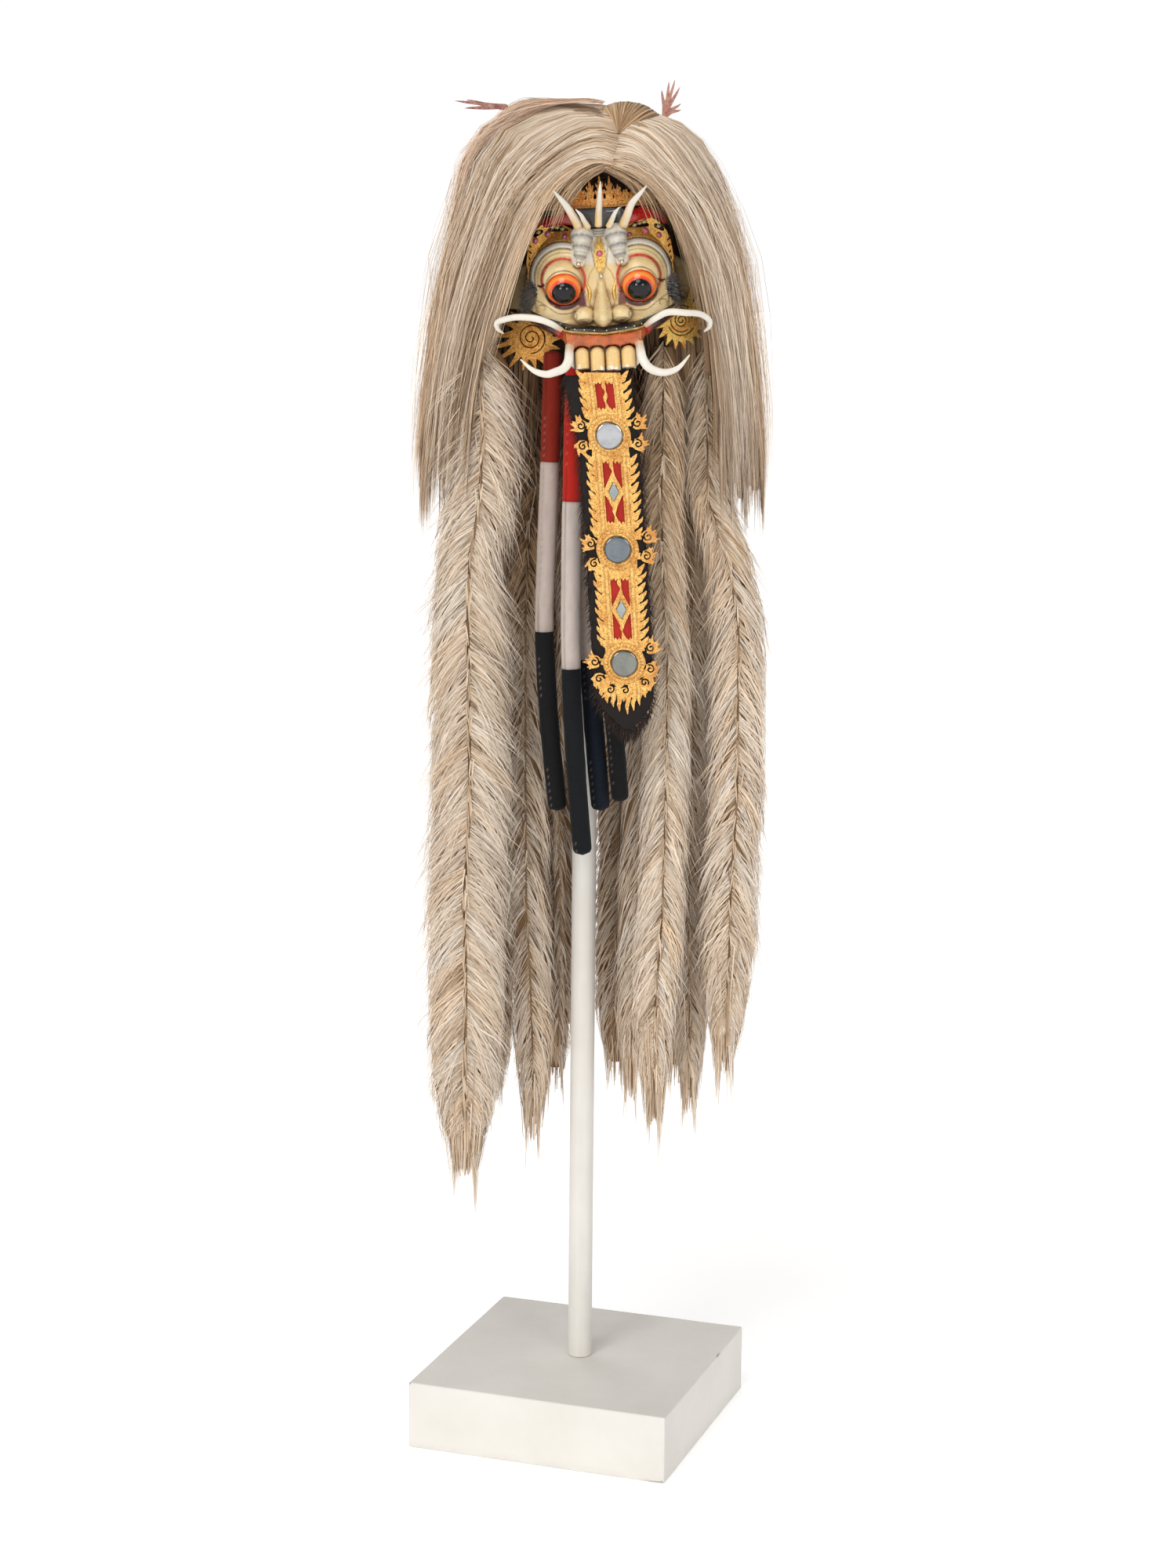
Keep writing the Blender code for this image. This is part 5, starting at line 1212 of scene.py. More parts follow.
# gilt leaves at the inner corners of the eyes
for side in (-1, 1):
    q = np.linspace(0, 1, 12)[:, None]
    x = np.linspace(-1, 1, 5)[None]
    ax_u, ax_w = np.interp(q, [0, 0.5, 1], [0.0205, 0.0165, 0.0180]), np.interp(q, [0, 0.5, 1], [0.006, -0.009, -0.026])
    hw = 0.0028 * np.sin(math.pi * np.clip(q, 0.02, 0.98)) ** 0.8
    uu, ww = ax_u + hw * x, ax_w + 0.3 * hw * x
    dd = carve(side * uu, ww) + 0.0006 + 0.0016 * (1 - x * x) * np.sin(math.pi * q)
    f = grid_faces(12, 5)
    mask_heap.add(face_point(side * uu, ww, dd), f if side > 0 else f[:, ::-1], col=np.tile([GOLD_PAINT * 1.1], (60, 1)), mat=4)
# black hair brushed out over the ears and thin strokes at the cheeks' edge
rng = np.random.default_rng(61)
for side in (-1, 1):
    m = 420
    turn_, far_ = rng.uniform(0, 2 * math.pi, m), np.sqrt(rng.random(m)) * (0.80 + 0.35 * rng.random(m))
    cu, cw = 0.0985 + 0.0085 * far_ * np.cos(turn_), -0.0110 + 0.0150 * far_ * np.sin(turn_)
    cu = cu + 0.25 * (cw + 0.010) * -1
    q = np.linspace(0, 1, 5)[None]
    ln = rng.uniform(0.005, 0.020, m)[:, None]
    lean = (0.9 * np.sin(turn_) * far_ - 0.25 + 0.30 * rng.normal(0, 1, m))[:, None]
    uu = side * (cu[:, None] + ln * q * 0.9)
    ww = cw[:, None] + ln * q * lean - 0.004 * q * q
    dd = carve(side * cu[:, None] + 0 * q, cw[:, None] + 0 * q) + 0.0008 + 0.0035 * np.sin(q * 2.4) * rng.random(m)[:, None] - 0.002 * q
    dd = np.maximum(dd, carve(np.clip(uu, -0.134, 0.134), ww) + 0.0006)
    P = face_point(uu, ww, dd)
    N = np.broadcast_to(face_vector(side * 0.3, 0, 1.0), P.shape)
    ribbon(mask_heap, P, N, rng.uniform(0.0003, 0.0006, m)[:, None] * (1.03 - q), 0.5, 0.5, 0.2)
    mask_heap.col[-1][:, :3] = np.repeat(rng.uniform(0.008, 0.040, m), 10)[:, None] * np.array([1.0, 0.75, 0.6])


def lacquer():
    s = Shader("lacquered_wood", Roughness=0.28, Specular_IOR_Level=0.5, Coat_Weight=0.24, Coat_Roughness=0.08)
    p = s.paint()
    wear = s.grain(260.0, 5.0, 0.70)
    old = s.grain(42.0, 5.0, 0.62)
    c = s.mix(s.grey(old, 0.0, 0.22, 0.48, 0.70), p, (0.50, 0.34, 0.16))
    c = s.mix(s.grey(wear, 0.0, 0.30, 0.62, 0.74), c, s.mix(1.0, c, (0.55, 0.46, 0.36), "MULTIPLY"))
    s.to("Base Color", c)
    s.to("Roughness", s.grey(wear, 0.20, 0.42, 0.35, 0.7))
    s.bump(s.mix(0.5, s.grain(500.0, 2.0), old), 0.12, 0.0008)
    return s.m


def eye_lacquer():
    s = Shader("eye_lacquer", Roughness=0.16, Specular_IOR_Level=0.5, Coat_Weight=0.6, Coat_Roughness=0.05)
    p = s.paint()
    streak = s.grain(300.0, 3.0, 0.6)
    s.to("Base Color", s.mix(s.grey(streak, 0.0, 0.25, 0.5, 0.75), p, s.mix(1.0, p, (0.70, 0.55, 0.45), "MULTIPLY")))
    s.to("Roughness", s.grey(streak, 0.12, 0.26, 0.3, 0.7))
    s.bump(streak, 0.05, 0.0005)
    return s.m


def pupil_gloss():
    s = Shader("pupil_gloss", Roughness=0.04, Specular_IOR_Level=0.42)
    fine = s.grain(90.0, 3.0)
    s.to("Base Color", s.ramp(fine, [(0.3, (0.003, 0.0025, 0.0025)), (0.7, (0.006, 0.005, 0.005))]))
    s.to("Roughness", s.grey(s.grain(220.0), 0.03, 0.08, 0.3, 0.7))
    return s.m


def metal(name, low, high, rough=0.30, grain=420.0, tarnish=(0.16, 0.09, 0.04)):
    s = Shader(name, Metallic=1.0, Roughness=rough)
    fine = s.grain(grain, 4.0, 0.6)
    dirt = s.grain(60.0, 5.0, 0.65)
    c = s.ramp(fine, [(0.32, low), (0.68, high)])
    s.to("Base Color", s.mix(s.grey(dirt, 0.0, 0.7, 0.58, 0.72), c, tarnish))
    s.to("Roughness", s.grey(fine, rough - 0.06, rough + 0.16, 0.3, 0.7))
    s.bump(fine, 0.30, 0.0006)
    return s.m


LACQUER, EYE, PUPIL = lacquer(), eye_lacquer(), pupil_gloss()
SILVER = metal("silver_bead", (0.45, 0.43, 0.40), (0.80, 0.78, 0.74), 0.22)
GILT_PAINT = metal("gilt_paint", (0.62, 0.36, 0.08), (0.90, 0.62, 0.20), 0.28)
mask_piece = mask_heap.build("carved_mask", [LACQUER, EYE, PUPIL, SILVER, GILT_PAINT], sharp=60, col=True)
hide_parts("mask")

# ---------------------------------------------------------------- tusks and horns
def bone_shader():
    s = Shader("bone", Roughness=0.34, Specular_IOR_Level=0.5, Coat_Weight=0.15, Coat_Roughness=0.2)
    p = s.paint()
    crack = s.grain(240.0, 5.0, 0.70, (1, 1, 1), 1.2)
    cloud = s.grain(70.0, 4.0, 0.6)
    c = s.mix(s.grey(cloud, 0.0, 0.34, 0.45, 0.75), p, s.mix(1.0, p, (0.86, 0.76, 0.60), "MULTIPLY"))
    c = s.mix(s.grey(crack, 0.0, 0.5, 0.66, 0.74), c, s.mix(1.0, p, (0.55, 0.42, 0.30), "MULTIPLY"))
    s.to("Base Color", c)
    s.to("Roughness", s.grey(crack, 0.26, 0.50, 0.3, 0.7))
    s.bump(s.mix(0.5, crack, cloud), 0.22, 0.0008)
    return s.m


BONE = bone_shader()
BONE_ROOT, BONE_PALE, BONE_AMBER = np.array([0.46, 0.29, 0.14]), np.array([0.73, 0.69, 0.61]), np.array([0.74, 0.47, 0.13])


def bone_piece(name, node, rows, root=0.10, amber=0.0, flat=0.82, count=64, sides=20, seed=0):
    rows = np.asarray(rows, float)
    fine = smooth_path(rows, count)
    r = np.maximum(fine[:, 3], 0.0004)
    P = face_point(fine[:, 0], fine[:, 1], fine[:, 2])
    q = np.linspace(0, 1, count)[:, None]
    ang = 2 * math.pi * np.arange(sides)[None] / sides
    shape = 1 + 0.018 * np.sin(ang * 5 + seed) * (1 - q) + 0.020 * noise(ang * 2.2, q * 26, 70 + seed) + 0.012 * noise(ang * 6, q * 9, 71 + seed)
    tone = np.broadcast_to(BONE_PALE, (count, sides, 3)) * (1 + 0.05 * noise(ang * 3, q * 7, 72 + seed))[..., None]
    streak = np.clip(noise(ang * 9 + seed, q * 5, 73) - 0.25, 0, 1) * 0.35
    tone = lay(tone, streak, (0.70, 0.58, 0.42))
    tone = lay(tone, (1 - step(0.0, root, q)) * 0.85 + 0 * ang, BONE_ROOT)
    if amber:
        back = 0.5 - 0.5 * np.cos(ang)
        tone = lay(tone, amber * (1 - step(0.20, 0.60, q)) * (0.45 + 0.55 * step(0.3, 0.8, back)), BONE_AMBER)
    tone = lay(tone, step(0.90, 1.0, q) * 0.35 + 0 * ang, (0.66, 0.52, 0.36))
    heap = Heap()
    add_tube(heap, P, r, sides, flat=flat, shape=shape, col=tone)
    ob = heap.build(name, [BONE], sharp=70, col=True)
    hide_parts(node)
    return ob


for side, tag in ((-1, "left"), (1, "right")):
    drop = 0.0 if side < 0 else -0.012
    bone_piece(f"{tag}_cheek_tusk", f"tusk_upper_{tag}",
               [(side * 0.0580, -0.0585, 0.1780, 0.0034), (side * 0.0720, -0.0490, 0.1845, 0.0044), (side * 0.0900, -0.0415, 0.1850, 0.0048),
                (side * 0.1150, -0.0378 + 0.5 * drop, 0.1780, 0.0046), (side * 0.1350, -0.0400 + 0.6 * drop, 0.1640, 0.0043), (side * 0.1475, -0.0445 + drop, 0.1540, 0.0040),
                (side * 0.1475, -0.0530 + drop, 0.1490, 0.0032), (side * 0.1400, -0.0600 + drop, 0.1450, 0.0012)], root=0.14, flat=0.75, seed=3 + side)
    low = 0.0 if side > 0 else 0.006
    bone_piece(f"{tag}_chin_tusk", f"tusk_lower_{tag}",
               [(side * 0.0490, -0.0790, 0.1830, 0.0048), (side * 0.0495, -0.0900, 0.1870, 0.0060), (side * 0.0515, -0.1020, 0.1910, 0.0064), (side * 0.0580, -0.1135 + 0.5 * low, 0.1945, 0.0062),
                (side * 0.0690, -0.1205 + low, 0.1960, 0.0058), (side * 0.0830, -0.1230 + low, 0.1970, 0.0050), (side * 0.1000, -0.1180 + 1.2 * low, 0.1955, 0.0036),
                (side * 0.1170, -0.1010 + low, 0.1940, 0.0010)], root=0.20, flat=0.72, seed=7 + side)
    wide = 0.0 if side < 0 else 0.007
    bone_piece(f"{tag}_long_horn", f"horn_outer_{tag}",
               [(side * (0.0270 + wide), 0.0800, 0.1700, 0.0064), (side * (0.0330 + wide), 0.0930, 0.1840, 0.0058), (side * (0.0420 + 0.8 * wide), 0.1090, 0.1970, 0.0046),
                (side * (0.0510 + 1.1 * wide), 0.1210, 0.2090, 0.0030), (side * (0.0590 + 1.3 * wide), 0.1310, 0.2210, 0.0009)], root=0.10, amber=0.7, flat=0.80, count=46, seed=11 + side)
    bone_piece(f"{tag}_short_horn", f"horn_inner_{tag}",
               [(side * 0.0140, 0.0790, 0.1740, 0.0042), (side * 0.0190, 0.0880, 0.1830, 0.0036), (side * 0.0235, 0.0970, 0.1920, 0.0026), (side * 0.0300, 0.1045, 0.2000, 0.0008)],
               root=0.10, amber=0.75, flat=0.80, count=32, seed=17 + side)
bone_piece("middle_horn", "horn_centre",
           [(0.0000, 0.0810, 0.1670, 0.0054), (0.0010, 0.0950, 0.1750, 0.0050), (0.0028, 0.1110, 0.1850, 0.0042), (0.0044, 0.1270, 0.1970, 0.0028), (0.0058, 0.1400, 0.2070, 0.0007)],
           root=0.06, amber=0.85, flat=0.90, count=46, seed=23)


# ---------------------------------------------------------------- cut and gilded leather
def stroke(u, v, pts, radii):
    """How deep inside a tapering stroke each place lies; negative outside it."""
    pts = np.asarray(pts, float)
    radii = np.broadcast_to(np.asarray(radii, float), (len(pts),))
    best = np.full(np.shape(u), -1.0)
    m = radii.max() + 0.004
    near = (u > pts[:, 0].min() - m) & (u < pts[:, 0].max() + m) & (v > pts[:, 1].min() - m) & (v < pts[:, 1].max() + m)
    if near.any():
        x, y = u[near], v[near]
        b = np.full(x.shape, -1.0)
        for k in range(len(pts) - 1):
            p, e = pts[k], pts[k + 1] - pts[k]
            t = np.clip(((x - p[0]) * e[0] + (y - p[1]) * e[1]) / max(float(e @ e), 1e-12), 0, 1)
            b = np.maximum(b, radii[k] + (radii[k + 1] - radii[k]) * t - np.hypot(x - p[0] - t * e[0], y - p[1] - t * e[1]))
        best[near] = b
    return best


def spiral_pts(cu, cv, r0, r1, turns, phase, way=1, count=34):
    t = np.linspace(0, 1, count)
    a = phase + way * 2 * math.pi * turns * t
    r = r0 + (r1 - r0) * t
    return np.stack([cu + r * np.cos(a), cv + r * np.sin(a)], 1)


def flame_pts(cu, cv, angle, length, bend, base=0.0):
    """A tongue of flame from (cu, cv): its middle line, with an S bend."""
    t = np.linspace(0, 1, 7)
    along = base + length * t
    across = bend * (np.sin(t * 4.2) * 0.34 + t * t * 0.8)
    c, s = math.cos(angle), math.sin(angle)
    return np.stack([cu + along * c - across * s, cv + along * s + across * c], 1)


FLAME_R = np.array([1.0, 0.86, 0.66, 0.56, 0.44, 0.26, 0.05])


def cut_sheet(heap, field, box, cell, place, thick, rise, tone, mat=0, back_tone=(0.20, 0.12, 0.06), merge=4):
    """A sheet cut to where field > 0 in the box (u0, u1, v0, v1): relief in front, a plain back, edges between.
    place(u, v, h) puts it in the world, h forward of the sheet's middle."""
    u0, u1, v0, v1 = box
    nu, nv = max(3, int(round((u1 - u0) / cell)) + 1), max(3, int(round((v1 - v0) / cell)) + 1)
    U, V = np.meshgrid(np.linspace(u0, u1, nu), np.linspace(v0, v1, nv), indexing="ij")
    F = field(U, V)
    F[[0, -1], :] = np.minimum(F[[0, -1], :], -1e-4)
    F[:, [0, -1]] = np.minimum(F[:, [0, -1]], -1e-4)
    F = np.where(np.abs(F) < 1e-6, 1e-6, F)
    solid = F > 0
    corner = np.full(F.shape, -1)
    n = int(solid.sum())
    corner[solid] = np.arange(n)
    pu, pv = [U[solid]], [V[solid]]
    cross_u = solid[:-1] != solid[1:]
    t = F[:-1] / np.where(cross_u, F[:-1] - F[1:], 1)
    eu = np.full(cross_u.shape, -1)
    eu[cross_u] = n + np.arange(int(cross_u.sum()))
    pu.append((U[:-1] + t * (U[1:] - U[:-1]))[cross_u])
    pv.append(V[:-1][cross_u])
    n += int(cross_u.sum())
    cross_v = solid[:, :-1] != solid[:, 1:]
    t = F[:, :-1] / np.where(cross_v, F[:, :-1] - F[:, 1:], 1)
    ev = np.full(cross_v.shape, -1)
    ev[cross_v] = n + np.arange(int(cross_v.sum()))
    pu.append(U[:, :-1][cross_v])
    pv.append((V[:, :-1] + t * (V[:, 1:] - V[:, :-1]))[cross_v])
    n += int(cross_v.sum())
    pu, pv = np.concatenate(pu), np.concatenate(pv)
    a, b, c, d = corner[:-1, :-1], corner[1:, :-1], corner[1:, 1:], corner[:-1, 1:]
    e = {"a": a, "b": b, "c": c, "d": d, "p": eu[:, :-1], "q": ev[1:], "r": eu[:, 1:], "s": ev[:-1]}
    code = (a >= 0) * 1 + (b >= 0) * 2 + (c >= 0) * 4 + (d >= 0) * 8
    shapes = {15: ["abcd"], 1: ["aps"], 2: ["bqp"], 4: ["crq"], 8: ["dsr"], 3: ["abqs"], 6: ["bcrp"], 12: ["cdsq"], 9: ["dapr"],
              7: ["abcr", "ars"], 14: ["bcds", "bsp"], 13: ["cdap", "cpq"], 11: ["dabq", "dqr"], 5: ["aps", "crq"], 10: ["bqp", "dsr"]}
    walls = {1: ["ps"], 2: ["qp"], 4: ["rq"], 8: ["sr"], 3: ["qs"], 6: ["rp"], 12: ["sq"], 9: ["pr"], 7: ["rs"], 14: ["sp"], 13: ["pq"], 11: ["qr"],
             5: ["ps", "rq"], 10: ["qp", "sr"]}
    quads, tris, edges = [], [], []
    for k, polys in shapes.items():
        m = code == k
        if m.any():
            for poly in polys:
                f = np.stack([e[ch][m] for ch in poly], 1)
                (quads if len(poly) == 4 else tris).append(f)
            for w in walls.get(k, []):
                edges.append(np.stack([e[ch][m] for ch in w], 1))
    quads = np.concatenate(quads) if quads else np.zeros((0, 4), int)
    tris = np.concatenate(tris) if tris else np.zeros((0, 3), int)
    edges = np.concatenate(edges)
    R = rise(pu, pv)
    P = place(pu, pv, thick / 2 + R)
    Q = place(pu, pv, np.full(pu.shape, -thick / 2))
    T = tone(pu, pv)
    heap.add(P, quads, tris, col=T, mat=mat)
    # the back, with its whole cells joined in blocks
    full = code == 15
    done = np.zeros_like(full)
    back_quads = []
    if merge > 1:
        I, J = full.shape[0] // merge, full.shape[1] // merge
        blocks = full[:I * merge, :J * merge].reshape(I, merge, J, merge).all(axis=(1, 3))
        bi, bj = np.nonzero(blocks)
        done[:I * merge, :J * merge] = np.repeat(np.repeat(blocks, merge, 0), merge, 1)
        i0, j0 = bi * merge, bj * merge
        back_quads.append(np.stack([corner[i0, j0], corner[i0 + merge, j0], corner[i0 + merge, j0 + merge], corner[i0, j0 + merge]], 1))
    m = full & ~done
    back_quads.append(np.stack([a[m], b[m], c[m], d[m]], 1))
    part = np.concatenate([np.stack([e[ch][code == k] for ch in poly], 1) for k, polys in shapes.items() if k != 15 for poly in polys if len(poly) == 4])
    back_quads = np.concatenate([*back_quads, part])
    heap.add(Q, back_quads[:, ::-1], tris[:, ::-1], col=np.broadcast_to(back_tone, (len(Q), 3)), mat=mat)
    both = np.vstack([P, Q])
    base = len(P)
    rim = np.stack([edges[:, 0], base + edges[:, 0], base + edges[:, 1], edges[:, 1]], 1)
    heap.add(both, rim[:, ::-1], col=np.vstack([T * 0.80, T * 0.55]), mat=mat)


def gilt_shader():
    s = Shader("gilt_leather", Metallic=0.62, Roughness=0.34, Specular_IOR_Level=0.5)
    p = s.paint()
    grit = s.node("ShaderNodeTexVoronoi", {"Vector": s.place()}, {"Scale": 760.0}).outputs["Distance"]
    fine = s.grain(1100.0, 3.0, 0.7)
    worn = s.grain(120.0, 5.0, 0.68)
    c = s.mix(1.0, p, s.ramp(grit, [(0.0, (1.0, 1.0, 0.95)), (0.45, (0.95, 0.90, 0.78)), (0.80, (0.54, 0.38, 0.22))]), "MULTIPLY")
    c = s.mix(s.grey(fine, 0.0, 0.45, 0.60, 0.72), c, s.mix(1.0, p, (1.55, 1.62, 1.75), "MULTIPLY"))
    c = s.mix(s.grey(worn, 0.0, 0.72, 0.60, 0.72), c, s.mix(1.0, p, (0.62, 0.36, 0.20), "MULTIPLY"))
    s.to("Base Color", c)
    s.to("Roughness", s.grey(fine, 0.22, 0.50, 0.3, 0.7))
    s.bump(s.math("SUBTRACT", fine, s.math("MULTIPLY", grit, 0.9)), 0.55, 0.0007)
    return s.m


def gem_shader():
    s = Shader("pink_gem", Roughness=0.08, Specular_IOR_Level=0.7, Coat_Weight=1.0, Coat_Roughness=0.03)
    p = s.paint()
    cloud = s.grain(420.0, 3.0)
    s.to("Base Color", s.mix(s.grey(cloud, 0.0, 0.7, 0.4, 0.7), p, s.mix(1.0, p, (0.45, 0.25, 0.45), "MULTIPLY")))
    s.to("Roughness", s.grey(cloud, 0.04, 0.12, 0.3, 0.7))
    return s.m


GILT, GEM = gilt_shader(), gem_shader()
BRIGHT, MID_GOLD, DEEP_GOLD, RUST = np.array([1.000, 0.740, 0.270]), np.array([0.860, 0.470, 0.095]), np.array([0.400, 0.165, 0.035]), np.array([0.260, 0.070, 0.018])


def gold_tone(u, v, seed, bright=1.0, rust=0.3):
    a = 0.5 + 0.5 * noise(u * 620, v * 620, seed)
    b = 0.5 + 0.5 * noise(u * 90, v * 90, seed + 1)
    c = MID_GOLD + (BRIGHT - MID_GOLD) * np.clip(0.25 + 0.9 * a * (0.6 + 0.6 * b), 0, 1)[..., None]
    c = lay(c, rust * step(0.52, 0.80, 1 - a), DEEP_GOLD)
    c = lay(c, 0.75 * rust * step(0.62, 0.80, 1 - b), (0.52, 0.230, 0.050))
    return np.clip(c * bright, 0.0, 0.97)


def granulated(u, v, seed, height=0.00045):
    return height * (noise(u * 760, v * 760, seed) * 0.6 + noise(u * 1500, v * 1500, seed + 1) * 0.4)


def gem(heap, centre, axis, r, colour=(0.62, 0.10, 0.28)):
    add_ball(heap, centre, r * 1.35, axis, 5, 16, (0.62, 0.38, 0.10), 0, 0.45, True)
    add_ball(heap, np.asarray(centre) + unit(np.asarray(axis, float)) * r * 0.32, r, axis, 7, 18, colour, 1, 0.75, True)


# crown
BAND_D = 0.005


def bent(radius, centre_d):
    def place(s, w, h):
        b = s / radius
        return face_point((radius + h) * np.sin(b), w, centre_d + (radius + h) * np.cos(b))
    return place


CROWN_TIPS = [(-0.090, 0.1150, 0.0070, -0.002), (-0.078, 0.1190, 0.0075, -0.002), (-0.066, 0.1210, 0.0075, -0.002), (-0.054, 0.1250, 0.0075, -0.002), (-0.043, 0.1270, 0.0080, -0.002),
              (-0.032, 0.1290, 0.0075, -0.0015), (-0.0215, 0.1340, 0.0078, -0.001), (-0.0095, 0.1445, 0.0082, -0.001), (0.0040, 0.1500, 0.0080, 0.0), (0.0170, 0.1480, 0.0080, 0.001),
              (0.0285, 0.1370, 0.0075, 0.001), (0.0370, 0.1290, 0.0070, 0.0015), (0.047, 0.1270, 0.0075, 0.002), (0.058, 0.1250, 0.0075, 0.002), (0.069, 0.1220, 0.0075, 0.002),
              (0.080, 0.1190, 0.0075, 0.002), (0.092, 0.1150, 0.0070, 0.002)]


def crown_field(s, w):
    f = np.minimum(0.0058 - np.abs(w - 0.1115), 0.1125 - np.abs(s))
    for c, top, half, lean in CROWN_TIPS:
        h = top - 0.1140
        pts = [(c, 0.1120), (c + 0.15 * lean, 0.1140 + 0.30 * h), (c + 0.25 * lean + 0.0006, 0.1140 + 0.60 * h), (c + 0.7 * lean, top)]
        f = np.maximum(f, stroke(s, w, pts, [half * 0.72, half * 0.55, half * 0.34, 0.0004]))
        for k in (-1, 1):
            for lift in (0.22, 0.50):
                bx, by = c + k * half * (0.52 - 0.4 * lift), 0.1140 + lift * h
                f = np.maximum(f, stroke(s, w, [(bx - k * 0.0012, by - 0.001), (bx + k * 0.0016, by + 0.004), (bx + k * 0.0024, by + 0.0085)], [0.0014, 0.0012, 0.0002]))
    return f


crown_heap = Heap()
cut_sheet(crown_heap, crown_field, (-0.116, 0.116, 0.1040, 0.1530), 0.00125, bent(0.1362, BAND_D), 0.0018,
          lambda s, w: granulated(s, w, 81, 0.0005) + 0.0008 * (np.abs(w - 0.1072) < 0.0012),
          lambda s, w: lay(gold_tone(s, w, 83, np.array([1.12, 0.77, 0.74]), 0.50), step(0.118, 0.146, w) * 0.45, (0.50, 0.26, 0.075)), merge=3)
place = bent(0.1372, BAND_D)
for s_ in np.arange(-0.106, 0.1061, 0.0046):
    add_ball(crown_heap, place(s_, 0.1078, 0.0006), 0.0014, place(s_, 0.1078, 0.01) - place(s_, 0.1078, 0.0), 4, 8, (0.66, 0.42, 0.13), 0, 0.8, True)
ob = crown_heap.build("flame_crown", [GILT, GEM], sharp=40, col=True)
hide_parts("crown")


# band: black in the middle, red rolls at the sides
def band_shader():
    s = Shader("red_lacquer", Roughness=0.24, Specular_IOR_Level=0.5, Coat_Weight=0.5, Coat_Roughness=0.08)
    p = s.paint()
    worn = s.grain(110.0, 5.0, 0.66)
    fine = s.grain(420.0, 3.0, 0.6)
    c = s.mix(s.grey(worn, 0.0, 0.55, 0.52, 0.72), p, s.mix(1.0, p, (0.50, 0.38, 0.36), "MULTIPLY"))
    s.to("Base Color", s.mix(s.grey(fine, 0.0, 0.12, 0.60, 0.72), c, (0.62, 0.50, 0.42)))
    s.to("Roughness", s.grey(fine, 0.18, 0.40, 0.3, 0.7))
    s.bump(s.mix(0.5, worn, fine), 0.15, 0.0008)
    return s.m


BAND = band_shader()
heap = Heap()
n_b, n_s = 150, 28
ss = np.linspace(-0.1075, 0.1075, n_b)[:, None]
ang = 2 * math.pi * np.arange(n_s)[None] / n_s
mid = np.interp(ss, [-0.108, -0.085, -0.062, -0.045, -0.034, -0.028, 0.034, 0.040, 0.047, 0.066, 0.088, 0.108],
                [0.0780, 0.0860, 0.0925, 0.0945, 0.0925, 0.0925, 0.0925, 0.0905, 0.0910, 0.0965, 0.0930, 0.0810])
hh = np.interp(ss, [-0.108, -0.062, -0.040, -0.030, -0.026, 0.032, 0.036, 0.044, 0.066, 0.108], [0.0060, 0.0085, 0.0100, 0.0120, 0.0140, 0.0140, 0.0120, 0.0085, 0.0095, 0.0060])
tt = np.interp(ss, [-0.108, -0.050, -0.034, -0.026, 0.032, 0.040, 0.050, 0.108], [0.0050, 0.0066, 0.0050, 0.0030, 0.0030, 0.0050, 0.0068, 0.0050])
ends = np.sqrt(np.clip(1 - ((np.abs(ss) - 0.1005) / 0.0070).clip(0, 1) ** 2, 0.02, 1))
ww = mid + hh * ends * np.sign(np.sin(ang)) * np.abs(np.sin(ang)) ** 0.9
hd = tt * ends * np.cos(ang) + 0.0004 * noise(ss * 90, ang * 2, 85)
V = bent(0.1345, BAND_D)(ss + 0 * ang, ww, hd)
black = step(-0.0320, -0.0300, ss) * step(0.0385, 0.0365, ss)
# Painted highlights: sheen is a lighter grey painted on the black middle, and the red is painted brighter on the crest
# of the right roll.
sheen = np.exp(-((ss - 0.004) / 0.014) ** 2) * 0.5 + np.exp(-((ss + 0.020) / 0.006) ** 2) * 0.3
tone = np.broadcast_to(np.array([0.500, 0.016, 0.012]), (n_b, n_s, 3)) * (0.80 + 0.35 * np.exp(-((ss - 0.066) / 0.020) ** 2) + 0.10 * noise(ss * 120, ang * 2, 86))[..., None]
tone = lay(tone, black + 0 * ang, (0.030, 0.028, 0.027))
tone = lay(tone, black * sheen * 0.5 + 0 * ang, (0.150, 0.145, 0.140))
heap.add(np.vstack([V.reshape(-1, 3), V[0].mean(0), V[-1].mean(0)]), grid_faces(n_b, n_s, close_cols=True)[:, ::-1],
         np.vstack([np.stack([np.full(n_s, n_b * n_s), np.arange(n_s), (np.arange(n_s) + 1) % n_s], 1),
                    np.stack([np.full(n_s, n_b * n_s + 1), (n_b - 1) * n_s + (np.arange(n_s) + 1) % n_s, (n_b - 1) * n_s + np.arange(n_s)], 1)]),
         col=np.vstack([tone.reshape(-1, 3), tone[0, 0], tone[-1, 0]]))
rim = smooth_path([(0.0115, 0.1000, 0.0045), (0.0200, 0.1000, 0.0045), (0.0290, 0.1030, 0.0040), (0.0350, 0.1072, 0.0030)], 24)
add_tube(heap, bent(0.1345, BAND_D)(rim[:, 0], rim[:, 1], rim[:, 2]), np.interp(np.arange(24), [0, 12, 23], [0.0005, 0.0010, 0.0005]), 8, col=np.tile([[[0.62, 0.58, 0.50]]], (24, 8, 1)))
ob = heap.build("lacquered_band", [BAND], sharp=60, col=True)
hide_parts("head_band")


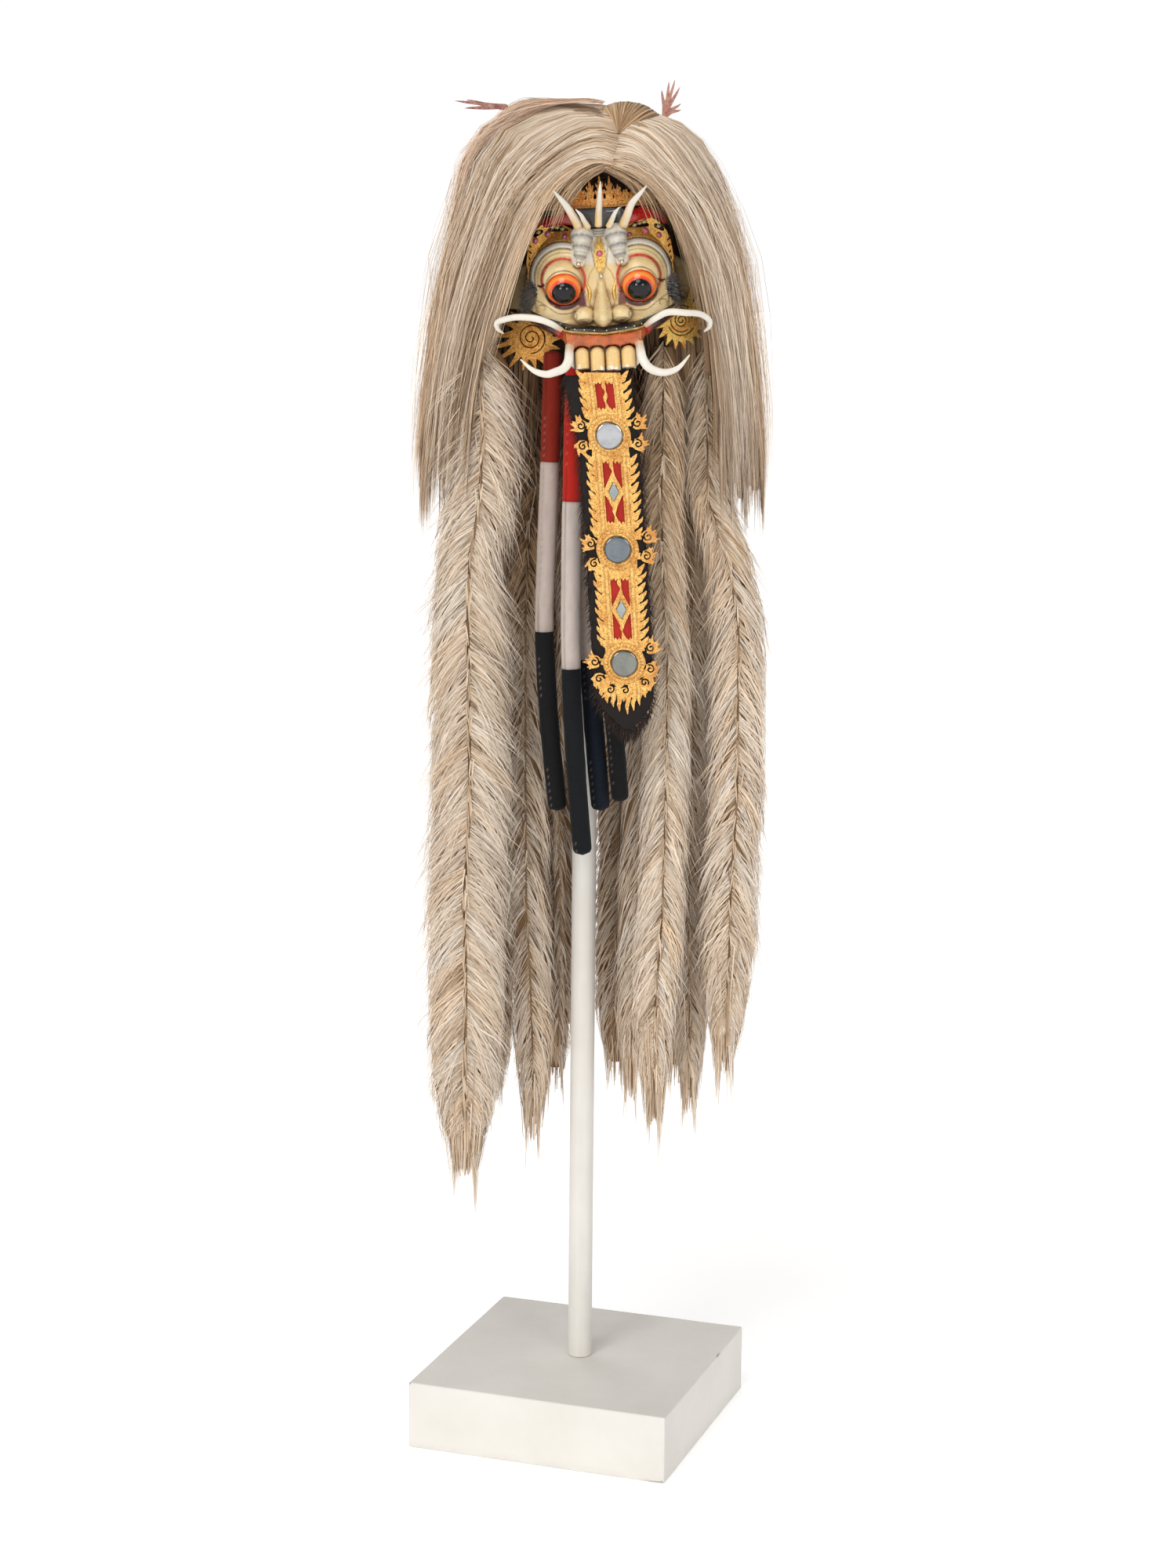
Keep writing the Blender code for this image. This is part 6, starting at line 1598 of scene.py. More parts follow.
# plates over the brows
def brow_plate(side, tag):
    heap = Heap()

    def world(a, w, h):
        k, _ = brow_k(a, w)
        base = carve(side * a, np.minimum(w, 0.0800)) - 0.25 * np.maximum(w - 0.0800, 0)
        return face_point(side * a, w, np.maximum(base, 0.1180) + 0.0030 + h)

    peak = 0.073 if side > 0 else 0.064

    def field(a, w):
        k, r0 = brow_k(a, w)
        inner = (k - 1.07) * 0.016
        top_a = np.array([0.030, 0.038, 0.050, 0.060, 0.068, peak, 0.080, 0.088, 0.095, 0.101, 0.105, 0.106])
        top_w = np.array([0.0700, 0.0790, 0.0850, 0.0865, 0.0860, 0.0885, 0.0855, 0.0790, 0.0690, 0.0560, 0.0380, 0.0100])
        roof = np.interp(a, top_a, top_w) - w
        wall = np.interp(w, [-0.010, 0.012, 0.035, 0.060, 0.080], [0.0985, 0.1010, 0.1030, 0.0990, 0.0930]) - a
        f = np.minimum(np.minimum(inner, roof), wall)
        f = np.minimum(f, w - 0.004)
        f = np.minimum(f, a - 0.0345 + 0.06 * np.maximum(w - 0.06, 0))
        f = np.maximum(f, stroke(a, w, [(peak, 0.0800), (peak, 0.0860), (peak + 0.001, 0.0930)], [0.0050, 0.0030, 0.0004]))
        hole = stroke(a, w, [(0.0440, 0.0765), (0.0520, 0.0795), (0.0610, 0.0800), (0.0680, 0.0785)], [0.0022, 0.0040, 0.0042, 0.0026])
        hole = np.maximum(hole, stroke(a, w, [(0.0800, 0.0770), (0.0850, 0.0755), (0.0890, 0.0715)], [0.0030, 0.0038, 0.0026]))
        for j in range(7):
            w_ = 0.014 + j * 0.0085
            hole = np.maximum(hole, stroke(a, w, [(0.0975 + 0.002 * math.sin(j), w_), (0.0990, w_ + 0.0035)], [0.0011, 0.0008]))
        return np.minimum(f, -hole)

    def rise(a, w):
        k, _ = brow_k(a, w)
        beads = 0.0009 * np.exp(-((k - 1.13) / 0.035) ** 2)
        swirl = 0.0007 * np.sin(240 * np.hypot(a - 0.060, w - 0.072) + 2 * np.arctan2(w - 0.072, a - 0.060)) * step(0.062, 0.068, w)
        return granulated(a, w, 91 + side, 0.00050) + beads + swirl

    def tone(a, w):
        k, _ = brow_k(a, w)
        # The gilt is painted brighter here than elsewhere, as painted light making up for the shade of the hair over
        # the plates.
        c = gold_tone(a, w, 93 + side, np.array([1.42, 0.97, 0.84]), 0.26)
        c = lay(c, np.exp(-((k - 1.13) / 0.04) ** 2) * 0.6, (0.86, 0.58, 0.20))
        return lay(c, 0.5 * step(0.086, 0.100, a), (0.30, 0.13, 0.035))

    if side < 0:
        cut_sheet(heap, field, (0.020, 0.110, 0.000, 0.096), 0.00125, lambda a, w, h: world(a, w, h), 0.0016, rise, tone, merge=3)
        for part in (heap.q, heap.t):
            for i in range(len(part)):
                part[i] = part[i][:, ::-1]
    else:
        cut_sheet(heap, field, (0.020, 0.110, 0.000, 0.096), 0.00125, lambda a, w, h: world(a, w, h), 0.0016, rise, tone, merge=3)
    for a, w, r in (((0.0420, 0.0660, 0.0034), (0.0650, 0.0705, 0.0040), (0.0840, 0.0640, 0.0034)) if side > 0 else
                    ((0.0470, 0.0680, 0.0040), (0.0710, 0.0730, 0.0040), (0.0890, 0.0650, 0.0036))):
        gem(heap, world(np.array(a), np.array(w), 0.0008), face_vector(side * 0.3, 0.2, 1), r, (0.62, 0.11, 0.30) if a > 0.05 else (0.34, 0.05, 0.12))
    pale = (0.86, 0.76, 0.50)
    for a, w, r, long in ((0.0500, 0.0790, 0.0032, 1.3), (0.0570, 0.0815, 0.0030, 1.6), (0.0640, 0.0830, 0.0034, 1.5), (0.0840, 0.0760, 0.0028, 1.4)):
        c = world(np.array(a), np.array(w), -0.0010)
        pts = np.array([c + np.array([-r * long * 0.8, 0, -r * 0.3]), c, c + np.array([r * long * 0.8, 0, r * 0.4])])
        fine = smooth_path(np.c_[pts, [r * 0.35, r, r * 0.35]], 9)
        add_tube(heap, fine[:, :3], fine[:, 3], 10, col=np.tile([[pale]], (9, 10, 1)))
    k_ring = np.linspace(math.radians(4 if side > 0 else 2), math.radians(150), 46)
    for t in k_ring:
        r = 0.0288 + 1.13 * (0.0175 + 0.0060 * math.sin(t))
        a, w = EYE_HALF + r * math.cos(t), RING_W + r * math.sin(t)
        if a > 0.0355 + 0.002 and w > 0.008:
            add_ball(heap, world(np.array(a), np.array(w), 0.0009), 0.0010, face_vector(0, 0, 1), 4, 7, (0.90, 0.64, 0.26), 0, 0.8, True)
    ob = heap.build(f"gilt_brow_{tag}", [GILT, GEM], sharp=45, col=True)
    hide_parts(f"brow_plate_{tag}")


brow_plate(-1, "left")
brow_plate(1, "right")

# leaf down the forehead
heap = Heap()


def leaf_place(u, w, h):
    return face_point(u, w, carve(0 * u + 0.002, np.minimum(w, 0.062)) + 0.0026 + h)


def leaf_half(w):
    q = np.clip((w - 0.0165) / (0.0650 - 0.0165), 0, 1)
    return 0.0012 + 0.0066 * np.sin(math.pi * q ** 0.85) ** 0.9 + 0.0008 * np.sin(q * 40)


cut_sheet(heap, lambda u, w: np.minimum(leaf_half(w) - np.abs(u), np.minimum(w - 0.0150, 0.0670 - w)), (-0.012, 0.012, 0.012, 0.070), 0.0009, leaf_place, 0.0018,
          lambda u, w: 0.0010 * (1 - np.minimum(1, np.abs(u) / np.maximum(leaf_half(w), 1e-4))) + granulated(u, w, 97, 0.0002),
          lambda u, w: lay(gold_tone(u, w, 98, 0.85, 0.3), step(0.55, 0.9, np.abs(u) / leaf_half(w)), (0.92, 0.62, 0.18)), merge=2)
gem(heap, leaf_place(np.array(-0.0005), np.array(0.0425), 0.0010), face_vector(0, 0.1, 1), 0.0036, (0.66, 0.06, 0.24))
for w in (0.0270, 0.0325, 0.0535, 0.0590):
    add_ball(heap, leaf_place(np.array(0.0), np.array(w), 0.0012), 0.0013, face_vector(0, 0, 1), 4, 8, (0.92, 0.66, 0.28), 0, 0.8, True)
ob = heap.build("forehead_gilt_leaf", [GILT, GEM], sharp=45, col=True)
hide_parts("forehead_leaf")


# ear ornaments
def facing_front(x, y, z, turn=0.0, lean=0.0, roll=0.0):
    return np.array(Matrix.Translation((x, y, z)) @ Matrix.Rotation(math.radians(turn), 4, "Z") @ Matrix.Rotation(math.radians(90 + lean), 4, "X") @ Matrix.Rotation(math.radians(roll), 4, "Z"))


def on_plane(M):
    def place(u, v, h):
        u, v, h = np.broadcast_arrays(u, v, h)
        return np.stack([u, v, h], -1) @ M[:3, :3].T + M[:3, 3]
    return place


def ear_ornament(tag, M, body, flames, slots, bright, seed, thick=0.0018):
    heap = Heap()

    def field(u, v):
        f = body - np.hypot(u, v)
        for (cu, cv, ang, length, bend, width) in flames:
            f = np.maximum(f, stroke(u, v, flame_pts(cu, cv, ang, length, bend), width * FLAME_R))
        for pts, half in slots:
            f = np.minimum(f, -stroke(u, v, pts, half))
        return f

    def rise(u, v):
        r = np.hypot(u, v)
        dome_ = 0.0035 * np.clip(1 - (r / 0.045) ** 2, 0, 1)
        return dome_ + granulated(u, v, seed, 0.0003)

    def tone(u, v):
        return gold_tone(u, v, seed + 2, bright, 0.5)

    cut_sheet(heap, field, (-0.066, 0.054, -0.054, 0.062), 0.0012, on_plane(M), thick, rise, tone, merge=3)
    ob = heap.build(f"flaming_ear_ornament_{tag}", [GILT], sharp=45, col=True)
    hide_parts(f"ear_ornament_{tag}")


flames = []
for k in range(17):
    t = math.radians(-176 + k * 21.2)
    left = max(0.0, -math.cos(t))
    length = 0.0185 + 0.0190 * left ** 1.6
    aim = t + 0.35 * math.sin(t) * left + 0.25
    flames.append((0.0245 * math.cos(t), 0.0245 * math.sin(t), aim, length, 0.0045 * (1 if math.sin(t) < 0.3 else -1), 0.0056))
slots = [(spiral_pts(-0.001, 0.001, 0.0024, 0.0218, 2.35, 0.6, -1, 60), 0.00085), ([(0.0170, 0.0100), (0.0195, 0.0030), (0.0190, -0.0050)], 0.0007)]
# The left ornament's gilt is painted darker than the right one's, as painted shade.
ear_ornament("left", facing_front(-0.0800, -0.0860, 1.6460, turn=-10), 0.0290, flames, slots, np.array([0.82, 0.64, 0.50]), 111)
flames = []
for k in range(17):
    t = math.radians(-176 + k * 21.2)
    up = max(0.0, math.sin(t + 0.35))
    length = 0.0190 + 0.0150 * up ** 1.5
    flames.append((0.0235 * math.cos(t), 0.0235 * math.sin(t), t + 0.35, length, 0.0045, 0.0056))
slots = [(spiral_pts(0.0, 0.0, 0.0018, 0.0125, 2.1, 0.3, -1, 50), 0.00080),
         (spiral_pts(0.0, 0.0, 0.0160, 0.0165, 0.36, 0.2, 1, 18), 0.0009), (spiral_pts(0.0, 0.0, 0.0163, 0.0163, 0.36, 3.1, 1, 18), 0.0009),
         (spiral_pts(0.0, 0.0, 0.0210, 0.0214, 0.30, 1.0, 1, 18), 0.0009), (spiral_pts(0.0, 0.0, 0.0212, 0.0212, 0.34, 3.6, 1, 18), 0.0009)]
# The right ornament's gilt is painted brighter than the left one's, as painted light.
ear_ornament("right", facing_front(0.1290, -0.0900, 1.6740, turn=22), 0.0275, flames, slots, np.array([1.48, 1.10, 1.00]), 117)

# ---------------------------------------------------------------- the tongue: gilt strip, red cloth, mirrors and fur
def tongue_x(z):
    return 0.0190 + 0.0405 * np.clip((TONGUE_TOP - z) / (TONGUE_TOP - TONGUE_END), 0, 1.1) ** 0.75


TOP_M, MID_M, LOW_M = MIRROR_Z
# Curls of open work beside the mirrors: across, height, size, turn of the spiral, way it turns, side the flames lean to
CURLS = [(-0.0385, TOP_M + 0.0135, 0.0086, 0.4, 1), (-0.0380, TOP_M - 0.0150, 0.0084, 2.2, -1), (0.0410, TOP_M + 0.0180, 0.0090, 2.8, -1), (0.0390, TOP_M - 0.0110, 0.0084, 1.0, 1),
         (-0.0375, MID_M + 0.0080, 0.0088, 0.4, 1), (-0.0340, MID_M - 0.0200, 0.0084, 2.2, -1), (0.0440, MID_M + 0.0185, 0.0094, 2.8, -1), (0.0400, MID_M - 0.0090, 0.0088, 1.0, 1),
         (-0.0420, LOW_M + 0.0020, 0.0092, 0.4, 1), (-0.0365, LOW_M - 0.0225, 0.0086, 1.2, -1), (-0.0220, LOW_M - 0.0375, 0.0088, 0.8, 1), (-0.0010, LOW_M - 0.0385, 0.0080, 1.6, 1),
         (0.0385, LOW_M + 0.0225, 0.0090, 2.6, -1), (0.0360, LOW_M - 0.0080, 0.0086, 1.0, 1), (0.0270, LOW_M - 0.0270, 0.0082, 0.5, -1)]
WINDOWS = [(1.5925, 1.5510), (1.4830, 1.4390), (1.4390, 1.3930), (1.3190, 1.2738), (1.2738, 1.2290)]


def strip_field(x, z):
    u = x - tongue_x(z)
    half = STRIP_HALF * (1 + 0.03 * np.sin(z * 90))
    f = np.minimum(half - np.abs(u), np.minimum(TONGUE_TOP + 0.004 - z, z - (LOW_M - 0.010)))
    for m in MIRROR_Z:
        f = np.maximum(f, 0.0300 - np.hypot(u, z - m))
    # flames along both edges
    j = 0
    for side in (-1, 1):
        for zc in np.arange(TONGUE_TOP - 0.002, LOW_M + 0.020, -0.0128):
            if min(abs(zc + 0.004 - m) for m in MIRROR_Z) < 0.0230:
                continue
            j += 1
            wob = 0.0010 * math.sin(j * 2.3)
            x0 = float(tongue_x(np.array(zc)))
            pts = [(x0 + side * 0.0215, zc - 0.0030), (x0 + side * 0.0275, zc - 0.0015 + wob), (x0 + side * 0.0312, zc + 0.0030), (x0 + side * (0.0340 + wob), zc + 0.0058), (x0 + side * (0.0368 + wob), zc + 0.0105 + wob)]
            f = np.maximum(f, stroke(x, z, pts, [0.0062, 0.0046, 0.0030, 0.0022, 0.0003]))
    # curls with their own small flames
    for k, (cu, cz, r, phase, way) in enumerate(CURLS):
        cx = float(tongue_x(np.array(cz))) + cu
        f = np.maximum(f, r - np.hypot(x - cx, z - cz))
        x0 = float(tongue_x(np.array(cz)))
        f = np.maximum(f, stroke(x, z, [(x0 + 0.60 * cu, cz), (cx, cz)], [0.0040, 0.0050]))
        away = math.atan2((cz - min(MIRROR_Z, key=lambda m: abs(m - cz))) * 0.7, cu)
        for i, turn_ in enumerate((-1.25, -0.70, -0.15, 0.40, 0.95, 1.45)):
            t = away + turn_
            aim = t * 0.75 + 0.25 * (math.pi / 2 if cz > LOW_M - 0.03 else away)
            ln = 0.0092 + 0.0026 * math.sin(i * 2.1 + k)
            f = np.maximum(f, stroke(x, z, flame_pts(cx + 0.0068 * math.cos(t), cz + 0.0068 * math.sin(t), aim, ln, 0.0020 * (-1) ** i), 0.0027 * FLAME_R))
    # long flames below the last mirror
    for cu, top, tip in ((-0.0350, -0.0340, 1.1500), (-0.0270, -0.0390, 1.1400), (-0.0185, -0.0420, 1.1345), (-0.0095, -0.0400, 1.1270), (0.0020, -0.0400, 1.1225),
                         (0.0105, -0.0380, 1.1285), (0.0185, -0.0350, 1.1370), (0.0265, -0.0310, 1.1480), (0.0340, -0.0250, 1.1580)):
        x0 = 0.0575 + cu
        za = LOW_M + top
        span = za - tip
        pts = [(x0 * 0.9 + 0.1 * 0.0575, za + 0.012), (x0, za), (x0 + 0.0012, za - span * 0.35), (x0 - 0.0008, za - span * 0.62), (x0 + 0.0010, tip)]
        f = np.maximum(f, stroke(x, z, pts, [0.0062, 0.0050, 0.0032, 0.0026, 0.0003]))
    # windows onto the red cloth, with a wavy stem down the middle and toothed ends
    for top, bottom in WINDOWS:
        inside = np.minimum(0.0128 - np.abs(u), np.minimum(top - z, z - bottom))
        for m in DIAMOND_Z:
            inside = np.minimum(inside, (np.abs(u) / 0.0142 + np.abs(z - m) / 0.0285 - 1) * 0.0110)
        q = (z - bottom) / (top - bottom)
        stem = 0.0020 + 0.0009 * np.sin(q * 17) - np.abs(u - 0.0010 * np.sin(q * 13))
        teeth = 0.0042 * np.abs(((u / 0.0052) % 1.0) - 0.5) * 2
        inside = np.minimum(inside, np.minimum(top - z - teeth - 0.0010, z - bottom - teeth - 0.0010))
        f = np.minimum(f, -np.minimum(inside, -stem))
    for k, (cu, cz, r, phase, way) in enumerate(CURLS):
        cx = float(tongue_x(np.array(cz))) + cu
        f = np.minimum(f, -stroke(x, z, spiral_pts(cx, cz, 0.0014, r * 0.74, 1.15, phase, way, 22), 0.00105))
        away = math.atan2(cz - min(MIRROR_Z, key=lambda m: abs(m - cz)), cu)
        t0 = away + math.pi
        f = np.minimum(f, -stroke(x, z, [(cx + r * 0.95 * math.cos(t0 - 0.5), cz + r * 0.95 * math.sin(t0 - 0.5)), (cx + r * 0.95 * math.cos(t0 + 0.2), cz + r * 0.95 * math.sin(t0 + 0.2))], 0.0010))
    return f


def strip_place(x, z, h):
    x, z, h = np.broadcast_arrays(x, z, h)
    return np.stack([x, -(TONGUE_D + h) + 0 * x, z], -1)


def strip_rise(x, z):
    u = x - tongue_x(z)
    a = np.abs(u)
    h = granulated(x, z, 131, 0.00055)
    for edge in (0.0140, 0.0238):
        h = h + 0.0006 * np.exp(-(((a - edge) / 0.0011) ** 2)) * (0.6 + 0.4 * np.sin(z * 2600))
    for m in MIRROR_Z:
        r = np.hypot(u, z - m)
        t = np.arctan2(z - m, u)
        h = h * np.where(r < 0.0300, 0.5, 1)
        h = h + 0.0014 * np.exp(-(((r - 0.0205) / 0.0012) ** 2)) + 0.0012 * np.exp(-(((r - 0.0248) / 0.0024) ** 2)) * (0.5 + 0.5 * np.cos(t * 34))
    for m in DIAMOND_Z:
        r = np.abs(u) / 0.0078 + np.abs(z - m) / 0.0150
        h = h + 0.0012 * np.exp(-(((r - 1.10) / 0.12) ** 2))
    return h


def strip_tone(x, z):
    u = x - tongue_x(z)
    c = gold_tone(x, z, 133, np.array([1.02, 0.93, 0.95]), 0.45)
    across = np.abs(x - tongue_x(z))
    near = np.min([np.hypot(across, z - m) for m in MIRROR_Z], axis=0)
    clear = step(0.0300, 0.0325, near)
    lines = (np.exp(-(((across - 0.0152) / 0.0009) ** 2)) + np.exp(-(((across - 0.0208) / 0.0009) ** 2))) * clear
    lines = lines + np.exp(-(((near - 0.0232) / 0.0009) ** 2)) + np.exp(-(((near - 0.0290) / 0.0009) ** 2))
    c = lay(c, 0.62 * np.clip(lines, 0, 1), (0.330, 0.110, 0.024))
    beads = (0.5 + 0.5 * np.sin(z * 2 * math.pi / 0.0054)) * np.exp(-(((across - 0.0180) / 0.0013) ** 2)) * clear
    c = lay(c, 0.50 * np.clip(beads, 0, 1), (0.960, 0.780, 0.400))
    a = np.abs(u)
    c = lay(c, 0.45 * step(0.0270, 0.0350, a) * (0.5 + 0.5 * noise(x * 160, z * 160, 135)), (0.74, 0.40, 0.16))
    c = lay(c, 0.65 * step(0.034, 0.044, u) * step(0.35, 0.75, 0.5 + 0.5 * noise(x * 60, z * 60, 136) + 0.2), (0.66, 0.30, 0.07))
    for m in MIRROR_Z:
        r = np.hypot(u, z - m)
        c = lay(c, 0.8 * np.exp(-(((r - 0.0188) / 0.0007) ** 2)), RUST)
        t = np.arctan2(z - m, u)
        c = lay(c, 0.5 * np.exp(-(((r - 0.0248) / 0.003) ** 2)) * step(0.2, -0.6, np.cos(t * 34)), DEEP_GOLD)
    return c


heap = Heap()
CELL = 0.00142
cut_sheet(heap, strip_field, (-0.040, 0.118, 1.1190, 1.6080), CELL, strip_place, 0.0014, strip_rise, strip_tone, merge=4)
ob = heap.build("openwork_tongue_strip", [GILT], sharp=50, col=True)
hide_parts("tongue_gilt_strip")


def cloth_shader(name, rough=0.82, sheen=0.35, threads=1500.0, nap=0.5):
    s = Shader(name, Roughness=rough, Specular_IOR_Level=0.16, Sheen_Weight=sheen, Sheen_Roughness=0.45)
    p = s.paint()
    warp = s.node("ShaderNodeTexWave", {"Vector": s.place()}, {"Scale": threads / 6.28, "Distortion": 0.6, "Detail": 1.0}, wave_type="BANDS", bands_direction="X").outputs["Fac"]
    weft = s.node("ShaderNodeTexWave", {"Vector": s.place()}, {"Scale": threads / 6.28, "Distortion": 0.6, "Detail": 1.0}, wave_type="BANDS", bands_direction="Z").outputs["Fac"]
    weave = s.math("MULTIPLY", warp, weft)
    slub = s.grain(90.0, 3.0, 0.6, (1, 1, 9))
    cloud = s.grain(22.0, 5.0, 0.62)
    c = s.mix(s.grey(weave, 0.0, 0.35, 0.0, 0.6), s.mix(1.0, p, (0.80, 0.78, 0.76), "MULTIPLY"), p)
    c = s.mix(s.grey(slub, 0.0, 0.30, 0.52, 0.72), c, s.mix(1.0, p, (0.72, 0.70, 0.68), "MULTIPLY"))
    c = s.mix(s.grey(cloud, 0.0, nap, 0.50, 0.74), c, s.mix(1.0, p, (0.80, 0.74, 0.66), "MULTIPLY"))
    s.to("Base Color", c)
    s.to("Roughness", s.grey(slub, rough - 0.08, rough + 0.08, 0.3, 0.7))
    s.bump(s.math("ADD", weave, slub), 0.35, 0.0006)
    return s.m


RED_CLOTH, TUBE_CLOTH = cloth_shader("red_cloth", 0.78, 0.30), cloth_shader("tube_cloth", 0.86, 0.06)
heap = Heap()
zs = np.linspace(1.5975, 1.2100, 130)[:, None]
us = np.linspace(-0.0220, 0.0220, 15)[None]
for sign in (1, -1):
    d = 0.1812 + sign * 0.0004 + 0.00015 * noise(zs * 120, us * 300, 141)
    V = np.stack([tongue_x(zs) + us + 0.0004 * noise(zs * 90, us * 0 + np.sign(us), 142), -d, zs + 0 * us], -1)
    f = grid_faces(130, 15)
    tone = np.array([0.520, 0.030, 0.020]) * (0.88 + 0.16 * noise(zs * 70, us * 200, 143))[..., None]
    heap.add(V, f if sign > 0 else f[:, ::-1], col=tone.reshape(-1, 3))
    loop = np.r_[np.arange(15), 14 + 15 * np.arange(1, 130), 129 * 15 + np.arange(13, -1, -1), np.arange(128, 0, -1) * 15]
    if sign > 0:
        first = V.reshape(-1, 3)[loop]
    else:
        second = V.reshape(-1, 3)[loop]
j = np.arange(len(loop))
heap.add(np.vstack([first, second]), np.stack([j, (j + 1) % len(loop), len(loop) + (j + 1) % len(loop), len(loop) + j], 1)[:, ::-1], col=(0.32, 0.02, 0.014))
ob = heap.build("red_backing_cloth", [RED_CLOTH], sharp=50, col=True)
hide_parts("tongue_red_cloth")


def mirror_shader():
    s = Shader("mirror_glass", Metallic=1.0, Roughness=0.10, Coat_Weight=0.5, Coat_Roughness=0.03)
    p = s.paint()
    cloud = s.grain(55.0, 5.0, 0.62)
    spots = s.grain(330.0, 4.0, 0.70)
    c = s.mix(s.grey(cloud, 0.0, 0.75, 0.42, 0.68), p, s.mix(1.0, p, (0.66, 0.70, 0.72), "MULTIPLY"))
    s.to("Base Color", s.mix(s.grey(spots, 0.0, 0.5, 0.62, 0.72), c, s.mix(1.0, p, (0.55, 0.48, 0.36), "MULTIPLY")))
    s.to("Roughness", s.grey(cloud, 0.07, 0.24, 0.35, 0.7))
    s.bump(s.grain(28.0, 2.0), 0.06, 0.0010)
    return s.m


GLASS = mirror_shader()


def mirror(name, node, z0, outline_, colour, sides=64):
    heap = Heap()
    t = 2 * math.pi * np.arange(sides) / sides
    rim = outline_(t)
    prof = [(0.0, 0.00150), (0.30, 0.00152), (0.60, 0.00150), (0.86, 0.00146), (0.93, 0.00120), (0.965, 0.00085), (0.985, 0.00020), (0.985, -0.00140), (0.93, -0.00150), (0.0, -0.00150)]
    V, C = [], []
    for q, h in prof:
        V.append(np.stack([tongue_x(z0) + rim[:, 0] * q, np.full(sides, -(0.1858 + h)), z0 + rim[:, 1] * q], 1))
        edge = 1.0 if q < 0.90 else 0.55 if q < 0.95 else 0.30
        C.append(np.tile([np.asarray(colour) * edge], (sides, 1)))
    heap.add(np.concatenate(V), grid_faces(len(prof), sides, close_cols=True), col=np.concatenate(C))
    ob = heap.build(name, [GLASS], sharp=25, col=True)
    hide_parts(node)


def round_rim(t):
    return np.stack([np.cos(t), np.sin(t)], 1) * (1.045 * MIRROR_R * (1 + 0.012 * np.sin(3 * t + 1) + 0.006 * np.sin(7 * t)))[:, None]


def lozenge_rim(t):
    c, s = np.cos(t), np.sin(t)
    r = 1 / (np.abs(c) / 0.0074 + np.abs(s) / 0.0142)
    r = np.minimum(r, 0.0136)
    return np.stack([c * r, s * r], 1)


# The mirrors' colours are painted reflections: the upper round one is painted bright, and the middle and lower ones
# dark.
mirror("upper_round_mirror", "mirror_round_upper", MIRROR_Z[0], round_rim, (0.52, 0.525, 0.54))
mirror("middle_round_mirror", "mirror_round_middle", MIRROR_Z[1], round_rim, (0.200, 0.225, 0.245))
mirror("lower_round_mirror", "mirror_round_lower", MIRROR_Z[2], round_rim, (0.260, 0.265, 0.235))
mirror("upper_diamond_mirror", "mirror_diamond_upper", DIAMOND_Z[0], lozenge_rim, (0.380, 0.420, 0.430), 60)
mirror("lower_diamond_mirror", "mirror_diamond_lower", DIAMOND_Z[1], lozenge_rim, (0.400, 0.440, 0.420), 60)

# fur: a skin with dark hair standing out round it
rng = np.random.default_rng(151)
heap = Heap()


def fur_half(z, side):
    base = np.where(side < 0, 0.0448, 0.0405) * (1 - (1 - step(FUR_END - 0.002, 1.175, z)) ** 2.2 * 0.96)
    top = 0.010 * step(1.50, 1.585, z) if side < 0 else 0.0
    return np.maximum(base + top, 0.001)


n_z, n_a = 110, 24
zs = np.linspace(1.5990, FUR_END + 0.002, n_z)[:, None]
ang = 2 * math.pi * np.arange(n_a)[None] / n_a
cx = np.cos(ang)
hw = np.where(cx < 0, fur_half(zs, -1), fur_half(zs, 1))
V = np.stack([tongue_x(zs) + hw * np.sign(cx) * np.abs(cx) ** 0.55 * (1 + 0.03 * noise(zs * 90, ang * 2, 152)),
              -(0.1738 + 0.0052 * np.sign(np.sin(ang)) * np.abs(np.sin(ang)) ** 0.5 * np.minimum(1, hw / 0.012) + 0.0004 * noise(zs * 160, ang * 5, 153)), zs + 0 * ang], -1)
V = np.vstack([V.reshape(-1, 3), V[0].mean(0), V[-1].mean(0)])
j, k = np.arange(n_a), (np.arange(n_a) + 1) % n_a
caps = np.vstack([np.stack([np.full(n_a, n_z * n_a), k, j], 1), np.stack([np.full(n_a, n_z * n_a + 1), (n_z - 1) * n_a + j, (n_z - 1) * n_a + k], 1)])
uv = np.stack([0.22 + 0.10 * noise(zs * 120, ang * 4, 154), 0.5 + 0.2 * noise(zs * 40, ang * 2, 155)], -1).reshape(-1, 2)
heap.add(V, grid_faces(n_z, n_a, close_cols=True), caps[:, ::-1], uv=np.vstack([uv, [[0.2, 0.5], [0.2, 0.51]]]))
m = int(1900 * FEW)
side = rng.choice((-1.0, 1.0), m)
z0 = FUR_END + 0.010 + (1.598 - FUR_END - 0.010) * rng.random(m)
q = np.linspace(0, 1, 5)[None]
ln = rng.uniform(0.008, 0.020, m)[:, None]
wild = rng.random(m) < 0.05
ln = ln * np.where(wild, 1.6, 1.0)[:, None]
down = rng.uniform(0.35, 1.5, m)[:, None]
hw0 = np.where(side < 0, fur_half(z0, -1), fur_half(z0, 1)) * rng.uniform(0.80, 0.99, m)
zz = z0[:, None] - ln * q * down * 0.8 - 0.003 * q * q
xx = tongue_x(z0)[:, None] + side[:, None] * (hw0[:, None] + ln * (q - 0.30 * q * q) * np.clip(1.25 - 0.6 * down, 0.12, 1) + 0.0015 * noise(q * 3, np.arange(m)[:, None] * 1.7, 156))
yy = -(0.1738 + rng.uniform(-0.0045, 0.0050, m)[:, None] + 0 * q)
P = np.stack([xx, yy, np.maximum(zz, FUR_END - 0.012)], -1)
N = np.broadcast_to(np.array([0.0, -1.0, 0.0]), P.shape)
tone = np.clip(rng.uniform(0.25, 0.80, m)[:, None] + 0.15 * q, 0.03, 0.97)
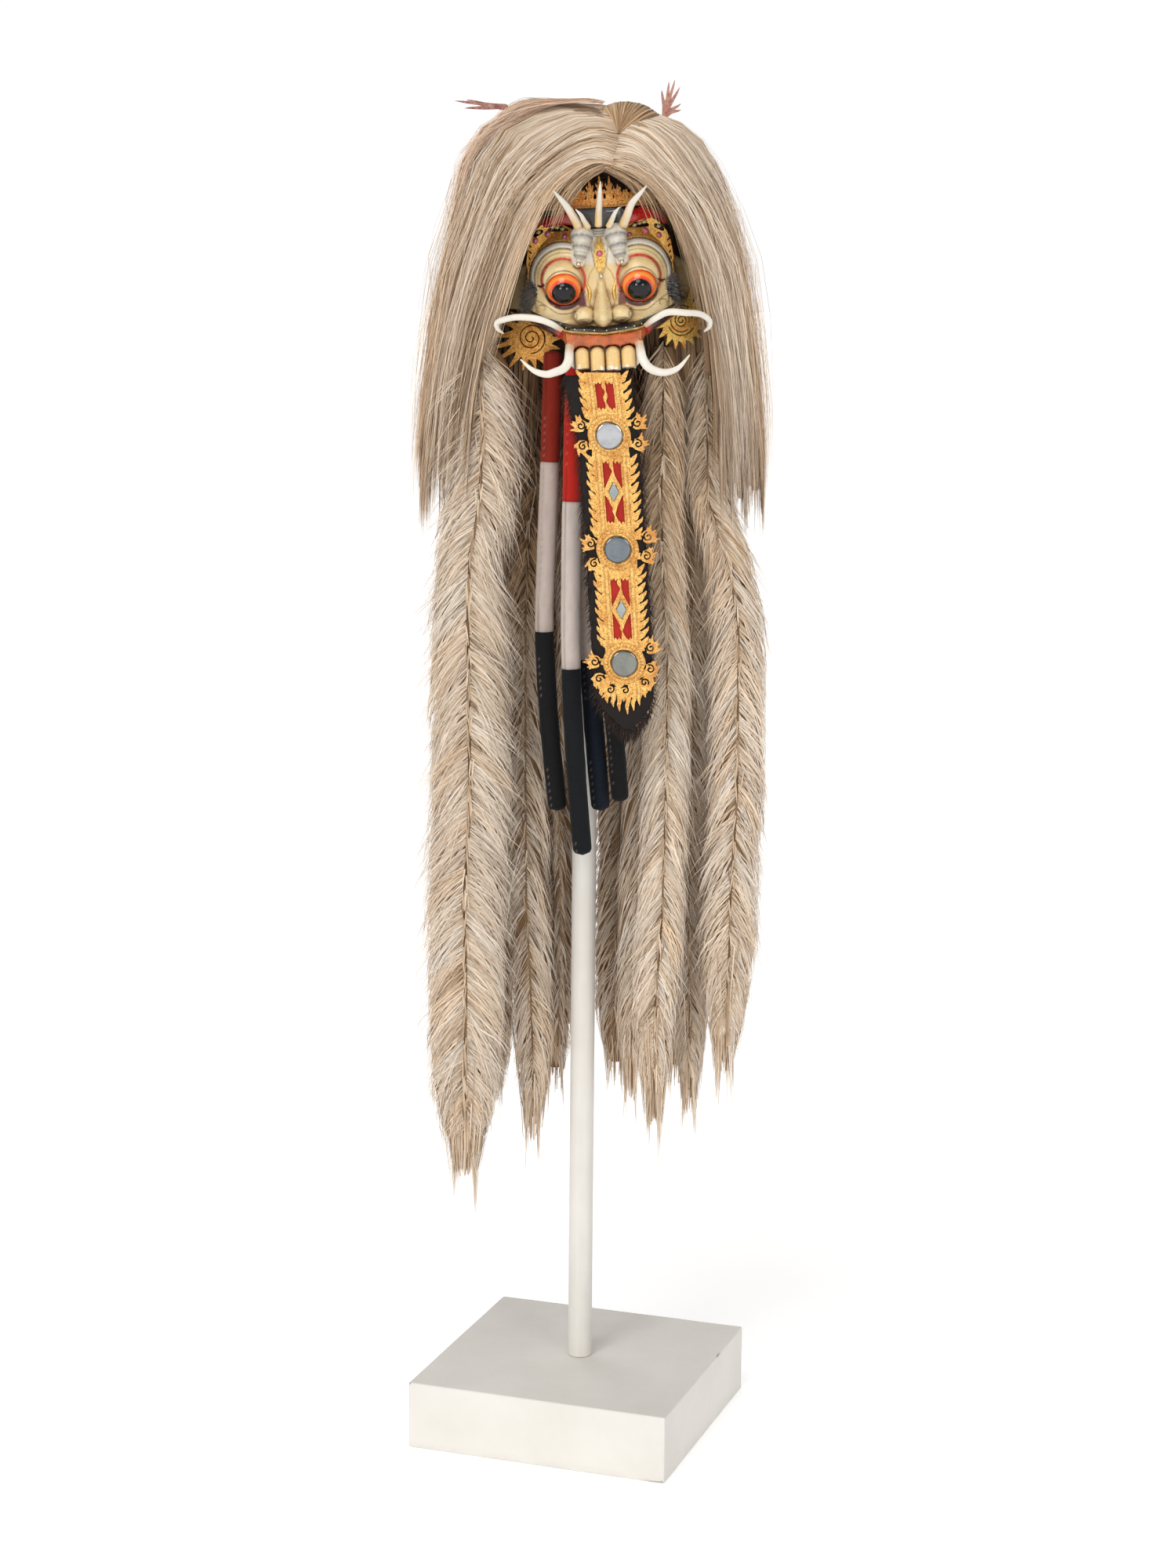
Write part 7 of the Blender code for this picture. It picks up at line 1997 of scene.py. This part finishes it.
ribbon(heap, P, N, rng.uniform(0.00025, 0.00065, m)[:, None] * (1.04 - q), tone, np.clip(rng.uniform(0.2, 0.8, m)[:, None] + 0 * q, 0.03, 0.97), rng.normal(0, 0.5, m))
m = int(260 * FEW) + 40
x0 = rng.uniform(-0.034, 0.034, m)
q = np.linspace(0, 1, 5)[None]
ln = rng.uniform(0.010, 0.026, m)[:, None] * (1 - (np.abs(x0) / 0.040) ** 2)[:, None]
zb = FUR_END + 0.004 + 1.10 * np.abs(x0) ** 1.6 * 6
zz = np.maximum(zb[:, None] + 0.006 - ln * q, FUR_END - 0.016)
P = np.stack([tongue_x(zb)[:, None] + x0[:, None] * (1 + 0.10 * q), -(0.1738 + rng.uniform(-0.0045, 0.0045, m)[:, None] + 0 * q), zz], -1)
N = np.broadcast_to(np.array([0.0, -1.0, 0.0]), P.shape)
ribbon(heap, P, N, 0.0006 * (1.04 - q), np.clip(rng.uniform(0.2, 0.7, m)[:, None] + 0.1 * q, 0.03, 0.97), 0.5 + 0.3 * rng.random(m)[:, None] + 0 * q, 0.2)
ob = heap.build("dark_fur_edge", [DARK_FUR], uv=True)
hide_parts("tongue_fur")


# ---------------------------------------------------------------- stuffed cloth tubes
# Path with radius, and the heights where one colour is sewn to the next
TUBES = {
    "a": ([(-0.0500, -0.0980, 1.6300, 0.0140), (-0.0535, -0.1000, 1.4725, 0.0142), (-0.0580, -0.1000, 1.3300, 0.0140), (-0.0600, -0.1000, 1.2277, 0.0140), (-0.0510, -0.1000, 1.0900, 0.0141), (-0.0385, -0.1000, 0.9690, 0.0138)],
          (1.4735, 1.2310), ((0.250, 0.022, 0.011), (0.500, 0.420, 0.380), (0.007, 0.007, 0.008)), 0.9),
    "b": ([(-0.0180, -0.1260, 1.6250, 0.0142), (-0.0215, -0.1260, 1.4189, 0.0144), (-0.0225, -0.1250, 1.3000, 0.0142), (-0.0210, -0.1240, 1.1764, 0.0142), (-0.0130, -0.1230, 1.0400, 0.0143), (-0.0020, -0.1220, 0.9085, 0.0140)],
          (1.4200, 1.1810), ((0.500, 0.022, 0.013), (0.610, 0.535, 0.495), (0.008, 0.009, 0.011)), 0.75),
    "c": ([(-0.0050, -0.0940, 1.6280, 0.0138), (0.0000, -0.0940, 1.3000, 0.0138), (0.0045, -0.0930, 1.2200, 0.0140), (0.0085, -0.0920, 1.1400, 0.0144), (0.0165, -0.0910, 1.0500, 0.0146), (0.0240, -0.0900, 0.9680, 0.0142)],
          (1.4500, 1.1900), ((0.420, 0.022, 0.015), (0.590, 0.505, 0.450), (0.007, 0.011, 0.020)), 0.8),
    "d": ([(0.0270, -0.1200, 1.6150, 0.0130), (0.0300, -0.1200, 1.3000, 0.0130), (0.0330, -0.1180, 1.2200, 0.0130), (0.0380, -0.1150, 1.1400, 0.0130), (0.0450, -0.1120, 1.0600, 0.0131), (0.0520, -0.1100, 0.9850, 0.0128)],
          (1.4600, 1.2300), ((0.300, 0.018, 0.012), (0.540, 0.460, 0.415), (0.008, 0.008, 0.009)), 0.8),
}


def relaxed(V, quads, held, frames, cap):
    """Cloth filled from inside: swells a little between its seams and wrinkles beside them."""
    me = bpy.data.meshes.new("stuffing")
    me.from_pydata([tuple(p) for p in V], [], [tuple(int(i) for i in f) for f in quads])
    me.update()
    ob = bpy.data.objects.new("stuffing", me)
    scene.collection.objects.link(ob)
    group = ob.vertex_groups.new(name="held")
    for i in np.nonzero(held > 0.02)[0]:
        group.add([int(i)], float(min(1.0, held[i])), "REPLACE")
    mod = ob.modifiers.new("cloth", "CLOTH")
    st = mod.settings
    st.quality = 4
    st.mass = 0.25
    st.tension_stiffness, st.compression_stiffness, st.shear_stiffness, st.bending_stiffness = 12, 12, 6, 0.15
    st.vertex_group_mass = "held"
    st.use_pressure = True
    st.uniform_pressure_force = 4.0
    st.effector_weights.gravity = 0.0
    mod.point_cache.frame_start, mod.point_cache.frame_end = 1, frames
    for f in range(1, frames + 1):
        scene.frame_set(f)
    dg = bpy.context.evaluated_depsgraph_get()
    done = ob.evaluated_get(dg).to_mesh()
    out = np.empty(len(V) * 3)
    done.vertices.foreach_get("co", out)
    out = out.reshape(-1, 3)
    bpy.data.objects.remove(ob)
    bpy.data.meshes.remove(me)
    scene.frame_set(1)
    move = out - V
    far = np.linalg.norm(move, axis=1, keepdims=True)
    if not np.isfinite(far).all():
        return V
    return V + move * np.minimum(1.0, cap / np.maximum(far, 1e-9))


def cloth_tube(key, rows, joints, colours, seed):
    rng = np.random.default_rng(seed)
    rows = np.asarray(rows)
    sides, count = ((30, 190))
    fine = smooth_path(rows, count)
    for h in joints:
        k = int(np.searchsorted(-fine[:, 2], -h))
        for dz in (0.0009, 0.00015, -0.00015, -0.0009):
            t = (fine[k - 1, 2] - (h + dz)) / (fine[k - 1, 2] - fine[k, 2])
            fine = np.vstack([fine, (fine[k - 1] + t * (fine[k] - fine[k - 1]))[None]])
        fine = fine[np.argsort(-fine[:, 2], kind="stable")]
    count = len(fine)
    C = fine[:, :3].copy()
    z = C[:, 2]
    T = unit(np.gradient(C, axis=0))
    A = unit(np.cross(T, (0, -1.0, 0)))
    B = unit(np.cross(A, T))
    ang = 2 * math.pi * np.arange(sides) / sides
    seam = math.radians(48)
    near = np.stack([np.exp(-(((z - h) / 0.0016) ** 2)) for h in joints]).max(0)
    beside = np.stack([np.exp(-(((z - h) / 0.010) ** 2)) for h in joints]).max(0)
    # long soft dents, cross wrinkles and the two kinds of seam
    turned = ang[None] + 0.35 * noise(z[:, None] * 5, seed, 161)
    slack = 1 - 0.035 * np.abs(noise(z[:, None] * 16 + seed, turned * 1.1, 162)) - 0.018 * noise(z[:, None] * 45, turned * 1.6 + seed, 163)
    creases = 0.012 * np.sin(z[:, None] * 300 + 5 * noise(turned * 1.4, z[:, None] * 8, 164)) * np.clip(noise(z[:, None] * 14, turned * 1.2, 165), 0, 1)
    gathers = 0.020 * beside[:, None] * np.sin(ang[None] * 11 + seed) - 0.050 * near[:, None]
    da = np.angle(np.exp(1j * (ang[None] - seam - 0.10 * noise(z[:, None] * 6, seed, 166))))
    run_seam = -0.050 * np.exp(-((da / 0.13) ** 2)) + 0.016 * np.exp(-(((np.abs(da) - 0.30) / 0.16) ** 2))
    r = fine[:, 3:4] * (0.985 * slack + creases + gathers + run_seam)
    end = np.minimum(1.0, np.sqrt(np.clip(1 - (1 - np.clip((z - z[-1]) / 0.010, 0, 1)) ** 2, 0.0, 1)))
    top = np.minimum(1.0, np.sqrt(np.clip(1 - (1 - np.clip((z[0] - z) / 0.006, 0, 1)) ** 2, 0.0, 1)))
    r = r * (0.16 + 0.84 * end * top)[:, None]
    V = C[:, None] + A[:, None] * (np.cos(ang)[None] * r)[..., None] + B[:, None] * (np.sin(ang)[None] * r)[..., None]
    V = V.reshape(-1, 3)
    quads = grid_faces(count, sides, close_cols=True)[:, ::-1]
    held = np.clip(np.maximum(near, np.r_[1.0, np.zeros(count - 2), 1.0])[:, None] + np.exp(-((da / 0.12) ** 2)) * 0.9, 0, 1)
    held[:2] = held[-2:] = 1.0
    V = relaxed(V, quads, held.ravel(), 14, 0.0012)
    V3 = V.reshape(count, sides, 3)
    tone = np.zeros((count, sides, 3))
    zz = np.broadcast_to(z[:, None], (count, sides))
    tone[:] = colours[0]
    tone = np.where((zz < joints[0])[..., None], colours[1], tone)
    tone = np.where((zz < joints[1])[..., None], colours[2], tone)
    tone = tone * (1 + 0.07 * noise(zz * 40, ang[None] * 2, 168) + 0.05 * noise(zz * 130, ang[None] * 5, 169))[..., None]
    tone = tone * (1 - 0.40 * np.exp(-((da / 0.07) ** 2)) - 0.22 * near[:, None])[..., None]
    edge_dirt = step(0.018, 0.0, zz - joints[1]) * (zz > joints[1])
    tone = lay(tone, edge_dirt * 0.20, (0.20, 0.17, 0.15))
    stitch = (np.abs(np.abs(da) - 0.085) < 0.030) & (np.sin(z[:, None] * 2 * math.pi / 0.0052) > 0.55)
    tone = lay(tone, stitch * 0.35, (0.30, 0.26, 0.23))
    heap = Heap()
    Vc = np.vstack([V, V3[0].mean(0), V3[-1].mean(0) + np.array([0, 0, -0.0006])])
    j, k = np.arange(sides), (np.arange(sides) + 1) % sides
    caps = np.vstack([np.stack([np.full(sides, count * sides), j, k], 1), np.stack([np.full(sides, count * sides + 1), (count - 1) * sides + k, (count - 1) * sides + j], 1)])
    heap.add(Vc, quads, caps, col=np.vstack([tone.reshape(-1, 3), tone[0, 0], tone[-1, 0]]))
    ob = heap.build(f"stuffed_tube_{key}", [TUBE_CLOTH], col=True)
    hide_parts(f"cloth_tube_{key}")


for number, (key, (rows, joints, colours, fill)) in enumerate(TUBES.items()):
    cloth_tube(key, rows, joints, colours, 3 + number)


# ---------------------------------------------------------------- wig cap and leather fronds
def net_shader():
    s = Shader("cap_cloth", Roughness=0.85, Specular_IOR_Level=0.2, Sheen_Weight=0.3, Sheen_Roughness=0.4)
    holes = s.node("ShaderNodeTexVoronoi", {"Vector": s.place()}, {"Scale": 420.0}).outputs["Distance"]
    cloud = s.grain(40.0, 4.0)
    c = s.ramp(holes, [(0.10, (0.045, 0.030, 0.025)), (0.42, (0.170, 0.120, 0.100)), (0.62, (0.290, 0.215, 0.180))])
    s.to("Base Color", s.mix(s.grey(cloud, 0.0, 0.7, 0.4, 0.7), c, (0.130, 0.088, 0.072)))
    s.to("Roughness", s.grey(holes, 0.74, 0.92, 0.1, 0.6))
    s.bump(holes, 0.7, 0.0012)
    return s.m


heap = Heap()
rows_, cols_ = 26, 60
lat = np.linspace(0.02, math.pi / 2 - 0.02, rows_)[:, None]
lon = 2 * math.pi * np.arange(cols_)[None] / cols_
for inset, flip in ((0.0, False), (0.0036, True)):
    fold = 0.0010 * noise(lat * 14, lon * 5, 171) + 0.0006 * noise(lat * 40, lon * 11, 172)
    V = np.stack([CAP_CENTRE[0] + (CAP_R[0] - inset + fold) * np.cos(lat) * np.cos(lon), CAP_CENTRE[1] + (CAP_R[1] - inset + fold) * np.cos(lat) * np.sin(lon),
                  CAP_CENTRE[2] + (CAP_R[2] - inset + fold) * np.sin(lat) + 0 * lon], -1)
    f = grid_faces(rows_, cols_, close_cols=True)
    t = np.stack([np.full(cols_, rows_ * cols_), (rows_ - 1) * cols_ + np.arange(cols_), (rows_ - 1) * cols_ + (np.arange(cols_) + 1) % cols_], 1)
    tip_ = np.array([[CAP_CENTRE[0], CAP_CENTRE[1], CAP_CENTRE[2] + CAP_R[2] - inset]])
    heap.add(np.vstack([V.reshape(-1, 3), tip_]), f[:, ::-1] if flip else f, t[:, ::-1] if flip else t)
    if flip:
        low2 = V[0]
    else:
        low1 = V[0]
j = np.arange(cols_)
heap.add(np.vstack([low1, low2]), np.stack([j, cols_ + j, cols_ + (j + 1) % cols_, (j + 1) % cols_], 1))
ob = heap.build("wig_cap_net", [net_shader()], sharp=60)
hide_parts("wig_cap")


def leather_shader():
    s = Shader("red_leather", Roughness=0.60, Specular_IOR_Level=0.35)
    p = s.paint()
    pores = s.node("ShaderNodeTexVoronoi", {"Vector": s.place()}, {"Scale": 900.0}).outputs["Distance"]
    worn = s.grain(150.0, 5.0, 0.68)
    c = s.mix(s.grey(worn, 0.0, 0.8, 0.45, 0.70), p, (0.640, 0.430, 0.320))
    s.to("Base Color", s.mix(s.grey(pores, 0.0, 0.35, 0.4, 0.8), c, s.mix(1.0, p, (0.5, 0.4, 0.4), "MULTIPLY")))
    s.to("Roughness", s.grey(worn, 0.50, 0.75, 0.3, 0.7))
    s.bump(pores, 0.35, 0.0006)
    return s.m


LEATHER = leather_shader()


def frond(name, node, M, tips, colour, stem=0.0060):
    heap = Heap()
    place_ = on_plane(M)

    def field(u, v):
        f = stroke(u, v, [(0, -0.004), (0, 0.010)], [stem, stem * 0.8])
        for ang, ln, bend in tips:
            a = math.radians(90 + ang)
            pts = flame_pts(0.0, 0.004, a, ln, bend)
            f = np.maximum(f, stroke(u, v, pts, np.array([0.0034, 0.0031, 0.0027, 0.0024, 0.0020, 0.0014, 0.0003])))
        return f

    def lift(u, v):
        r = np.hypot(u, v)
        return 0.0040 * np.sin(np.clip(r / 0.06, 0, 1) * 2.4) * np.cos(u * 55)

    def world(u, v, h):
        return place_(u, v, h + lift(u, v))

    cut_sheet(heap, field, (-0.046, 0.046, -0.010, 0.070), 0.0011, world, 0.0016, lambda u, v: granulated(u, v, 181, 0.0002),
              lambda u, v: np.asarray(colour) * (0.9 + 0.25 * noise(u * 300, v * 300, 183))[..., None] + np.zeros((*np.shape(u), 3)), back_tone=tuple(np.asarray(colour) * 0.7), merge=2)
    ob = heap.build(name, [LEATHER], sharp=50, col=True)
    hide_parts(node)


frond("pinkish_frond", "frond_right", facing_front(0.1030, -0.0240, 1.9520, turn=8, roll=-14),
      [(-16, 0.048, 0.005), (-3, 0.054, 0.003), (9, 0.050, -0.003), (-44, 0.030, 0.008), (-62, 0.026, 0.010), (24, 0.038, -0.004)], (0.480, 0.220, 0.170), 0.0042)
frond("dark_red_frond", "frond_left", facing_front(-0.1250, -0.0340, 1.9680, turn=-8, roll=84),
      [(-7, 0.048, 0.003), (0, 0.064, -0.002), (7, 0.050, 0.003)], (0.300, 0.115, 0.105), 0.0046)
